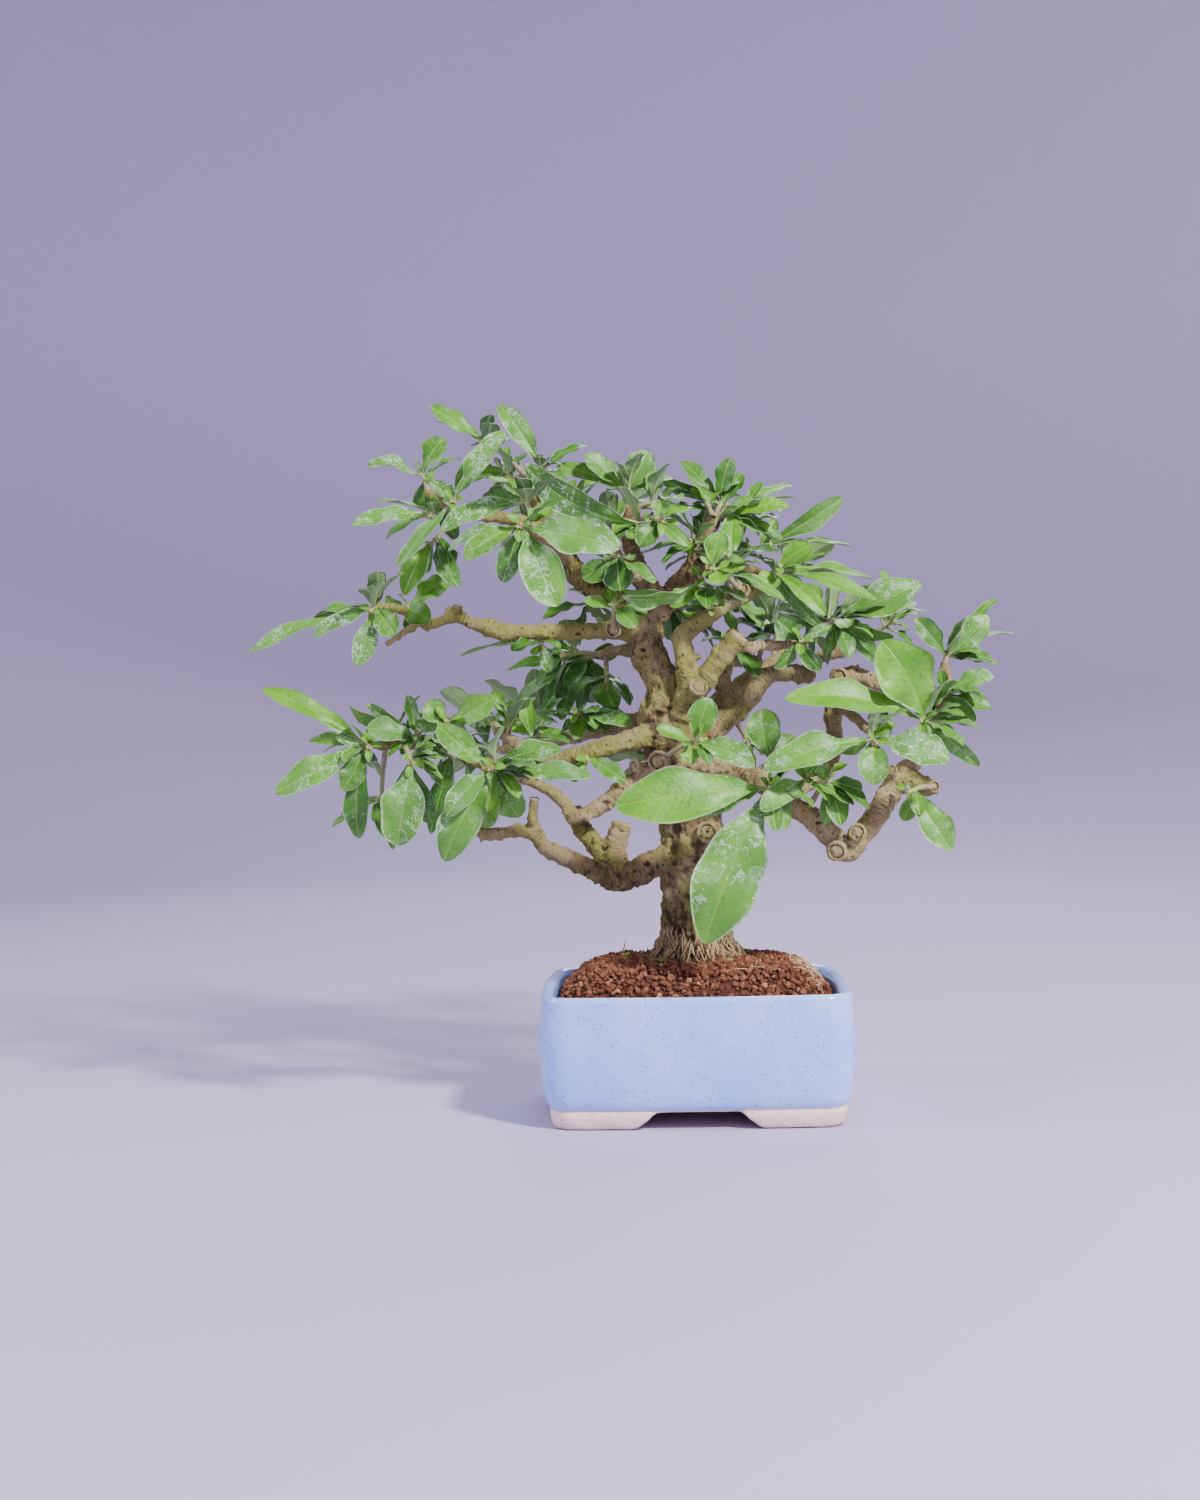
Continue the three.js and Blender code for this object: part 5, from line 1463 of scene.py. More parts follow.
@dataclass(frozen=True)
class Bark(Finish):
    """Pale tan bark: green algae, fine rings, dark scars, painted shade in crevices and hollows; brown and
    fibrous near soil.
    """

    name: str = "bark"
    roughness: float = 0.82
    specular: float = 0.25

    def dress(self, nodes: Nodes) -> None:
        """The bark, by the attributes wood_mm and wood_look, which carry painted shade for its crevices and
        hollows.

        Args:
            nodes: the material's nodes.
        """
        along, crevice_shade, _ = nodes.parts("wood_mm")
        scar_and_hollow_shade, algae, fibre = nodes.parts("wood_look")
        pale = self.drift(nodes, (0.35, 0.27, 0.12), (0.50, 0.415, 0.215), (0.155, 0.10, 0.042),
                          95.0, 700.0)
        brown = self.drift(nodes, (0.155, 0.095, 0.042), (0.285, 0.195, 0.095), (0.045, 0.026, 0.013),
                           150.0, 600.0)
        grown = nodes.mixed(fibre, pale.outputs["Colour"], brown.outputs["Colour"])
        cover = nodes.plus(nodes.noise(80.0, 7.0, 0.66), nodes.times(algae, 0.36))
        green = nodes.mixed(nodes.noise(700.0), (0.17, 0.19, 0.03), (0.42, 0.43, 0.10))
        coated = nodes.mixed(nodes.times(nodes.ramp(cover, 0.58, 0.82), 0.82), grown, green)
        stretched = nodes.add("Mapping")
        nodes.put(stretched.inputs["Vector"], nodes.place())
        stretched.inputs["Scale"].default_value = (1.0, 1.0, 0.3)
        streaks = nodes.noise(480.0, 8.0, 0.72, stretched.outputs["Vector"])
        wobble = nodes.times(nodes.noise(240.0, 4.0), 12.0)
        rings = nodes.ramp(nodes.sine(nodes.plus(nodes.times(along, 3.4), wobble)), 0.5, 1.0)
        ring_mask = nodes.times(rings, nodes.ramp(nodes.noise(130.0, 4.0), 0.47, 0.62))
        ringed = nodes.mixed(nodes.times(ring_mask, 0.5), coated, (0.13, 0.085, 0.04))
        spotted = nodes.mixed(nodes.times(self.specks(nodes, 300.0, 0.19, 0.32), 0.8), ringed,
                              (0.075, 0.045, 0.025))
        dirt = nodes.times(nodes.ramp(streaks, 0.52, 0.68), nodes.ramp(fibre, 0.0, 1.0, 0.30, 0.95))
        dirty = nodes.mixed(dirt, spotted, (0.06, 0.036, 0.02))
        # painted shade: darkens the bark where its relief sinks into crevices
        sunk = nodes.mixed(nodes.ramp(crevice_shade, 0.05, 0.75, 0.0, 0.8), dirty, (0.075, 0.048, 0.028))
        # dark old scars, with painted shade in the hollows and the knobs' dents
        ragged = nodes.ramp(nodes.plus(scar_and_hollow_shade, nodes.noise(600.0, 5.0)), 0.8, 1.35, 0.0, 0.9)
        nodes.paint(nodes.mixed(ragged, sunk, (0.06, 0.036, 0.022)))
        fine = nodes.times(nodes.noise(1100.0, 7.0, 0.7), 0.8)
        height = nodes.plus(fine, nodes.times(streaks, 1.1))
        height = nodes.minus(height, nodes.times(ring_mask, 0.45))
        nodes.relief(height, 1.0, 0.0018)


@dataclass(frozen=True)
class CutWood(Finish):
    """A healed cut: pale wood with rings and cracks inside a rolled lip of bark."""

    name: str = "cut_wood"
    roughness: float = 0.8
    specular: float = 0.25

    def dress(self, nodes: Nodes) -> None:
        """The cut, by the attribute cut_look: x is the share of the radius, y chance, z how green.

        Args:
            nodes: the material's nodes.
        """
        share, chance, greenness = nodes.parts("cut_look")
        uneven = nodes.times(nodes.noise(420.0, 5.0, 0.65), 0.3)
        wobble = nodes.plus(share, nodes.minus(uneven, 0.15))
        rings = nodes.ramp(nodes.sine(nodes.times(wobble, 30.0)), -0.3, 0.8)
        tan = self.drift(nodes, (0.36, 0.27, 0.14), (0.50, 0.42, 0.27), (0.15, 0.095, 0.05),
                         220.0, 1300.0)
        wood = nodes.mixed(nodes.times(rings, 0.6), tan.outputs["Colour"], (0.12, 0.075, 0.035))
        mossy = nodes.times(nodes.ramp(nodes.noise(260.0, 4.0), 0.38, 0.62), greenness)
        green = nodes.mixed(nodes.times(mossy, 0.85), wood, (0.30, 0.33, 0.07))
        gap = nodes.ramp(nodes.size_of(nodes.minus(wobble, 0.72)), 0.02, 0.10, 1.0, 0.0)
        edged = nodes.mixed(nodes.times(gap, 0.9), green, (0.035, 0.022, 0.012))
        cracks = nodes.ramp(nodes.noise(700.0, 7.0, 0.75), 0.57, 0.66)
        cracked = nodes.mixed(nodes.times(cracks, 0.85), edged, (0.045, 0.027, 0.015))
        nodes.paint(nodes.mixed(nodes.times(chance, 0.35), cracked,
                                                           (0.16, 0.11, 0.06)))
        height = nodes.plus(nodes.times(rings, 0.5), nodes.noise(1100.0, 7.0, 0.7))
        nodes.relief(height, 0.8, 0.0010)


# Hollows and scars: where they show, how wide they are, how deep, in millimetres
SCARS = [
    (26, 16, 2.6, 1.1), (19, 44, 2.2, 1.3), (-10, 51, 1.9, 0.9), (47, -36, 3.4, 0.8), (21, -50, 3.0, 0.8),
    (2, -43, 2.4, 1.1), (3, -23, 2.2, 0.9), (44, -62, 2.6, 0.5), (96, -32, 2.2, 0.5), (33, 36, 2.0, 0.6),
]


@dataclass
class GrownWood:
    """Trunk, branches and stubs as one grown skin, and the faces of its cuts."""

    draw: Draws = field(default_factory=lambda: Draws(SEED + 3))
    cell: float = 0.72
    most_faces: int = 190000
    sides: int = 18
    soil_top: float = 64.6
    root_count: int = 13
    fibre_count: int = 260
    foot: tuple[float, float, float] = (42, -86, 2)
    line_step: float = 1.4
    scar_reach: float = 2.2
    ray_start: float = 40.0
    ray_length: float = 32.0
    shortest_with_spurs: int = 8
    dark_lines: tuple[str, ...] = ("low_left", "low_left_arm", "low_left_upright", "rear_low")
    crown_lines: tuple[str, ...] = (
        "crown_left", "crown_middle", "crown_right", "rear_crown", "rear_crown_right")
    mossy_lines: tuple[str, ...] = (
        "upper_left", "middle_left", "upper_left_stub", "crown_left", "low_right_knob", "front_stub",
        "front_fork", "crown_far_left", "low_left_arm")
    cut_ends: tuple[str, ...] = (
        "front_stub", "low_left_arm", "low_left_knob", "upper_left_stub", "low_left_upright",
        "upper_left_dead", "rear_arm")
    cut_profile: tuple[tuple[float, float], ...] = (
        (0.84, -2.4), (1.02, -1.5), (1.13, -0.6), (1.15, 0.1), (1.08, 0.75), (0.95, 1.05), (0.82, 0.85),
        (0.74, 0.3), (0.69, -0.2), (0.62, 0.1), (0.52, 0.35), (0.36, 0.3), (0.2, 0.05), (0.05, -0.2))
    cut_sides: int = 28

    def lines(self) -> dict[str, Array]:
        """Every stretch of wood as a smooth line of x, y, z and radius.

        Returns:
            The lines by name, the trunk's first.
        """
        tables = {"trunk": TRUNK_LINE, **BRANCHES}
        for number, (root, face, radius) in enumerate(CUTS):
            tables[f"cut_{number}"] = [(*root, radius * 1.02), (*face, radius * 0.94)]
        smooth = {}
        for name, table in tables.items():
            rows = np.array([[*VIEW.point(*place[:3]), place[3]] for place in table])
            smooth[name] = smooth_line(rows, self.line_step)
        return smooth

    def limb(self, shape: Shape, name: str, line: Array) -> None:
        """Adds one limb, knobbly, with ridges towards the roots on the trunk and a rounded end.

        Args:
            shape: the shape of all the wood.
            name: the limb's name.
            line: its smooth line.
        """
        angles = 2 * pi * np.arange(self.sides) / self.sides
        end = line[-1]
        before = line[-2]
        ahead = (end - before) / np.linalg.norm((end - before)[:3])
        cap = [end + ahead * end[3] * step for step in (0.35, 0.6)]
        for row, share in zip(cap, (0.86, 0.5)):
            row[3] = end[3] * share
        rows = np.concatenate([line, cap])
        radii = np.repeat(rows[:, 3:4], self.sides, axis=1)
        swell = np.array([noise.noise(Vector(row[:3]) * 0.13) for row in rows])
        radii = radii * (1.0 + 0.09 * swell[:, None])
        if name == "trunk":
            low = np.clip((self.soil_top + 26 - rows[:, 2]) / 34, 0, 1)[:, None]
            ridge = 0.055 + 0.13 * low
            radii = radii * (1 + ridge * np.cos(5 * angles + 0.02 * rows[:, 2:3] + 0.8))
            radii = radii * (1 + 0.35 * ridge * np.cos(9 * angles - 0.05 * rows[:, 2:3]))
        else:
            far = lengths_along(rows[:, :3])
            pitch, start = self.draw.between(7.0, 12.0), 10 * self.draw()
            nodes_at = np.clip(np.cos(2 * pi * (far + start) / pitch), 0, 1) ** 8
            radii = radii * (0.97 + 0.2 * nodes_at[:, None] * min(1.0, 4 / line[0, 3]))
        shape.tube(rows[:, :3], radii, self.sides)
        if name != "trunk" and len(line) > self.shortest_with_spurs:
            self.spurs(shape, line)

    def spurs(self, shape: Shape, line: Array) -> None:
        """Adds short knotty spurs and swellings where old shoots broke away.

        Args:
            shape: the shape of all the wood.
            line: the limb's smooth line.
        """
        draw = self.draw
        index = int(draw.between(2, 6))
        while index < len(line) - 2:
            centre, radius = line[index, :3], line[index, 3]
            along = unit(line[index + 1, :3] - line[index - 1, :3])
            across = unit(np.cross(along, [draw() - 0.5, draw() - 0.5, draw() - 0.5]))
            outward = unit(across + along * draw.between(0.0, 0.6))
            height = draw.between(0.5, 1.9)
            thick = min(radius * 0.62, draw.between(1.0, 2.0))
            foot, tip = centre + across * radius * 0.4, centre + outward * (radius + height)
            route = smooth_line(np.array([foot, (foot + tip) / 2, tip]), 0.8)
            widths = thick * (1.15 - 0.35 * np.linspace(0, 1, len(route)))
            shape.tube(route, widths, 9)
            index += int(draw.between(4, 9))

    def roots(self, shape: Shape) -> list[Array]:
        """Adds surface roots that run out from the trunk and dive into the soil.

        Args:
            shape: the shape of all the wood.

        Returns:
            Their middle lines.
        """
        lines = []
        base = VIEW.point(*self.foot)
        for number in range(self.root_count):
            angle = 2 * pi * (number + 0.5 * self.draw()) / self.root_count
            away = np.array([cos(angle), sin(angle), 0.0])
            reach = self.draw.between(20.0, 25.0)
            rows = []
            for share, drop in ((0.42, 12.0), (0.66, 4.5), (0.84, 0.2), (1.0, -5.5)):
                spot = base + away * reach * share
                spot[2] = self.soil_top + drop - 0.5
                rows.append([*spot, 5.2 * (1 - 0.55 * share)])
            line = smooth_line(np.array(rows), 1.2)
            shape.tube(line[:, :3], line[:, 3], 12)
            lines.append(line)
        return lines

    def nearest(self, points: Array, lines: dict[str, Array]) -> tuple[Array, Array, Array]:
        """For each point, the limb that it lies on.

        Args:
            points: rows of x, y, z.
            lines: the limbs' smooth lines.

        Returns:
            The limb's number, the distance along it and its radius there.
        """
        best = np.full(len(points), 1e9)
        limb = np.zeros(len(points), int)
        along = np.zeros(len(points))
        girth = np.zeros(len(points))
        for number, line in enumerate(lines.values()):
            lengths = lengths_along(line[:, :3])
            for index in range(len(line) - 1):
                start, step = line[index, :3], line[index + 1, :3] - line[index, :3]
                share = np.clip((points - start) @ step / step.dot(step), 0, 1)
                away = np.linalg.norm(points - start - share[:, None] * step, axis=1)
                radius = line[index, 3] + share * (line[index + 1, 3] - line[index, 3])
                closer = away - radius < best
                best = np.where(closer, away - radius, best)
                limb = np.where(closer, number, limb)
                gone = lengths[index] + share * (lengths[index + 1] - lengths[index])
                along = np.where(closer, gone, along)
                girth = np.where(closer, radius, girth)
        return limb, along, girth

    def skin(self) -> Piece:
        """The grown skin: limbs joined, evened, then roughened as bark, with hollows sunk in.

        Returns:
            The wood.
        """
        shape = Shape()
        lines = self.lines()
        for name, line in lines.items():
            self.limb(shape, name, line)
        self.roots(shape)
        wood = shape.build("grown_wood", [Bark().material()])
        even_out(wood, self.cell)
        points, normals = mesh_points(wood.data), mesh_normals(wood.data)
        limb, along, girth = self.nearest(points, lines)
        names = list(lines)
        low = np.clip((self.soil_top + 36 - points[:, 2]) / 34, 0, 1)
        on_trunk = limb == 0
        fibre = np.where(on_trunk, np.maximum(low, 0.24), 0.0)
        for name in self.crown_lines:
            fibre = np.where(limb == names.index(name), np.clip(along / 48, 0.1, 0.8), fibre)
        for name in self.dark_lines:
            dark = limb == names.index(name)
            fibre = np.where(dark, 0.2 + 0.75 * np.exp(-(((along - 38) / 20) ** 2)), fibre)
        algae = np.full(len(points), 0.35)
        for name in self.mossy_lines:
            algae = np.where(limb == names.index(name), 0.85, algae)
        algae = np.where(on_trunk & (points[:, 2] > self.soil_top + 20), 0.5, algae)
        thick = np.clip(girth / 6, 0.55, 1.5)
        upright = points * np.array([1.0, 1.0, 0.3])
        furrows = np.abs(noise_at(upright, 0.5, 5.0)) * 1.3 + np.abs(noise_at(upright, 1.1, 7.0)) * 0.9
        knobs = noise_at(points, 0.21, 3.0)
        lumps = noise_at(points, 0.5, 11.0)
        rings = noise_at(np.stack([along, limb * 9.0, girth * 0.2], axis=1), 0.8)
        flakes = noise_at(points, 1.25, 17.0)
        height = -furrows * (0.18 + 1.05 * fibre) * thick + 0.95 * knobs * thick
        height = height + 0.55 * lumps * thick + 0.26 * rings + (0.2 + 0.25 * fibre) * flakes
        # painted shade in the deepest dents of the knobs
        scar_and_hollow_shade = np.clip(-knobs - 0.42, 0, 1) * 0.8
        shown = VIEW.places(points)
        ragged_edge = 1 + 0.55 * noise_at(points, 0.55, 23.0)
        for across, up, radius, depth in SCARS:
            away = np.hypot((shown[:, 0] - across) * 0.75, (shown[:, 1] - up) * 1.25) / radius * ragged_edge
            near = away < self.scar_reach
            if not near.any():
                continue
            front = near & (shown[:, 2] < shown[near, 2].min() + self.scar_reach * radius + 2)
            front &= normals[:, 1] < 0.2
            hollow = np.exp(-((away / 0.55) ** 3))
            lip = np.exp(-(((away - 1.0) / 0.35) ** 2))
            wrinkle = 0.16 * np.cos(away * 9.0) * np.exp(-((away / 1.8) ** 4))
            height = height + np.where(front, -depth * hollow + 0.35 * depth * lip + wrinkle, 0.0)
            # painted shade in each hollow's middle
            scar_and_hollow_shade = np.maximum(scar_and_hollow_shade, np.where(front, np.exp(-((away / 0.6) ** 4)), 0.0))
        points = points + normals * height[:, None]
        set_points(wood.data, points)
        # painted shade: how far the bark sinks below its mean, to darken its crevices
        crevice_shade = np.clip(-(height - height.mean()) / 1.15, 0, 1)
        set_values(wood.data, "wood_mm", np.stack([along, crevice_shade, points[:, 2]], axis=1))
        set_values(wood.data, "wood_look", np.clip(np.stack([scar_and_hollow_shade, algae, fibre], axis=1), 0, 1))
        thin = wood.modifiers.new("thin", "DECIMATE")
        thin.ratio = min(1.0, self.most_faces / (2 * len(wood.data.polygons)))
        keep_modifiers(wood)
        shade(wood.data)
        return wood

    def cut_faces(self) -> Piece:
        """The faces of the cuts, each a disc with rings in a rolled lip.

        Returns:
            The discs as one piece.
        """
        shape = Shape()
        sides, profile = self.cut_sides, self.cut_profile
        ends = list(CUTS)
        for name in self.cut_ends:
            before, last = BRANCHES[name][-2:]
            ends.append((before[:3], last[:3], last[3] * 0.84))
        for root, face, radius in ends:
            start, end = VIEW.point(*root), VIEW.point(*face)
            outward = unit(end - start)
            middle = end + outward * radius * 0.28
            line = np.array([middle + outward * rise * max(radius / 3.6, 0.4) for _, rise in profile])
            frame_rings = tube_rings(np.array([start, middle]), np.ones(2), sides)[1] - middle
            rings = [spot + frame_rings * (radius * share) for spot, (share, _) in zip(line, profile)]
            rings = np.array(rings)
            flat = rings.reshape(-1, 3)
            rough = 0.16 * noise_at(flat, 0.75, 31.0) + 0.09 * noise_at(flat, 1.9, 37.0)
            rough = rough.reshape(len(profile), sides, 1) * min(radius, 4.0)
            rings = rings + rough * (frame_rings[None] + outward * 0.7)
            points, faces = lofted(rings)
            chance, green = self.draw(), self.draw() ** 1.5
            look = np.array([[min(share, 1.0), chance, green] for share, _ in profile for _ in range(sides)])
            look = np.concatenate([look, [[0.9, chance, green], [0.0, chance, green]]])
            shape.add(points, faces, cut_look=look)
        return shape.build("cut_faces", [CutWood().material()])

    def root_mat(self, wood: Piece) -> Piece:
        """Fine dry roots and soil crumbs that cling to the flare.

        Args:
            wood: the grown skin.

        Returns:
            The mat.
        """
        tree = BVHTree.FromPolygons([tuple(point) for point in mesh_points(wood.data)],
                                    [face.vertices[:] for face in wood.data.polygons])
        shape = Shape()
        base = VIEW.point(*self.foot)
        for _ in range(self.fibre_count):
            angle, top = 6.3 * self.draw(), self.draw.between(4.0, 16.0)
            swing, length = self.draw.between(-0.35, 0.35), self.draw.between(5.0, 13.0)
            rows = []
            for step in range(5):
                share = step / 4
                away = np.array([cos(angle + swing * share), sin(angle + swing * share), 0.0])
                height = self.soil_top + top - length * share
                start = base + away * self.ray_start
                start[2] = height
                hit = tree.ray_cast(Vector(start), Vector(-away), self.ray_length)
                if hit[0] is None or height < self.soil_top - 4:
                    break
                rows.append(np.array(hit[0]) + away * self.draw.between(0.0, 0.55))
            if len(rows) < 3:
                continue
            line = smooth_line(np.array(rows), 1.0)
            radii = np.linspace(0.34, 0.16, len(line)) * self.draw.between(0.6, 1.3)
            shape.tube(line, radii, 5)
        return shape.build("root_mat", [DryFibre("root_fibre", tone=0.55).material()])

    def build(self) -> None:
        """Makes the wood in place of the CAD trunk."""
        skin = self.skin()
        finished(self.root_mat(skin), Slot.BARK, "trunk")
        finished(skin, Slot.BARK, "trunk")
        finished(self.cut_faces(), Slot.BARK, "trunk")


# Leaves


@dataclass(frozen=True)
class LeafUpper(Finish):
    """The leaf's upper side: fresh to deep green, the deep partly painted shade, pale veins, lime marks and
    brown spots.
    """

    name: str = "leaf_upper"
    roughness: float = 0.38
    specular: float = 0.36

    def dress(self, nodes: Nodes) -> None:
        """The upper side, by the attributes blade_mm, blade_share and blade_look.

        Args:
            nodes: the material's nodes.
        """
        along, aside, _ = nodes.parts("blade_mm")
        share, side, _ = nodes.parts("blade_share")
        depth, lime, brown = nodes.parts("blade_look")
        fresh = self.drift(nodes, (0.078, 0.265, 0.006), (0.13, 0.34, 0.012), (0.050, 0.195, 0.006),
                           70.0, 500.0)
        # the deep green, partly the leaf's own and partly painted shade
        deep = self.drift(nodes, (0.026, 0.120, 0.008), (0.044, 0.17, 0.014), (0.016, 0.082, 0.008),
                          70.0, 500.0)
        green = nodes.mixed(depth, fresh.outputs["Colour"], deep.outputs["Colour"])
        distance = nodes.size_of(aside)
        rib = nodes.ramp(distance, 0.10, 0.42, 1.0, 0.0)
        slanted = nodes.minus(along, nodes.times(distance, 0.75))
        wave = nodes.sine(nodes.times(slanted, 1.9))
        vein = nodes.times(nodes.ramp(wave, 0.86, 1.0), nodes.ramp(distance, 0.3, 0.9))
        lines = nodes.larger(nodes.times(rib, 0.48), nodes.times(vein, 0.13))
        veined = nodes.mixed(lines, green, (0.27, 0.48, 0.06))
        veil = nodes.mixed(nodes.times(lime, 0.24), veined, (0.12, 0.28, 0.10))
        cloud = nodes.noise(150.0, 5.0, 0.6)
        patch = nodes.ramp(nodes.noise(48.0, 2.0), 0.40, 0.54)
        line = nodes.ramp(nodes.size_of(nodes.minus(cloud, 0.54)), 0.002, 0.018, 1.0, 0.0)
        tide = nodes.times(line, patch)
        film = nodes.times(nodes.ramp(nodes.noise(75.0, 7.0, 0.68), 0.52, 0.80), 0.34)
        dots = nodes.times(self.specks(nodes, 900.0, 0.24, 0.3), patch)
        edge = nodes.times(nodes.ramp(nodes.size_of(side), 0.88, 1.0),
                          nodes.ramp(nodes.noise(380.0), 0.36, 0.6))
        marks = nodes.larger(nodes.larger(tide, film), nodes.larger(dots, edge))
        limed = nodes.mixed(nodes.times(marks, lime, True), veil, (0.48, 0.61, 0.50))
        rim = nodes.times(nodes.ramp(nodes.size_of(side), 0.90, 1.0), 0.55)
        edged = nodes.mixed(rim, limed, (0.38, 0.50, 0.27))
        spots = nodes.ramp(nodes.noise(260.0, 3.0), 0.66, 0.72)
        tip = nodes.times(nodes.ramp(share, 0.9, 1.0), nodes.ramp(nodes.noise(300.0), 0.4, 0.6))
        withered = nodes.times(nodes.larger(spots, tip), brown, True)
        nodes.paint(nodes.mixed(withered, edged, (0.20, 0.085, 0.03)))
        dull = nodes.math("MULTIPLY_ADD", nodes.times(marks, lime), 0.3)
        dull.node.inputs[2].default_value = 0.41
        nodes.put(nodes.shader()["Roughness"], dull)
        relief = nodes.minus(nodes.noise(330.0, 4.0), nodes.times(lines, 0.9))
        nodes.relief(relief, 0.5, 0.0006)


@dataclass(frozen=True)
class LeafUnder(Finish):
    """The leaf's underside: matte pale grey-green, dimmer partly as painted shade, with a raised, paler rib.
    """

    name: str = "leaf_under"
    roughness: float = 0.62
    specular: float = 0.3

    def dress(self, nodes: Nodes) -> None:
        """The underside, by the attributes blade_mm and blade_look.

        Args:
            nodes: the material's nodes.
        """
        along, aside, _ = nodes.parts("blade_mm")
        depth, lime, _ = nodes.parts("blade_look")
        pale = self.drift(nodes, (0.21, 0.36, 0.11), (0.27, 0.42, 0.16), (0.17, 0.30, 0.085), 80.0, 700.0)
        # the dim green, partly the leaf's own and partly painted shade
        dim = self.drift(nodes, (0.11, 0.21, 0.075), (0.14, 0.25, 0.10), (0.08, 0.17, 0.055), 80.0, 700.0)
        base = nodes.mixed(depth, pale.outputs["Colour"], dim.outputs["Colour"])
        distance = nodes.size_of(aside)
        rib = nodes.times(nodes.ramp(distance, 0.25, 0.6, 1.0, 0.0), 0.8)
        slanted = nodes.minus(along, nodes.times(distance, 0.75))
        wave = nodes.sine(nodes.times(slanted, 1.9))
        vein = nodes.times(nodes.ramp(wave, 0.8, 1.0), 0.16)
        lines = nodes.larger(rib, vein)
        ribbed = nodes.mixed(lines, base, (0.38, 0.47, 0.25))
        cloud = nodes.noise(230.0, 6.0, 0.62)
        tide = nodes.ramp(nodes.size_of(nodes.minus(cloud, 0.52)), 0.004, 0.02, 1.0, 0.0)
        limed = nodes.mixed(nodes.times(tide, nodes.times(lime, 0.6), True), ribbed,
                            (0.5, 0.6, 0.48))
        nodes.paint(limed)
        relief = nodes.plus(nodes.noise(500.0, 3.0), lines)
        nodes.relief(relief, 0.3, 0.0005)


@dataclass(frozen=True)
class YoungStem(Finish):
    """A young stem: brown bark at its foot, green and then pinkish brown towards its buds."""

    name: str = "young_stem"
    roughness: float = 0.6
    specular: float = 0.35

    def dress(self, nodes: Nodes) -> None:
        """The stem, by the attribute stem_look: x is 0 at the foot and 1 at the bud, y how pink it is.

        Args:
            nodes: the material's nodes.
        """
        share, pink, pale = nodes.parts("stem_look")
        bark = self.drift(nodes, (0.24, 0.19, 0.12), (0.31, 0.27, 0.15), (0.13, 0.09, 0.055), 160.0, 1400.0)
        green = self.drift(nodes, (0.26, 0.34, 0.10), (0.32, 0.38, 0.14), (0.20, 0.25, 0.08), 160.0, 1200.0)
        grown = nodes.mixed(nodes.ramp(share, 0.25, 0.75), bark.outputs["Colour"], green.outputs["Colour"])
        flushed = nodes.mixed(pink, grown, (0.42, 0.22, 0.13))
        nodes.paint(nodes.mixed(pale, flushed, (0.38, 0.45, 0.20)))
        nodes.relief(bark.outputs["Height"], 0.4, 0.0004)


class Habit(Enum):
    """How a leaf looks: depth of green, partly its own and partly painted shade, lime marks and brown spots,
    from 0 to 1.
    """

    FRESH = (0.08, 0.12, 0.0)
    GREEN = (0.38, 0.25, 0.05)
    DEEP_AND_SHADED = (0.78, 0.25, 0.08)
    DARK = (1.0, 0.12, 0.1)
    LIMED = (0.5, 0.95, 0.1)
    LIMED_FRESH = (0.2, 0.85, 0.1)
    WORN = (0.35, 0.35, 0.7)


# A letter for each habit, in the order above
HABITS = dict(zip("FGDKLMW", Habit))

# Leaves that stand out in the photo: the stem, and the letter of each of its leaves in turn
# The deep and dark letters stand partly for painted shade.
LEAF_HABITS = {
    "top_long": "MLG", "top_left_star": "GLGLDF", "left_pair": "MGGF", "star": "MMGDFL",
    "star_upper": "LDF", "crown_dark": "L", "crown_fan": "GGLGF", "right_top": "FGFGG",
    "right_bright": "FFFG", "right_star": "FGGFDFG", "pink_stem": "GMGGDGGF", "far_huge": "FFGG",
    "right_front": "MLWFGF", "low_right_pair": "MGG", "low_giant": "FMM", "low_leafy": "MFF",
    "knuckle_sprig": "GGLFF", "banded": "WD", "far_left": "FMGLDDG", "far_left_low": "GDG",
    "left_giant": "LDK", "left_grey": "LLGGDD", "left_star": "GLMFGLLGGG", "left_inner": "GDKD",
    "tip_left": "MLGLGG", "hanging": "DDGGKDKDGD", "crown_bud": "KFGG", "neck_cup": "KDG",
}

# The letters that other leaves take: grown ones, filling ones and those of the inner sprigs; the last two
# lean dark, partly as painted shade inside the crown
COMMON_HABITS = "FGGDFM"
FILL_HABITS = "DKGG"
SPRIG_HABITS = "GDFKGD"

# Leafy stems whose young wood is flushed pink
PINK_STEMS = {
    "pink_stem", "star", "far_left", "left_star", "tip_left", "left_bright", "right_front", "far_middle"}

# Small leafy sprigs inside the crown: where their hearts show, and how far back they are
INNER_SPRIGS = [
    (28, 105, 14), (42, 118, 20), (38, 92, 26), (56, 60, 24), (76, 57, 20), (92, 56, 8), (128, 56, 24),
    (38, 60, 22), (-10, 91, 18), (-51, 122, 16), (-35, 115, 24), (-16, 107, 20), (-4, 104, 10), (-44, 88, 14),
    (-23, 42, 24), (3, 29, 26), (-39, 13, 14), (-92, 13, 16), (-28, 7, 10), (-66, 4, 16), (64, 88, 10),
    (118, 12, 22), (70, -6, 20), (-110, -4, 12), (26, 109, -2), (56, 86, -22), (40, 92, -16), (37, 60, 10),
    (62, 49, 8), (-5, 63, 12), (72, 100, -2),
]


@dataclass
class Leaf:
    """One leaf: where it is rooted, the tips that it may have, its width, facing, bend and fold."""

    root: Array
    tips: list[Array]
    width: float
    facing: Array
    bend: float
    fold: float


@dataclass
class Spray:
    """A leafy stem: its name, its route from wood to heart, and its leaves."""

    name: str
    route: list[Array]
    leaves: list[Leaf]


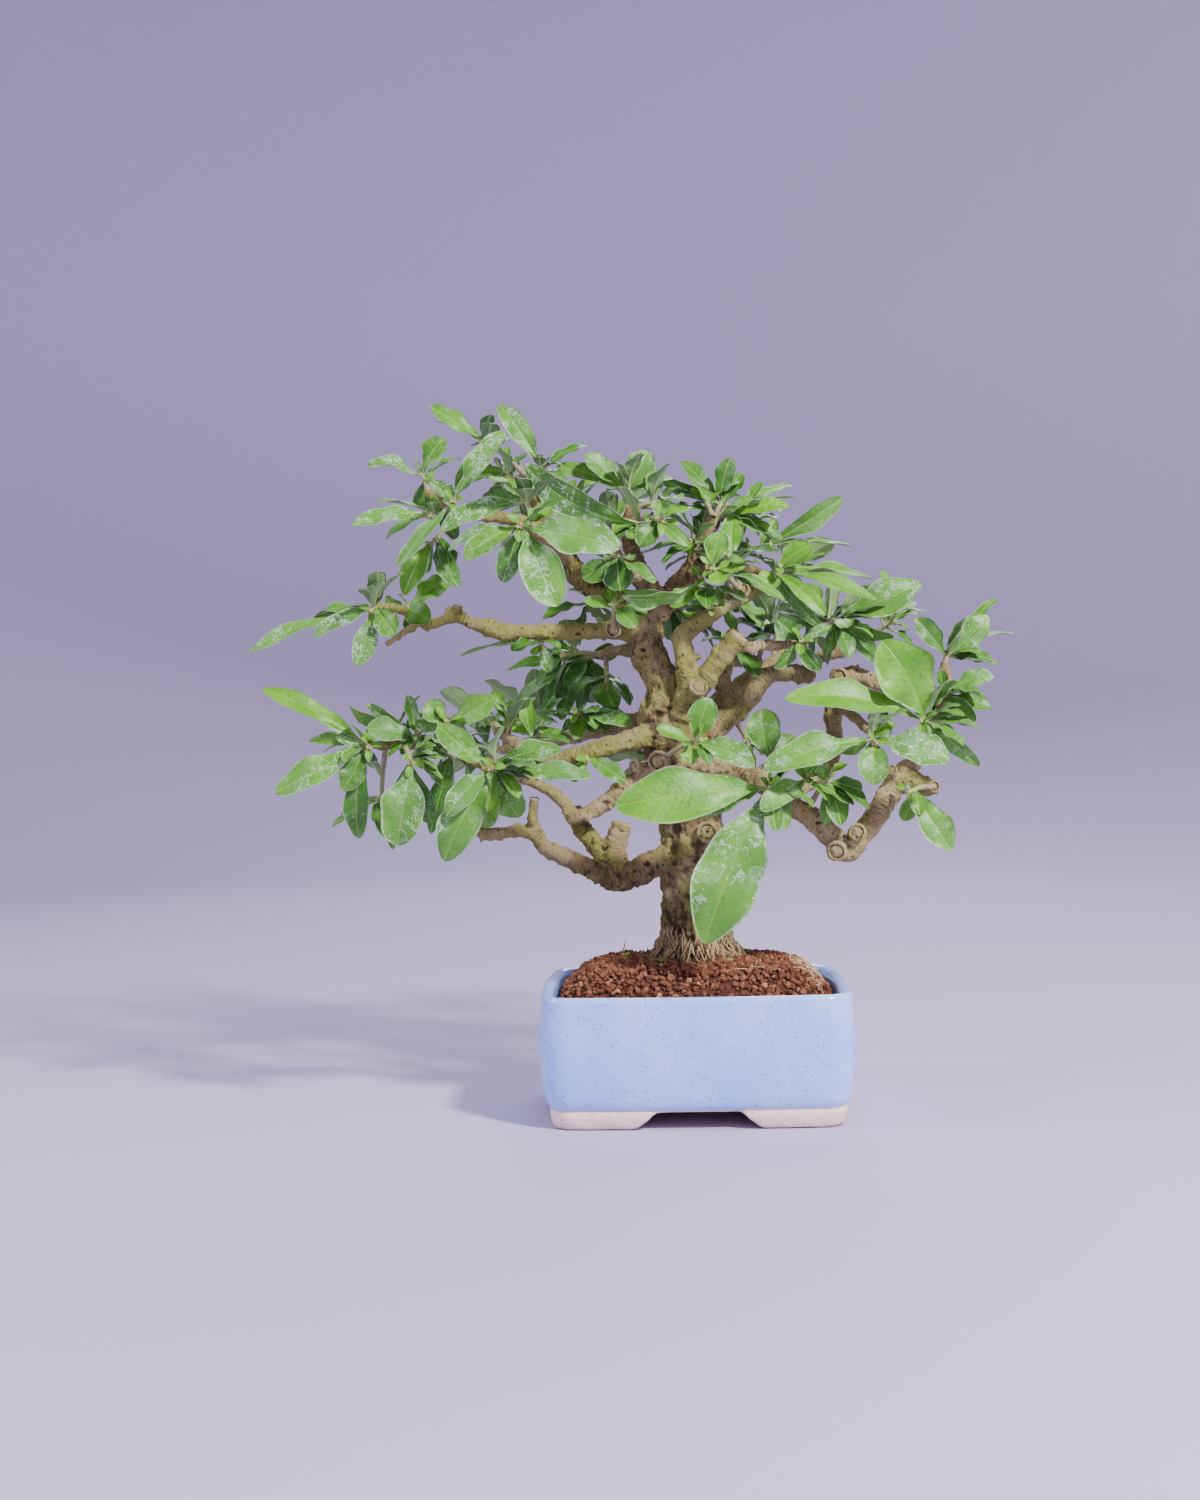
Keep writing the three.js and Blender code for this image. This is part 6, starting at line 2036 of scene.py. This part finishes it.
@dataclass
class SprayPlan:
    """Works out every leafy stem from the same measures and draws as the CAD model."""

    tip_moves: tuple[int, ...] = (0, 4, -4, 8, -8, 12, -12, 16, -16)
    golden_angle: float = pi * (3 - sqrt(5))
    first_back: float = 1.5
    next_back: float = 0.8
    sprig_reach: float = 16.0
    sprig_leaves: int = 6

    def stretches(self) -> list[tuple[Array, Array]]:
        """The straight stretches of all the wood's middle lines.

        Returns:
            The two ends of each.
        """
        lines = [TRUNK_LINE, *BRANCHES.values(), *[[root, face] for root, face, _ in CUTS]]
        pairs = []
        for line in lines:
            points = [VIEW.point(*place[:3]) for place in line]
            pairs.extend(zip(points[:-1], points[1:]))
        return pairs

    def foot_of(self, heart: Array) -> Array:
        """The point on the wood's middle lines that is nearest to a heart.

        Args:
            heart: the heart.

        Returns:
            The point.
        """
        spots = []
        for start, end in self.stretches():
            along = end - start
            share = np.clip((heart - start).dot(along) / along.dot(along), 0.0, 1.0)
            spots.append(start + along * share)
        return min(spots, key=lambda spot: float(np.linalg.norm(spot - heart)))

    def route(self, foot: Array, heart: Array) -> list[Array]:
        """A stem's way from the wood to its heart, arching up a little.

        Args:
            foot: where it leaves the wood.
            heart: where its leaves sit.

        Returns:
            The foot, a point on the way, and the heart.
        """
        middle = foot + (heart - foot) * 0.55
        middle[2] += 0.06 * np.linalg.norm(foot - heart)
        return [foot, middle, heart]

    def root_on(self, route: list[Array], order: int) -> Array:
        """Where a leaf's root sits inside the stem, each next one a little further back.

        Args:
            route: the stem's way.
            order: the leaf's number.

        Returns:
            The root.
        """
        _, middle, heart = route
        most = 0.8 * float(np.linalg.norm(heart - middle))
        back = min(self.first_back + self.next_back * order, most)
        return heart + unit(middle - heart) * back

    def front(self, draw: Draws) -> list[Spray]:
        """The leafy stems that show from the front.

        Args:
            draw: the draws.

        Returns:
            The stems.
        """
        sprays = []
        for key, (heart, foot, leaves) in SPRAYS.items():
            middle = VIEW.point(*heart)
            route = self.route(VIEW.point(*foot) if foot else self.foot_of(middle), middle)
            grown = []
            for order, (across, up, behind, width, degrees) in enumerate(leaves):
                angle = radians(degrees)
                tips = [VIEW.point(heart[0] + across, heart[1] + up, heart[2] + behind + move)
                        for move in self.tip_moves]
                facing = np.array([0.0, -sin(angle), cos(angle)])
                bend, fold = 0.03 + 0.07 * draw(), 0.12 + 0.16 * draw()
                grown.append(Leaf(self.root_on(route, order), tips, width, facing, bend, fold))
            sprays.append(Spray(key, route, grown))
        return sprays

    def along_branch(self, line: list[tuple[float, ...]], share: float) -> tuple[Array, Array]:
        """The point at a share of a branch's length, and the branch's direction there.

        Args:
            line: the branch's middle line.
            share: the share of its length.

        Returns:
            The point and the direction.
        """
        points = np.array([VIEW.point(*place[:3]) for place in line])
        lengths = np.linalg.norm(np.diff(points, axis=0), axis=1)
        left = min(share, 0.999) * lengths.sum()
        for index, length in enumerate(lengths):
            if left <= length:
                break
            left -= length
        step = points[index + 1] - points[index]
        return points[index] + step * left / lengths[index], unit(step)

    def rear(self, draw: Draws) -> list[Spray]:
        """The leafy stems of the hidden side, whose leaves spiral round them.

        Args:
            draw: the draws.

        Returns:
            The stems.
        """
        sprays = []
        for number, (branch, share, count) in enumerate(REAR_SPRAYS):
            point, direction = self.along_branch(BRANCHES[branch], share)
            lift = 1.6 if share < 1 else 0.3
            outward = unit(direction + np.array([0.5 * (draw() - 0.5), 0.25, lift]))
            heart = point + outward * (12 + 6 * draw())
            route = self.route(point, heart)
            sideways = unit(np.cross([0.0, 0.0, 1.0], outward))
            upward = np.cross(outward, sideways)
            grown = []
            for order in range(count):
                turn = order * self.golden_angle + 0.5 * draw()
                tilt = radians(45 + 40 * draw())
                length = 19 + 17 * draw()
                away = outward * cos(tilt) + sideways * sin(tilt) * cos(turn)
                away = away + upward * sin(tilt) * sin(turn)
                tips = [heart + away * length + np.array([0.0, 0.0, 0.7 * move]) for move in self.tip_moves]
                width = length * (0.34 + 0.1 * draw())
                facing = unit(np.array([0.2 * (draw() - 0.5), 0.35, 1.0]) + outward * 0.5)
                bend, fold = 0.03 + 0.07 * draw(), 0.12 + 0.16 * draw()
                grown.append(Leaf(self.root_on(route, order), tips, width, facing, bend, fold))
            sprays.append(Spray(f"rear_{number + 1}", route, grown))
        return sprays

    def inner(self, draw: Draws) -> list[Spray]:
        """The small sprigs inside the crown, whose leaves spiral round them too.

        Args:
            draw: the draws.

        Returns:
            The sprigs.
        """
        sprays = []
        for number, place in enumerate(INNER_SPRIGS):
            heart = VIEW.point(*place)
            foot = self.foot_of(heart)
            if np.linalg.norm(heart - foot) > self.sprig_reach:
                heart = foot + unit(heart - foot) * self.sprig_reach
            route = self.route(foot, heart)
            outward = unit(heart - foot + np.array([0.0, 0.0, 3.0]))
            grown = []
            for order in range(self.sprig_leaves):
                turn = order * self.golden_angle + draw()
                tilt = radians(draw.between(45.0, 95.0))
                away = outward * cos(tilt) + sin(tilt) * way_round(outward, (0.1, 0.2, 1.0), turn)
                length = draw.between(13.0, 24.0)
                facing = unit(np.array([0.4 * (draw() - 0.5), -0.3, 0.9]))
                width = length * draw.between(0.34, 0.44)
                root = self.root_on(route, order)
                grown.append(Leaf(root, [heart + away * length], width, facing, 0.06, 0.2))
            sprays.append(Spray(f"inner_{number + 1}", route, grown))
        return sprays

    def all(self) -> list[Spray]:
        """Every leafy stem, in the CAD model's order of draws."""
        draw = Draws(SEED + 1)
        return [*self.front(draw), *self.rear(draw)]


@dataclass
class LeafySprays:
    """All the leafy stems, each with its petioles, blades, buds and small young leaves."""

    plan: SprayPlan = field(default_factory=SprayPlan)
    draw: Draws = field(default_factory=lambda: Draws(SEED + 7))
    thickness: float = 0.5
    rows_small: int = 15
    rows_large: int = 24
    large: float = 34.0
    columns: tuple[float, ...] = (-1.0, -0.8, -0.52, -0.22, -0.07, 0.0, 0.07, 0.22, 0.52, 0.8, 1.0)
    few_columns: tuple[float, ...] = (-1.0, -0.62, -0.16, 0.0, 0.16, 0.62, 1.0)
    small: float = 21.0
    match: float = 0.2
    pointed_from: float = 24.0
    fill: int = 7
    young: int = 3
    sprig_young: int = 2
    bud_scales: int = 5
    margin: float = 5.0

    def tip_of(self, leaf: Leaf, corners: Array) -> Array | None:
        """The tip that a leaf has in the CAD model, or None where the CAD leaf was left out.

        Args:
            leaf: the leaf, with the tips that it may have.
            corners: the corner points of its CAD node, in millimetres.

        Returns:
            The tip.
        """
        for tip in leaf.tips:
            if np.min(np.linalg.norm(corners - tip, axis=1)) < self.match:
                return tip
        return None

    def outline(self, share: Array, widest: float, blunt: float) -> Array:
        """A blade's half breadth along its length, as a share of its greatest.

        Args:
            share: the places along the blade, from 0 to 1.
            widest: where it is widest.
            blunt: how round the tip is.

        Returns:
            The shares.
        """
        lower = 0.055 + 0.945 * np.sin(np.clip((share - 0.06) / (widest - 0.06), 0.0, 1.0) * pi / 2) ** 1.3
        past = np.clip((share - widest) / (1 - widest), 0.0, 1.0)
        round_tip = np.sqrt(np.clip(1 - past ** 2, 0.0, 1.0))
        sharp_tip = np.clip(1 - past ** 1.75, 0.0, 1.0)
        return np.where(share < widest, lower, blunt * round_tip + (1 - blunt) * sharp_tip)

    def blade(self, shape: Shape, leaf: Leaf, tip: Array, habit: Habit) -> None:
        """Adds one blade with its petiole: a closed thin skin with a rib, waved edges and a bent tip.

        Args:
            shape: the spray's shape.
            leaf: the leaf.
            tip: its tip.
            habit: how it has weathered, and how much painted shade it takes.
        """
        draw = self.draw
        chord = tip - leaf.root
        length = float(np.linalg.norm(chord))
        along = chord / length
        normal = unit(leaf.facing - along * leaf.facing.dot(along))
        left = np.cross(normal, along)
        small = length < self.small
        rows = 11 if small else self.rows_large if length > self.large else self.rows_small
        share = 1 - (1 - np.linspace(0.0, 1.0, rows)) ** 1.35
        share = 0.5 * share + 0.5 * np.sin(np.linspace(0, pi / 2, rows))
        pointed = length > self.pointed_from
        widest = draw.between(0.56, 0.66) if pointed else draw.between(0.60, 0.70)
        blunt = draw.between(0.5, 1.0) if pointed else draw.between(0.75, 1.0)
        half = leaf.width / 2 * self.outline(share, widest, blunt) * 1.04
        half[-1] = 0.02 * leaf.width
        side = np.array(self.few_columns if small else self.columns)
        wave_count, phase_left, phase_right = draw.between(1.6, 3.2), 7 * draw(), 7 * draw()
        wave_height = draw.between(0.07, 0.19) * leaf.width
        scallop = draw.between(0.03, 0.11)
        curl = draw.between(-0.11, 0.04) * length
        twist = draw.between(-0.45, 0.45)
        sway = draw.between(-0.045, 0.045) * length
        grid_share, grid_side = np.meshgrid(share, side, indexing="ij")
        phase = np.where(grid_side > 0, phase_left, phase_right)
        beat = np.sin(2 * pi * wave_count * grid_share + phase)
        reach = half[:, None] * grid_side * (1 + scallop * beat * np.clip(1.2 - grid_share, 0, 1))
        turn = twist * (grid_share - 0.35) * np.clip(grid_share * 3, 0, 1)
        edge = wave_height * np.abs(grid_side) ** 2.2 * beat
        edge *= np.clip(1.3 - grid_share, 0, 1) * np.clip(grid_share * 4, 0, 1)
        off_rib = np.abs(reach)
        ripple = 0.03 * np.sin(1.9 * (grid_share * length - 0.75 * off_rib)) * np.clip(off_rib, 0, 1)
        lift = leaf.bend * length * 4 * grid_share * (1 - grid_share)
        lift = lift + curl * np.clip(grid_share - 0.6, 0, 1) ** 2 * 4
        lift = lift + leaf.fold * off_rib ** 1.25 / max(leaf.width / 2, 1.0) ** 0.25 + edge + ripple
        lift = lift + reach * np.sin(turn)
        bow = sway * 4 * grid_share * (1 - grid_share)
        centre = leaf.root + (grid_share * length)[..., None] * along + lift[..., None] * normal
        centre = centre + (reach * np.cos(turn) + bow)[..., None] * left
        rib = np.exp(-((reach / 0.5) ** 2)) * np.clip(1.1 - grid_share, 0.1, 1)
        body = self.thickness / 2 * (1 - 0.75 * np.abs(grid_side) ** 4)
        top = centre + (body - 0.16 * rib)[..., None] * normal
        under = centre - (body + 0.42 * rib)[..., None] * normal
        count, wide = len(share), len(side)
        points = np.concatenate([top.reshape(-1, 3), under.reshape(-1, 3)])
        offset = count * wide
        top_faces = [face[::-1] for face in grid_faces(count, wide, False)]
        under_faces = [tuple(offset + index for index in face[::-1]) for face in top_faces]
        rim = [row * wide for row in range(count)]
        rim += [(count - 1) * wide + column for column in range(1, wide)]
        rim += [row * wide + wide - 1 for row in range(count - 2, -1, -1)]
        rim += [column for column in range(wide - 2, 0, -1)]
        rim_faces = []
        for index, here in enumerate(rim):
            beside = rim[(index + 1) % len(rim)]
            rim_faces.append((here, beside, offset + beside, offset + here))
        tint = np.array(habit.value) + np.array([0.24 * (draw() - 0.5), 0.2 * (draw() - 0.5), 0.0])
        flat = np.ones(offset)
        millimetres = np.stack([(grid_share * length).ravel(), reach.ravel(), flat * length], axis=1)
        shares = np.stack([grid_share.ravel(), grid_side.ravel(), flat * draw()], axis=1)
        look = np.tile(np.clip(tint, 0, 1), (offset, 1))
        stem = np.tile([1.0, 0.2, 0.6], (offset, 1))
        values = {"blade_mm": millimetres, "blade_share": shares, "blade_look": look, "stem_look": stem}
        values = {name: np.tile(rows, (2, 1)) for name, rows in values.items()}
        start = shape.count
        shape.add(points, top_faces, 0, **values)
        for faces, material in ((under_faces, 1), (rim_faces, 0)):
            shape.faces.extend(tuple(start + index for index in face) for face in faces)
            shape.materials.extend([material] * len(faces))
        self.petiole(shape, leaf.root, centre[int(0.3 * count), wide // 2], normal)

    def petiole(self, shape: Shape, root: Array, end: Array, normal: Array) -> None:
        """Adds a leaf's short stalk, which runs on as the rib's foot.

        Args:
            shape: the shape to add to.
            root: where it leaves the stem.
            end: where the rib goes on.
            normal: the way that the blade faces.
        """
        middle = root + (end - root) * 0.5 - normal * 0.25
        line = smooth_line(np.array([root, middle, end - normal * 0.1]), 1.2)
        radii = np.linspace(0.62, 0.3, len(line))
        self.twig(shape, line, radii, 6, np.linspace(0.75, 1.0, len(line)), 0.25, 0.7)

    def twig(self, shape: Shape, line: Array, radii: Array, sides: int, share: Array, pink: float,
             pale: float) -> None:
        """Adds a thin round twig.

        Args:
            shape: the shape to add to.
            line: its middle line.
            radii: its radius along the line.
            sides: its number of sides.
            share: how young it is along the line, from 0 to 1.
            pink: how flushed it is.
            pale: how pale green it is.
        """
        rings = tube_rings(line, radii, sides)
        points, faces = lofted(rings)
        looks = np.array([[young, pink, pale] for young in share for _ in range(sides)])
        looks = np.concatenate([looks, looks[:1], looks[-1:]])
        blank = np.zeros((len(points), 3))
        shape.add(points, faces, 2, blade_mm=blank, blade_share=blank, blade_look=blank, stem_look=looks)

    def stem(self, shape: Shape, spray: Spray, pink: float) -> None:
        """Adds the woody stem with its nodes, and the scaly bud at its heart.

        Args:
            shape: the shape to add to.
            spray: the leafy stem.
            pink: how flushed its bud is.
        """
        line = smooth_line(np.array(spray.route), 0.9)
        share = np.linspace(0, 1, len(line))
        knots = 0.22 * np.clip(np.sin(share * len(line) * 0.9 / 1.3 * pi), 0, 1) ** 6
        radii = 1.3 + (0.85 - 1.3) * share + knots
        self.twig(shape, line, radii, 10, share, 0.0, 0.0)
        heart, outward = line[-1], unit(line[-1] - line[-3])
        for number in range(self.bud_scales):
            lean = outward + 0.45 * way_round(outward, (0.3, 0.1, 1.0), number * self.plan.golden_angle)
            tip = heart + unit(lean) * self.draw.between(2.2, 3.6)
            bud = smooth_line(np.array([heart - outward * 0.6, (heart + tip) / 2 + lean * 0.2, tip]), 0.7)
            radii = 0.75 * np.sin(np.linspace(0.25, 1, len(bud)) * pi) ** 0.7 + 0.08
            self.twig(shape, bud, radii, 6, np.full(len(bud), 0.8), pink, 0.15)

    def young_leaves(self, shape: Shape, spray: Spray, count: int) -> None:
        """Adds small new leaves round the heart, between the grown ones.

        Args:
            shape: the shape to add to.
            spray: the leafy stem.
            count: how many.
        """
        heart = spray.route[-1]
        outward = unit(spray.route[2] - spray.route[1])
        for number in range(count):
            angle = 1.3 + number * self.plan.golden_angle * 1.7 + 0.6 * self.draw()
            away = unit(outward * 0.9 + way_round(outward, (0.2, 0.3, 1.0), angle))
            length = self.draw.between(5.5, 9.5)
            root = heart - outward * 0.8
            facing = unit(outward * 0.8 + np.array([0.0, -0.3, 0.7]))
            leaf = Leaf(root, [], length * 0.42, facing, 0.08, 0.25)
            self.blade(shape, leaf, root + away * length, Habit.FRESH)

    def fill_leaves(self, shape: Shape, spray: Spray, node: str) -> None:
        """Adds middling leaves behind the grown ones, none of which reach out of the node's box.

        Args:
            shape: the spray's shape.
            spray: the leafy stem.
            node: its CAD node.
        """
        low, high = [np.array(corner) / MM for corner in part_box(node)]
        heart = spray.route[-1]
        outward = unit(spray.route[2] - spray.route[1])
        most_back = 0.7 * float(np.linalg.norm(spray.route[2] - spray.route[1]))
        added = 0
        for number in range(self.fill * 4):
            angle = 0.6 + number * self.plan.golden_angle + 0.7 * self.draw()
            tilt = radians(self.draw.between(50.0, 100.0))
            away = outward * cos(tilt) + way_round(outward, (0.1, 0.3, 1.0), angle) * sin(tilt)
            away = unit(away + np.array([0.0, 0.35, 0.0]))
            length = self.draw.between(11.0, 23.0)
            back = min(self.draw.between(1.0, 6.0), most_back)
            root = heart - outward * back
            tip = root + away * length
            width, blade_bend = length * self.draw.between(0.34, 0.44), self.draw.between(0.03, 0.10)
            habit = HABITS[FILL_HABITS[int(4 * self.draw())]]
            if added == self.fill or (tip < low - self.margin).any() or (tip > high + self.margin).any():
                continue
            facing = unit(np.array([0.3 * (self.draw() - 0.5), -0.35, 0.9]))
            self.blade(shape, Leaf(root, [], width, facing, blade_bend, 0.2), tip, habit)
            added += 1

    def build(self) -> None:
        """Makes each leafy stem in place of its CAD node."""
        materials = [LeafUpper().material(), LeafUnder().material(), YoungStem().material()]
        for spray in self.plan.all():
            node = f"spray_{spray.name}"
            corners = mesh_points(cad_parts[node].data)
            habits = LEAF_HABITS.get(spray.name, "")
            shape = Shape()
            missing = 0
            for order, leaf in enumerate(spray.leaves):
                tip = self.tip_of(leaf, corners)
                chance = COMMON_HABITS[int(self.draw() * len(COMMON_HABITS))]
                if tip is None:
                    missing += 1
                    continue
                self.blade(shape, leaf, tip, HABITS[habits[order] if order < len(habits) else chance])
            pink = 0.8 if spray.name in PINK_STEMS else self.draw.between(0.1, 0.5)
            self.stem(shape, spray, pink)
            self.young_leaves(shape, spray, self.young)
            self.fill_leaves(shape, spray, node)
            finished(shape.build(f"{node}_leaves", materials), Slot.LEAF, node)
            if missing:
                LOG.info("%s: %d leaves left out, as in the CAD model", node, missing)
        for spray in self.plan.inner(Draws(SEED + 5)):
            shape = Shape()
            for leaf, letter in zip(spray.leaves, SPRIG_HABITS):
                self.blade(shape, leaf, leaf.tips[0], HABITS[letter])
            self.stem(shape, spray, 0.3)
            self.young_leaves(shape, spray, self.sprig_young)
            finished(shape.build(f"sprig_{spray.name}", materials), Slot.LEAF)


# Studio


@dataclass(frozen=True)
class PaleFloor(Finish):
    """A plain pale, faintly lavender studio floor."""

    name: str = "pale_floor"
    roughness: float = 0.9
    specular: float = 0.2

    def dress(self, nodes: Nodes) -> None:
        """The floor, all one colour."""
        nodes.paint((0.47, 0.42, 0.60))


@dataclass
class Studio:
    """The round floor that curves up into a backdrop, three soft lights and the camera."""

    floor_reach: float = 1.4
    sweep: float = 0.9
    backdrop_height: float = 2.6
    around: int = 120
    round_below: float = 0.25
    aim_height: float = 0.14

    def floor(self) -> None:
        """The round floor, turned up on all sides in a wide curve."""
        rows = [(self.floor_reach / 2, 0.0)]
        for step in range(17):
            angle = pi / 2 * step / 16
            rows.append((self.floor_reach + self.sweep * sin(angle), self.sweep * (1 - cos(angle))))
        rows.append((self.floor_reach + self.sweep, self.backdrop_height))
        mesh = bpy.data.meshes.new("studio_floor")
        turns = [2 * pi * step / self.around for step in range(self.around)]
        points = [(reach * cos(turn), reach * sin(turn), height) for reach, height in rows for turn in turns]
        faces = [face[::-1] for face in grid_faces(len(rows), self.around, True)]
        faces.append(tuple(range(self.around)))
        mesh.from_pydata(points, [], faces)
        mesh.materials.append(PaleFloor().material())
        shade(mesh)
        floor = bpy.data.objects.new("studio_floor", mesh)
        bpy.context.scene.collection.objects.link(floor)

    def light(self, name: str, place: tuple[float, float, float], size: float, power: float,
              tint: tuple[float, float, float]) -> None:
        """Adds a soft square light that faces the tree, or a soft round lamp where it is small.

        Args:
            name: the light's name.
            place: where it stands, in metres.
            size: its side, or the lamp's width, in metres.
            power: its power in watts.
            tint: its colour.
        """
        round_lamp = size < self.round_below
        lamp = bpy.data.lights.new(name, "POINT" if round_lamp else "AREA")
        if round_lamp:
            lamp.shadow_soft_size = size / 2
        else:
            lamp.size = size
        lamp.energy = power
        lamp.color = tint
        stand = bpy.data.objects.new(name, lamp)
        stand.location = place
        aim = Vector((0.0, 0.0, self.aim_height)) - Vector(place)
        stand.rotation_euler = aim.to_track_quat("-Z", "Y").to_euler()
        bpy.context.scene.collection.objects.link(stand)

    def camera(self) -> None:
        """The camera, at the place and angle that the tree was measured from."""
        data = bpy.data.cameras.new("front_camera")
        data.sensor_fit = "HORIZONTAL"
        data.sensor_width = 36.0
        data.lens = data.sensor_width * VIEW.focal / VIEW.frame_width
        data.clip_start = 0.01
        data.clip_end = 20.0
        camera = bpy.data.objects.new("front_camera", data)
        forward = Vector((-sin(VIEW.pan), cos(VIEW.pan), 0.0))
        look = forward.to_track_quat("-Z", "Y").to_matrix().to_4x4()
        roll = Matrix.Rotation(-VIEW.lean, 4, "Z")
        eye = (np.array([VIEW.eye_x, -VIEW.eye_distance, VIEW.eye_height]) + SHIFT) * MM
        camera.matrix_world = Matrix.Translation(Vector(eye)) @ look @ roll
        bpy.context.scene.collection.objects.link(camera)
        bpy.context.scene.camera = camera

    def surroundings(self) -> None:
        """An even, faint light from all round."""
        world = bpy.data.worlds.new("studio_air")
        world.use_nodes = True
        background = world.node_tree.nodes["Background"]
        background.inputs["Color"].default_value = (0.72, 0.70, 0.85, 1.0)
        background.inputs["Strength"].default_value = 0.13
        bpy.context.scene.world = world

    def build(self) -> None:
        """Sets the floor, the lights and the camera up."""
        self.floor()
        self.light("key_light", (0.70, -0.80, 0.95), 0.14, 144.0, (1.0, 0.97, 0.94))
        self.light("side_light", (-0.95, -0.25, 0.70), 0.3, 8.0, (0.93, 0.94, 1.0))
        self.light("rear_light", (0.2, 1.3, 1.1), 0.9, 18.0, (0.95, 0.95, 1.0))
        self.camera()
        self.surroundings()


def corners(box: object) -> list[list[float]]:
    """A box's lowest and highest corners as plain lists."""
    return [[float(number) for number in corner] for corner in box]


def main() -> None:
    """Builds every piece round the frame."""
    logging.basicConfig(level=logging.INFO, format="%(message)s")
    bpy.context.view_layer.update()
    Studio().build()
    Pot().build()
    dress_drain_meshes()
    ClayFilling().build()
    GrownWood().build()
    LeafySprays().build()


if __name__ == "__main__":
    main()
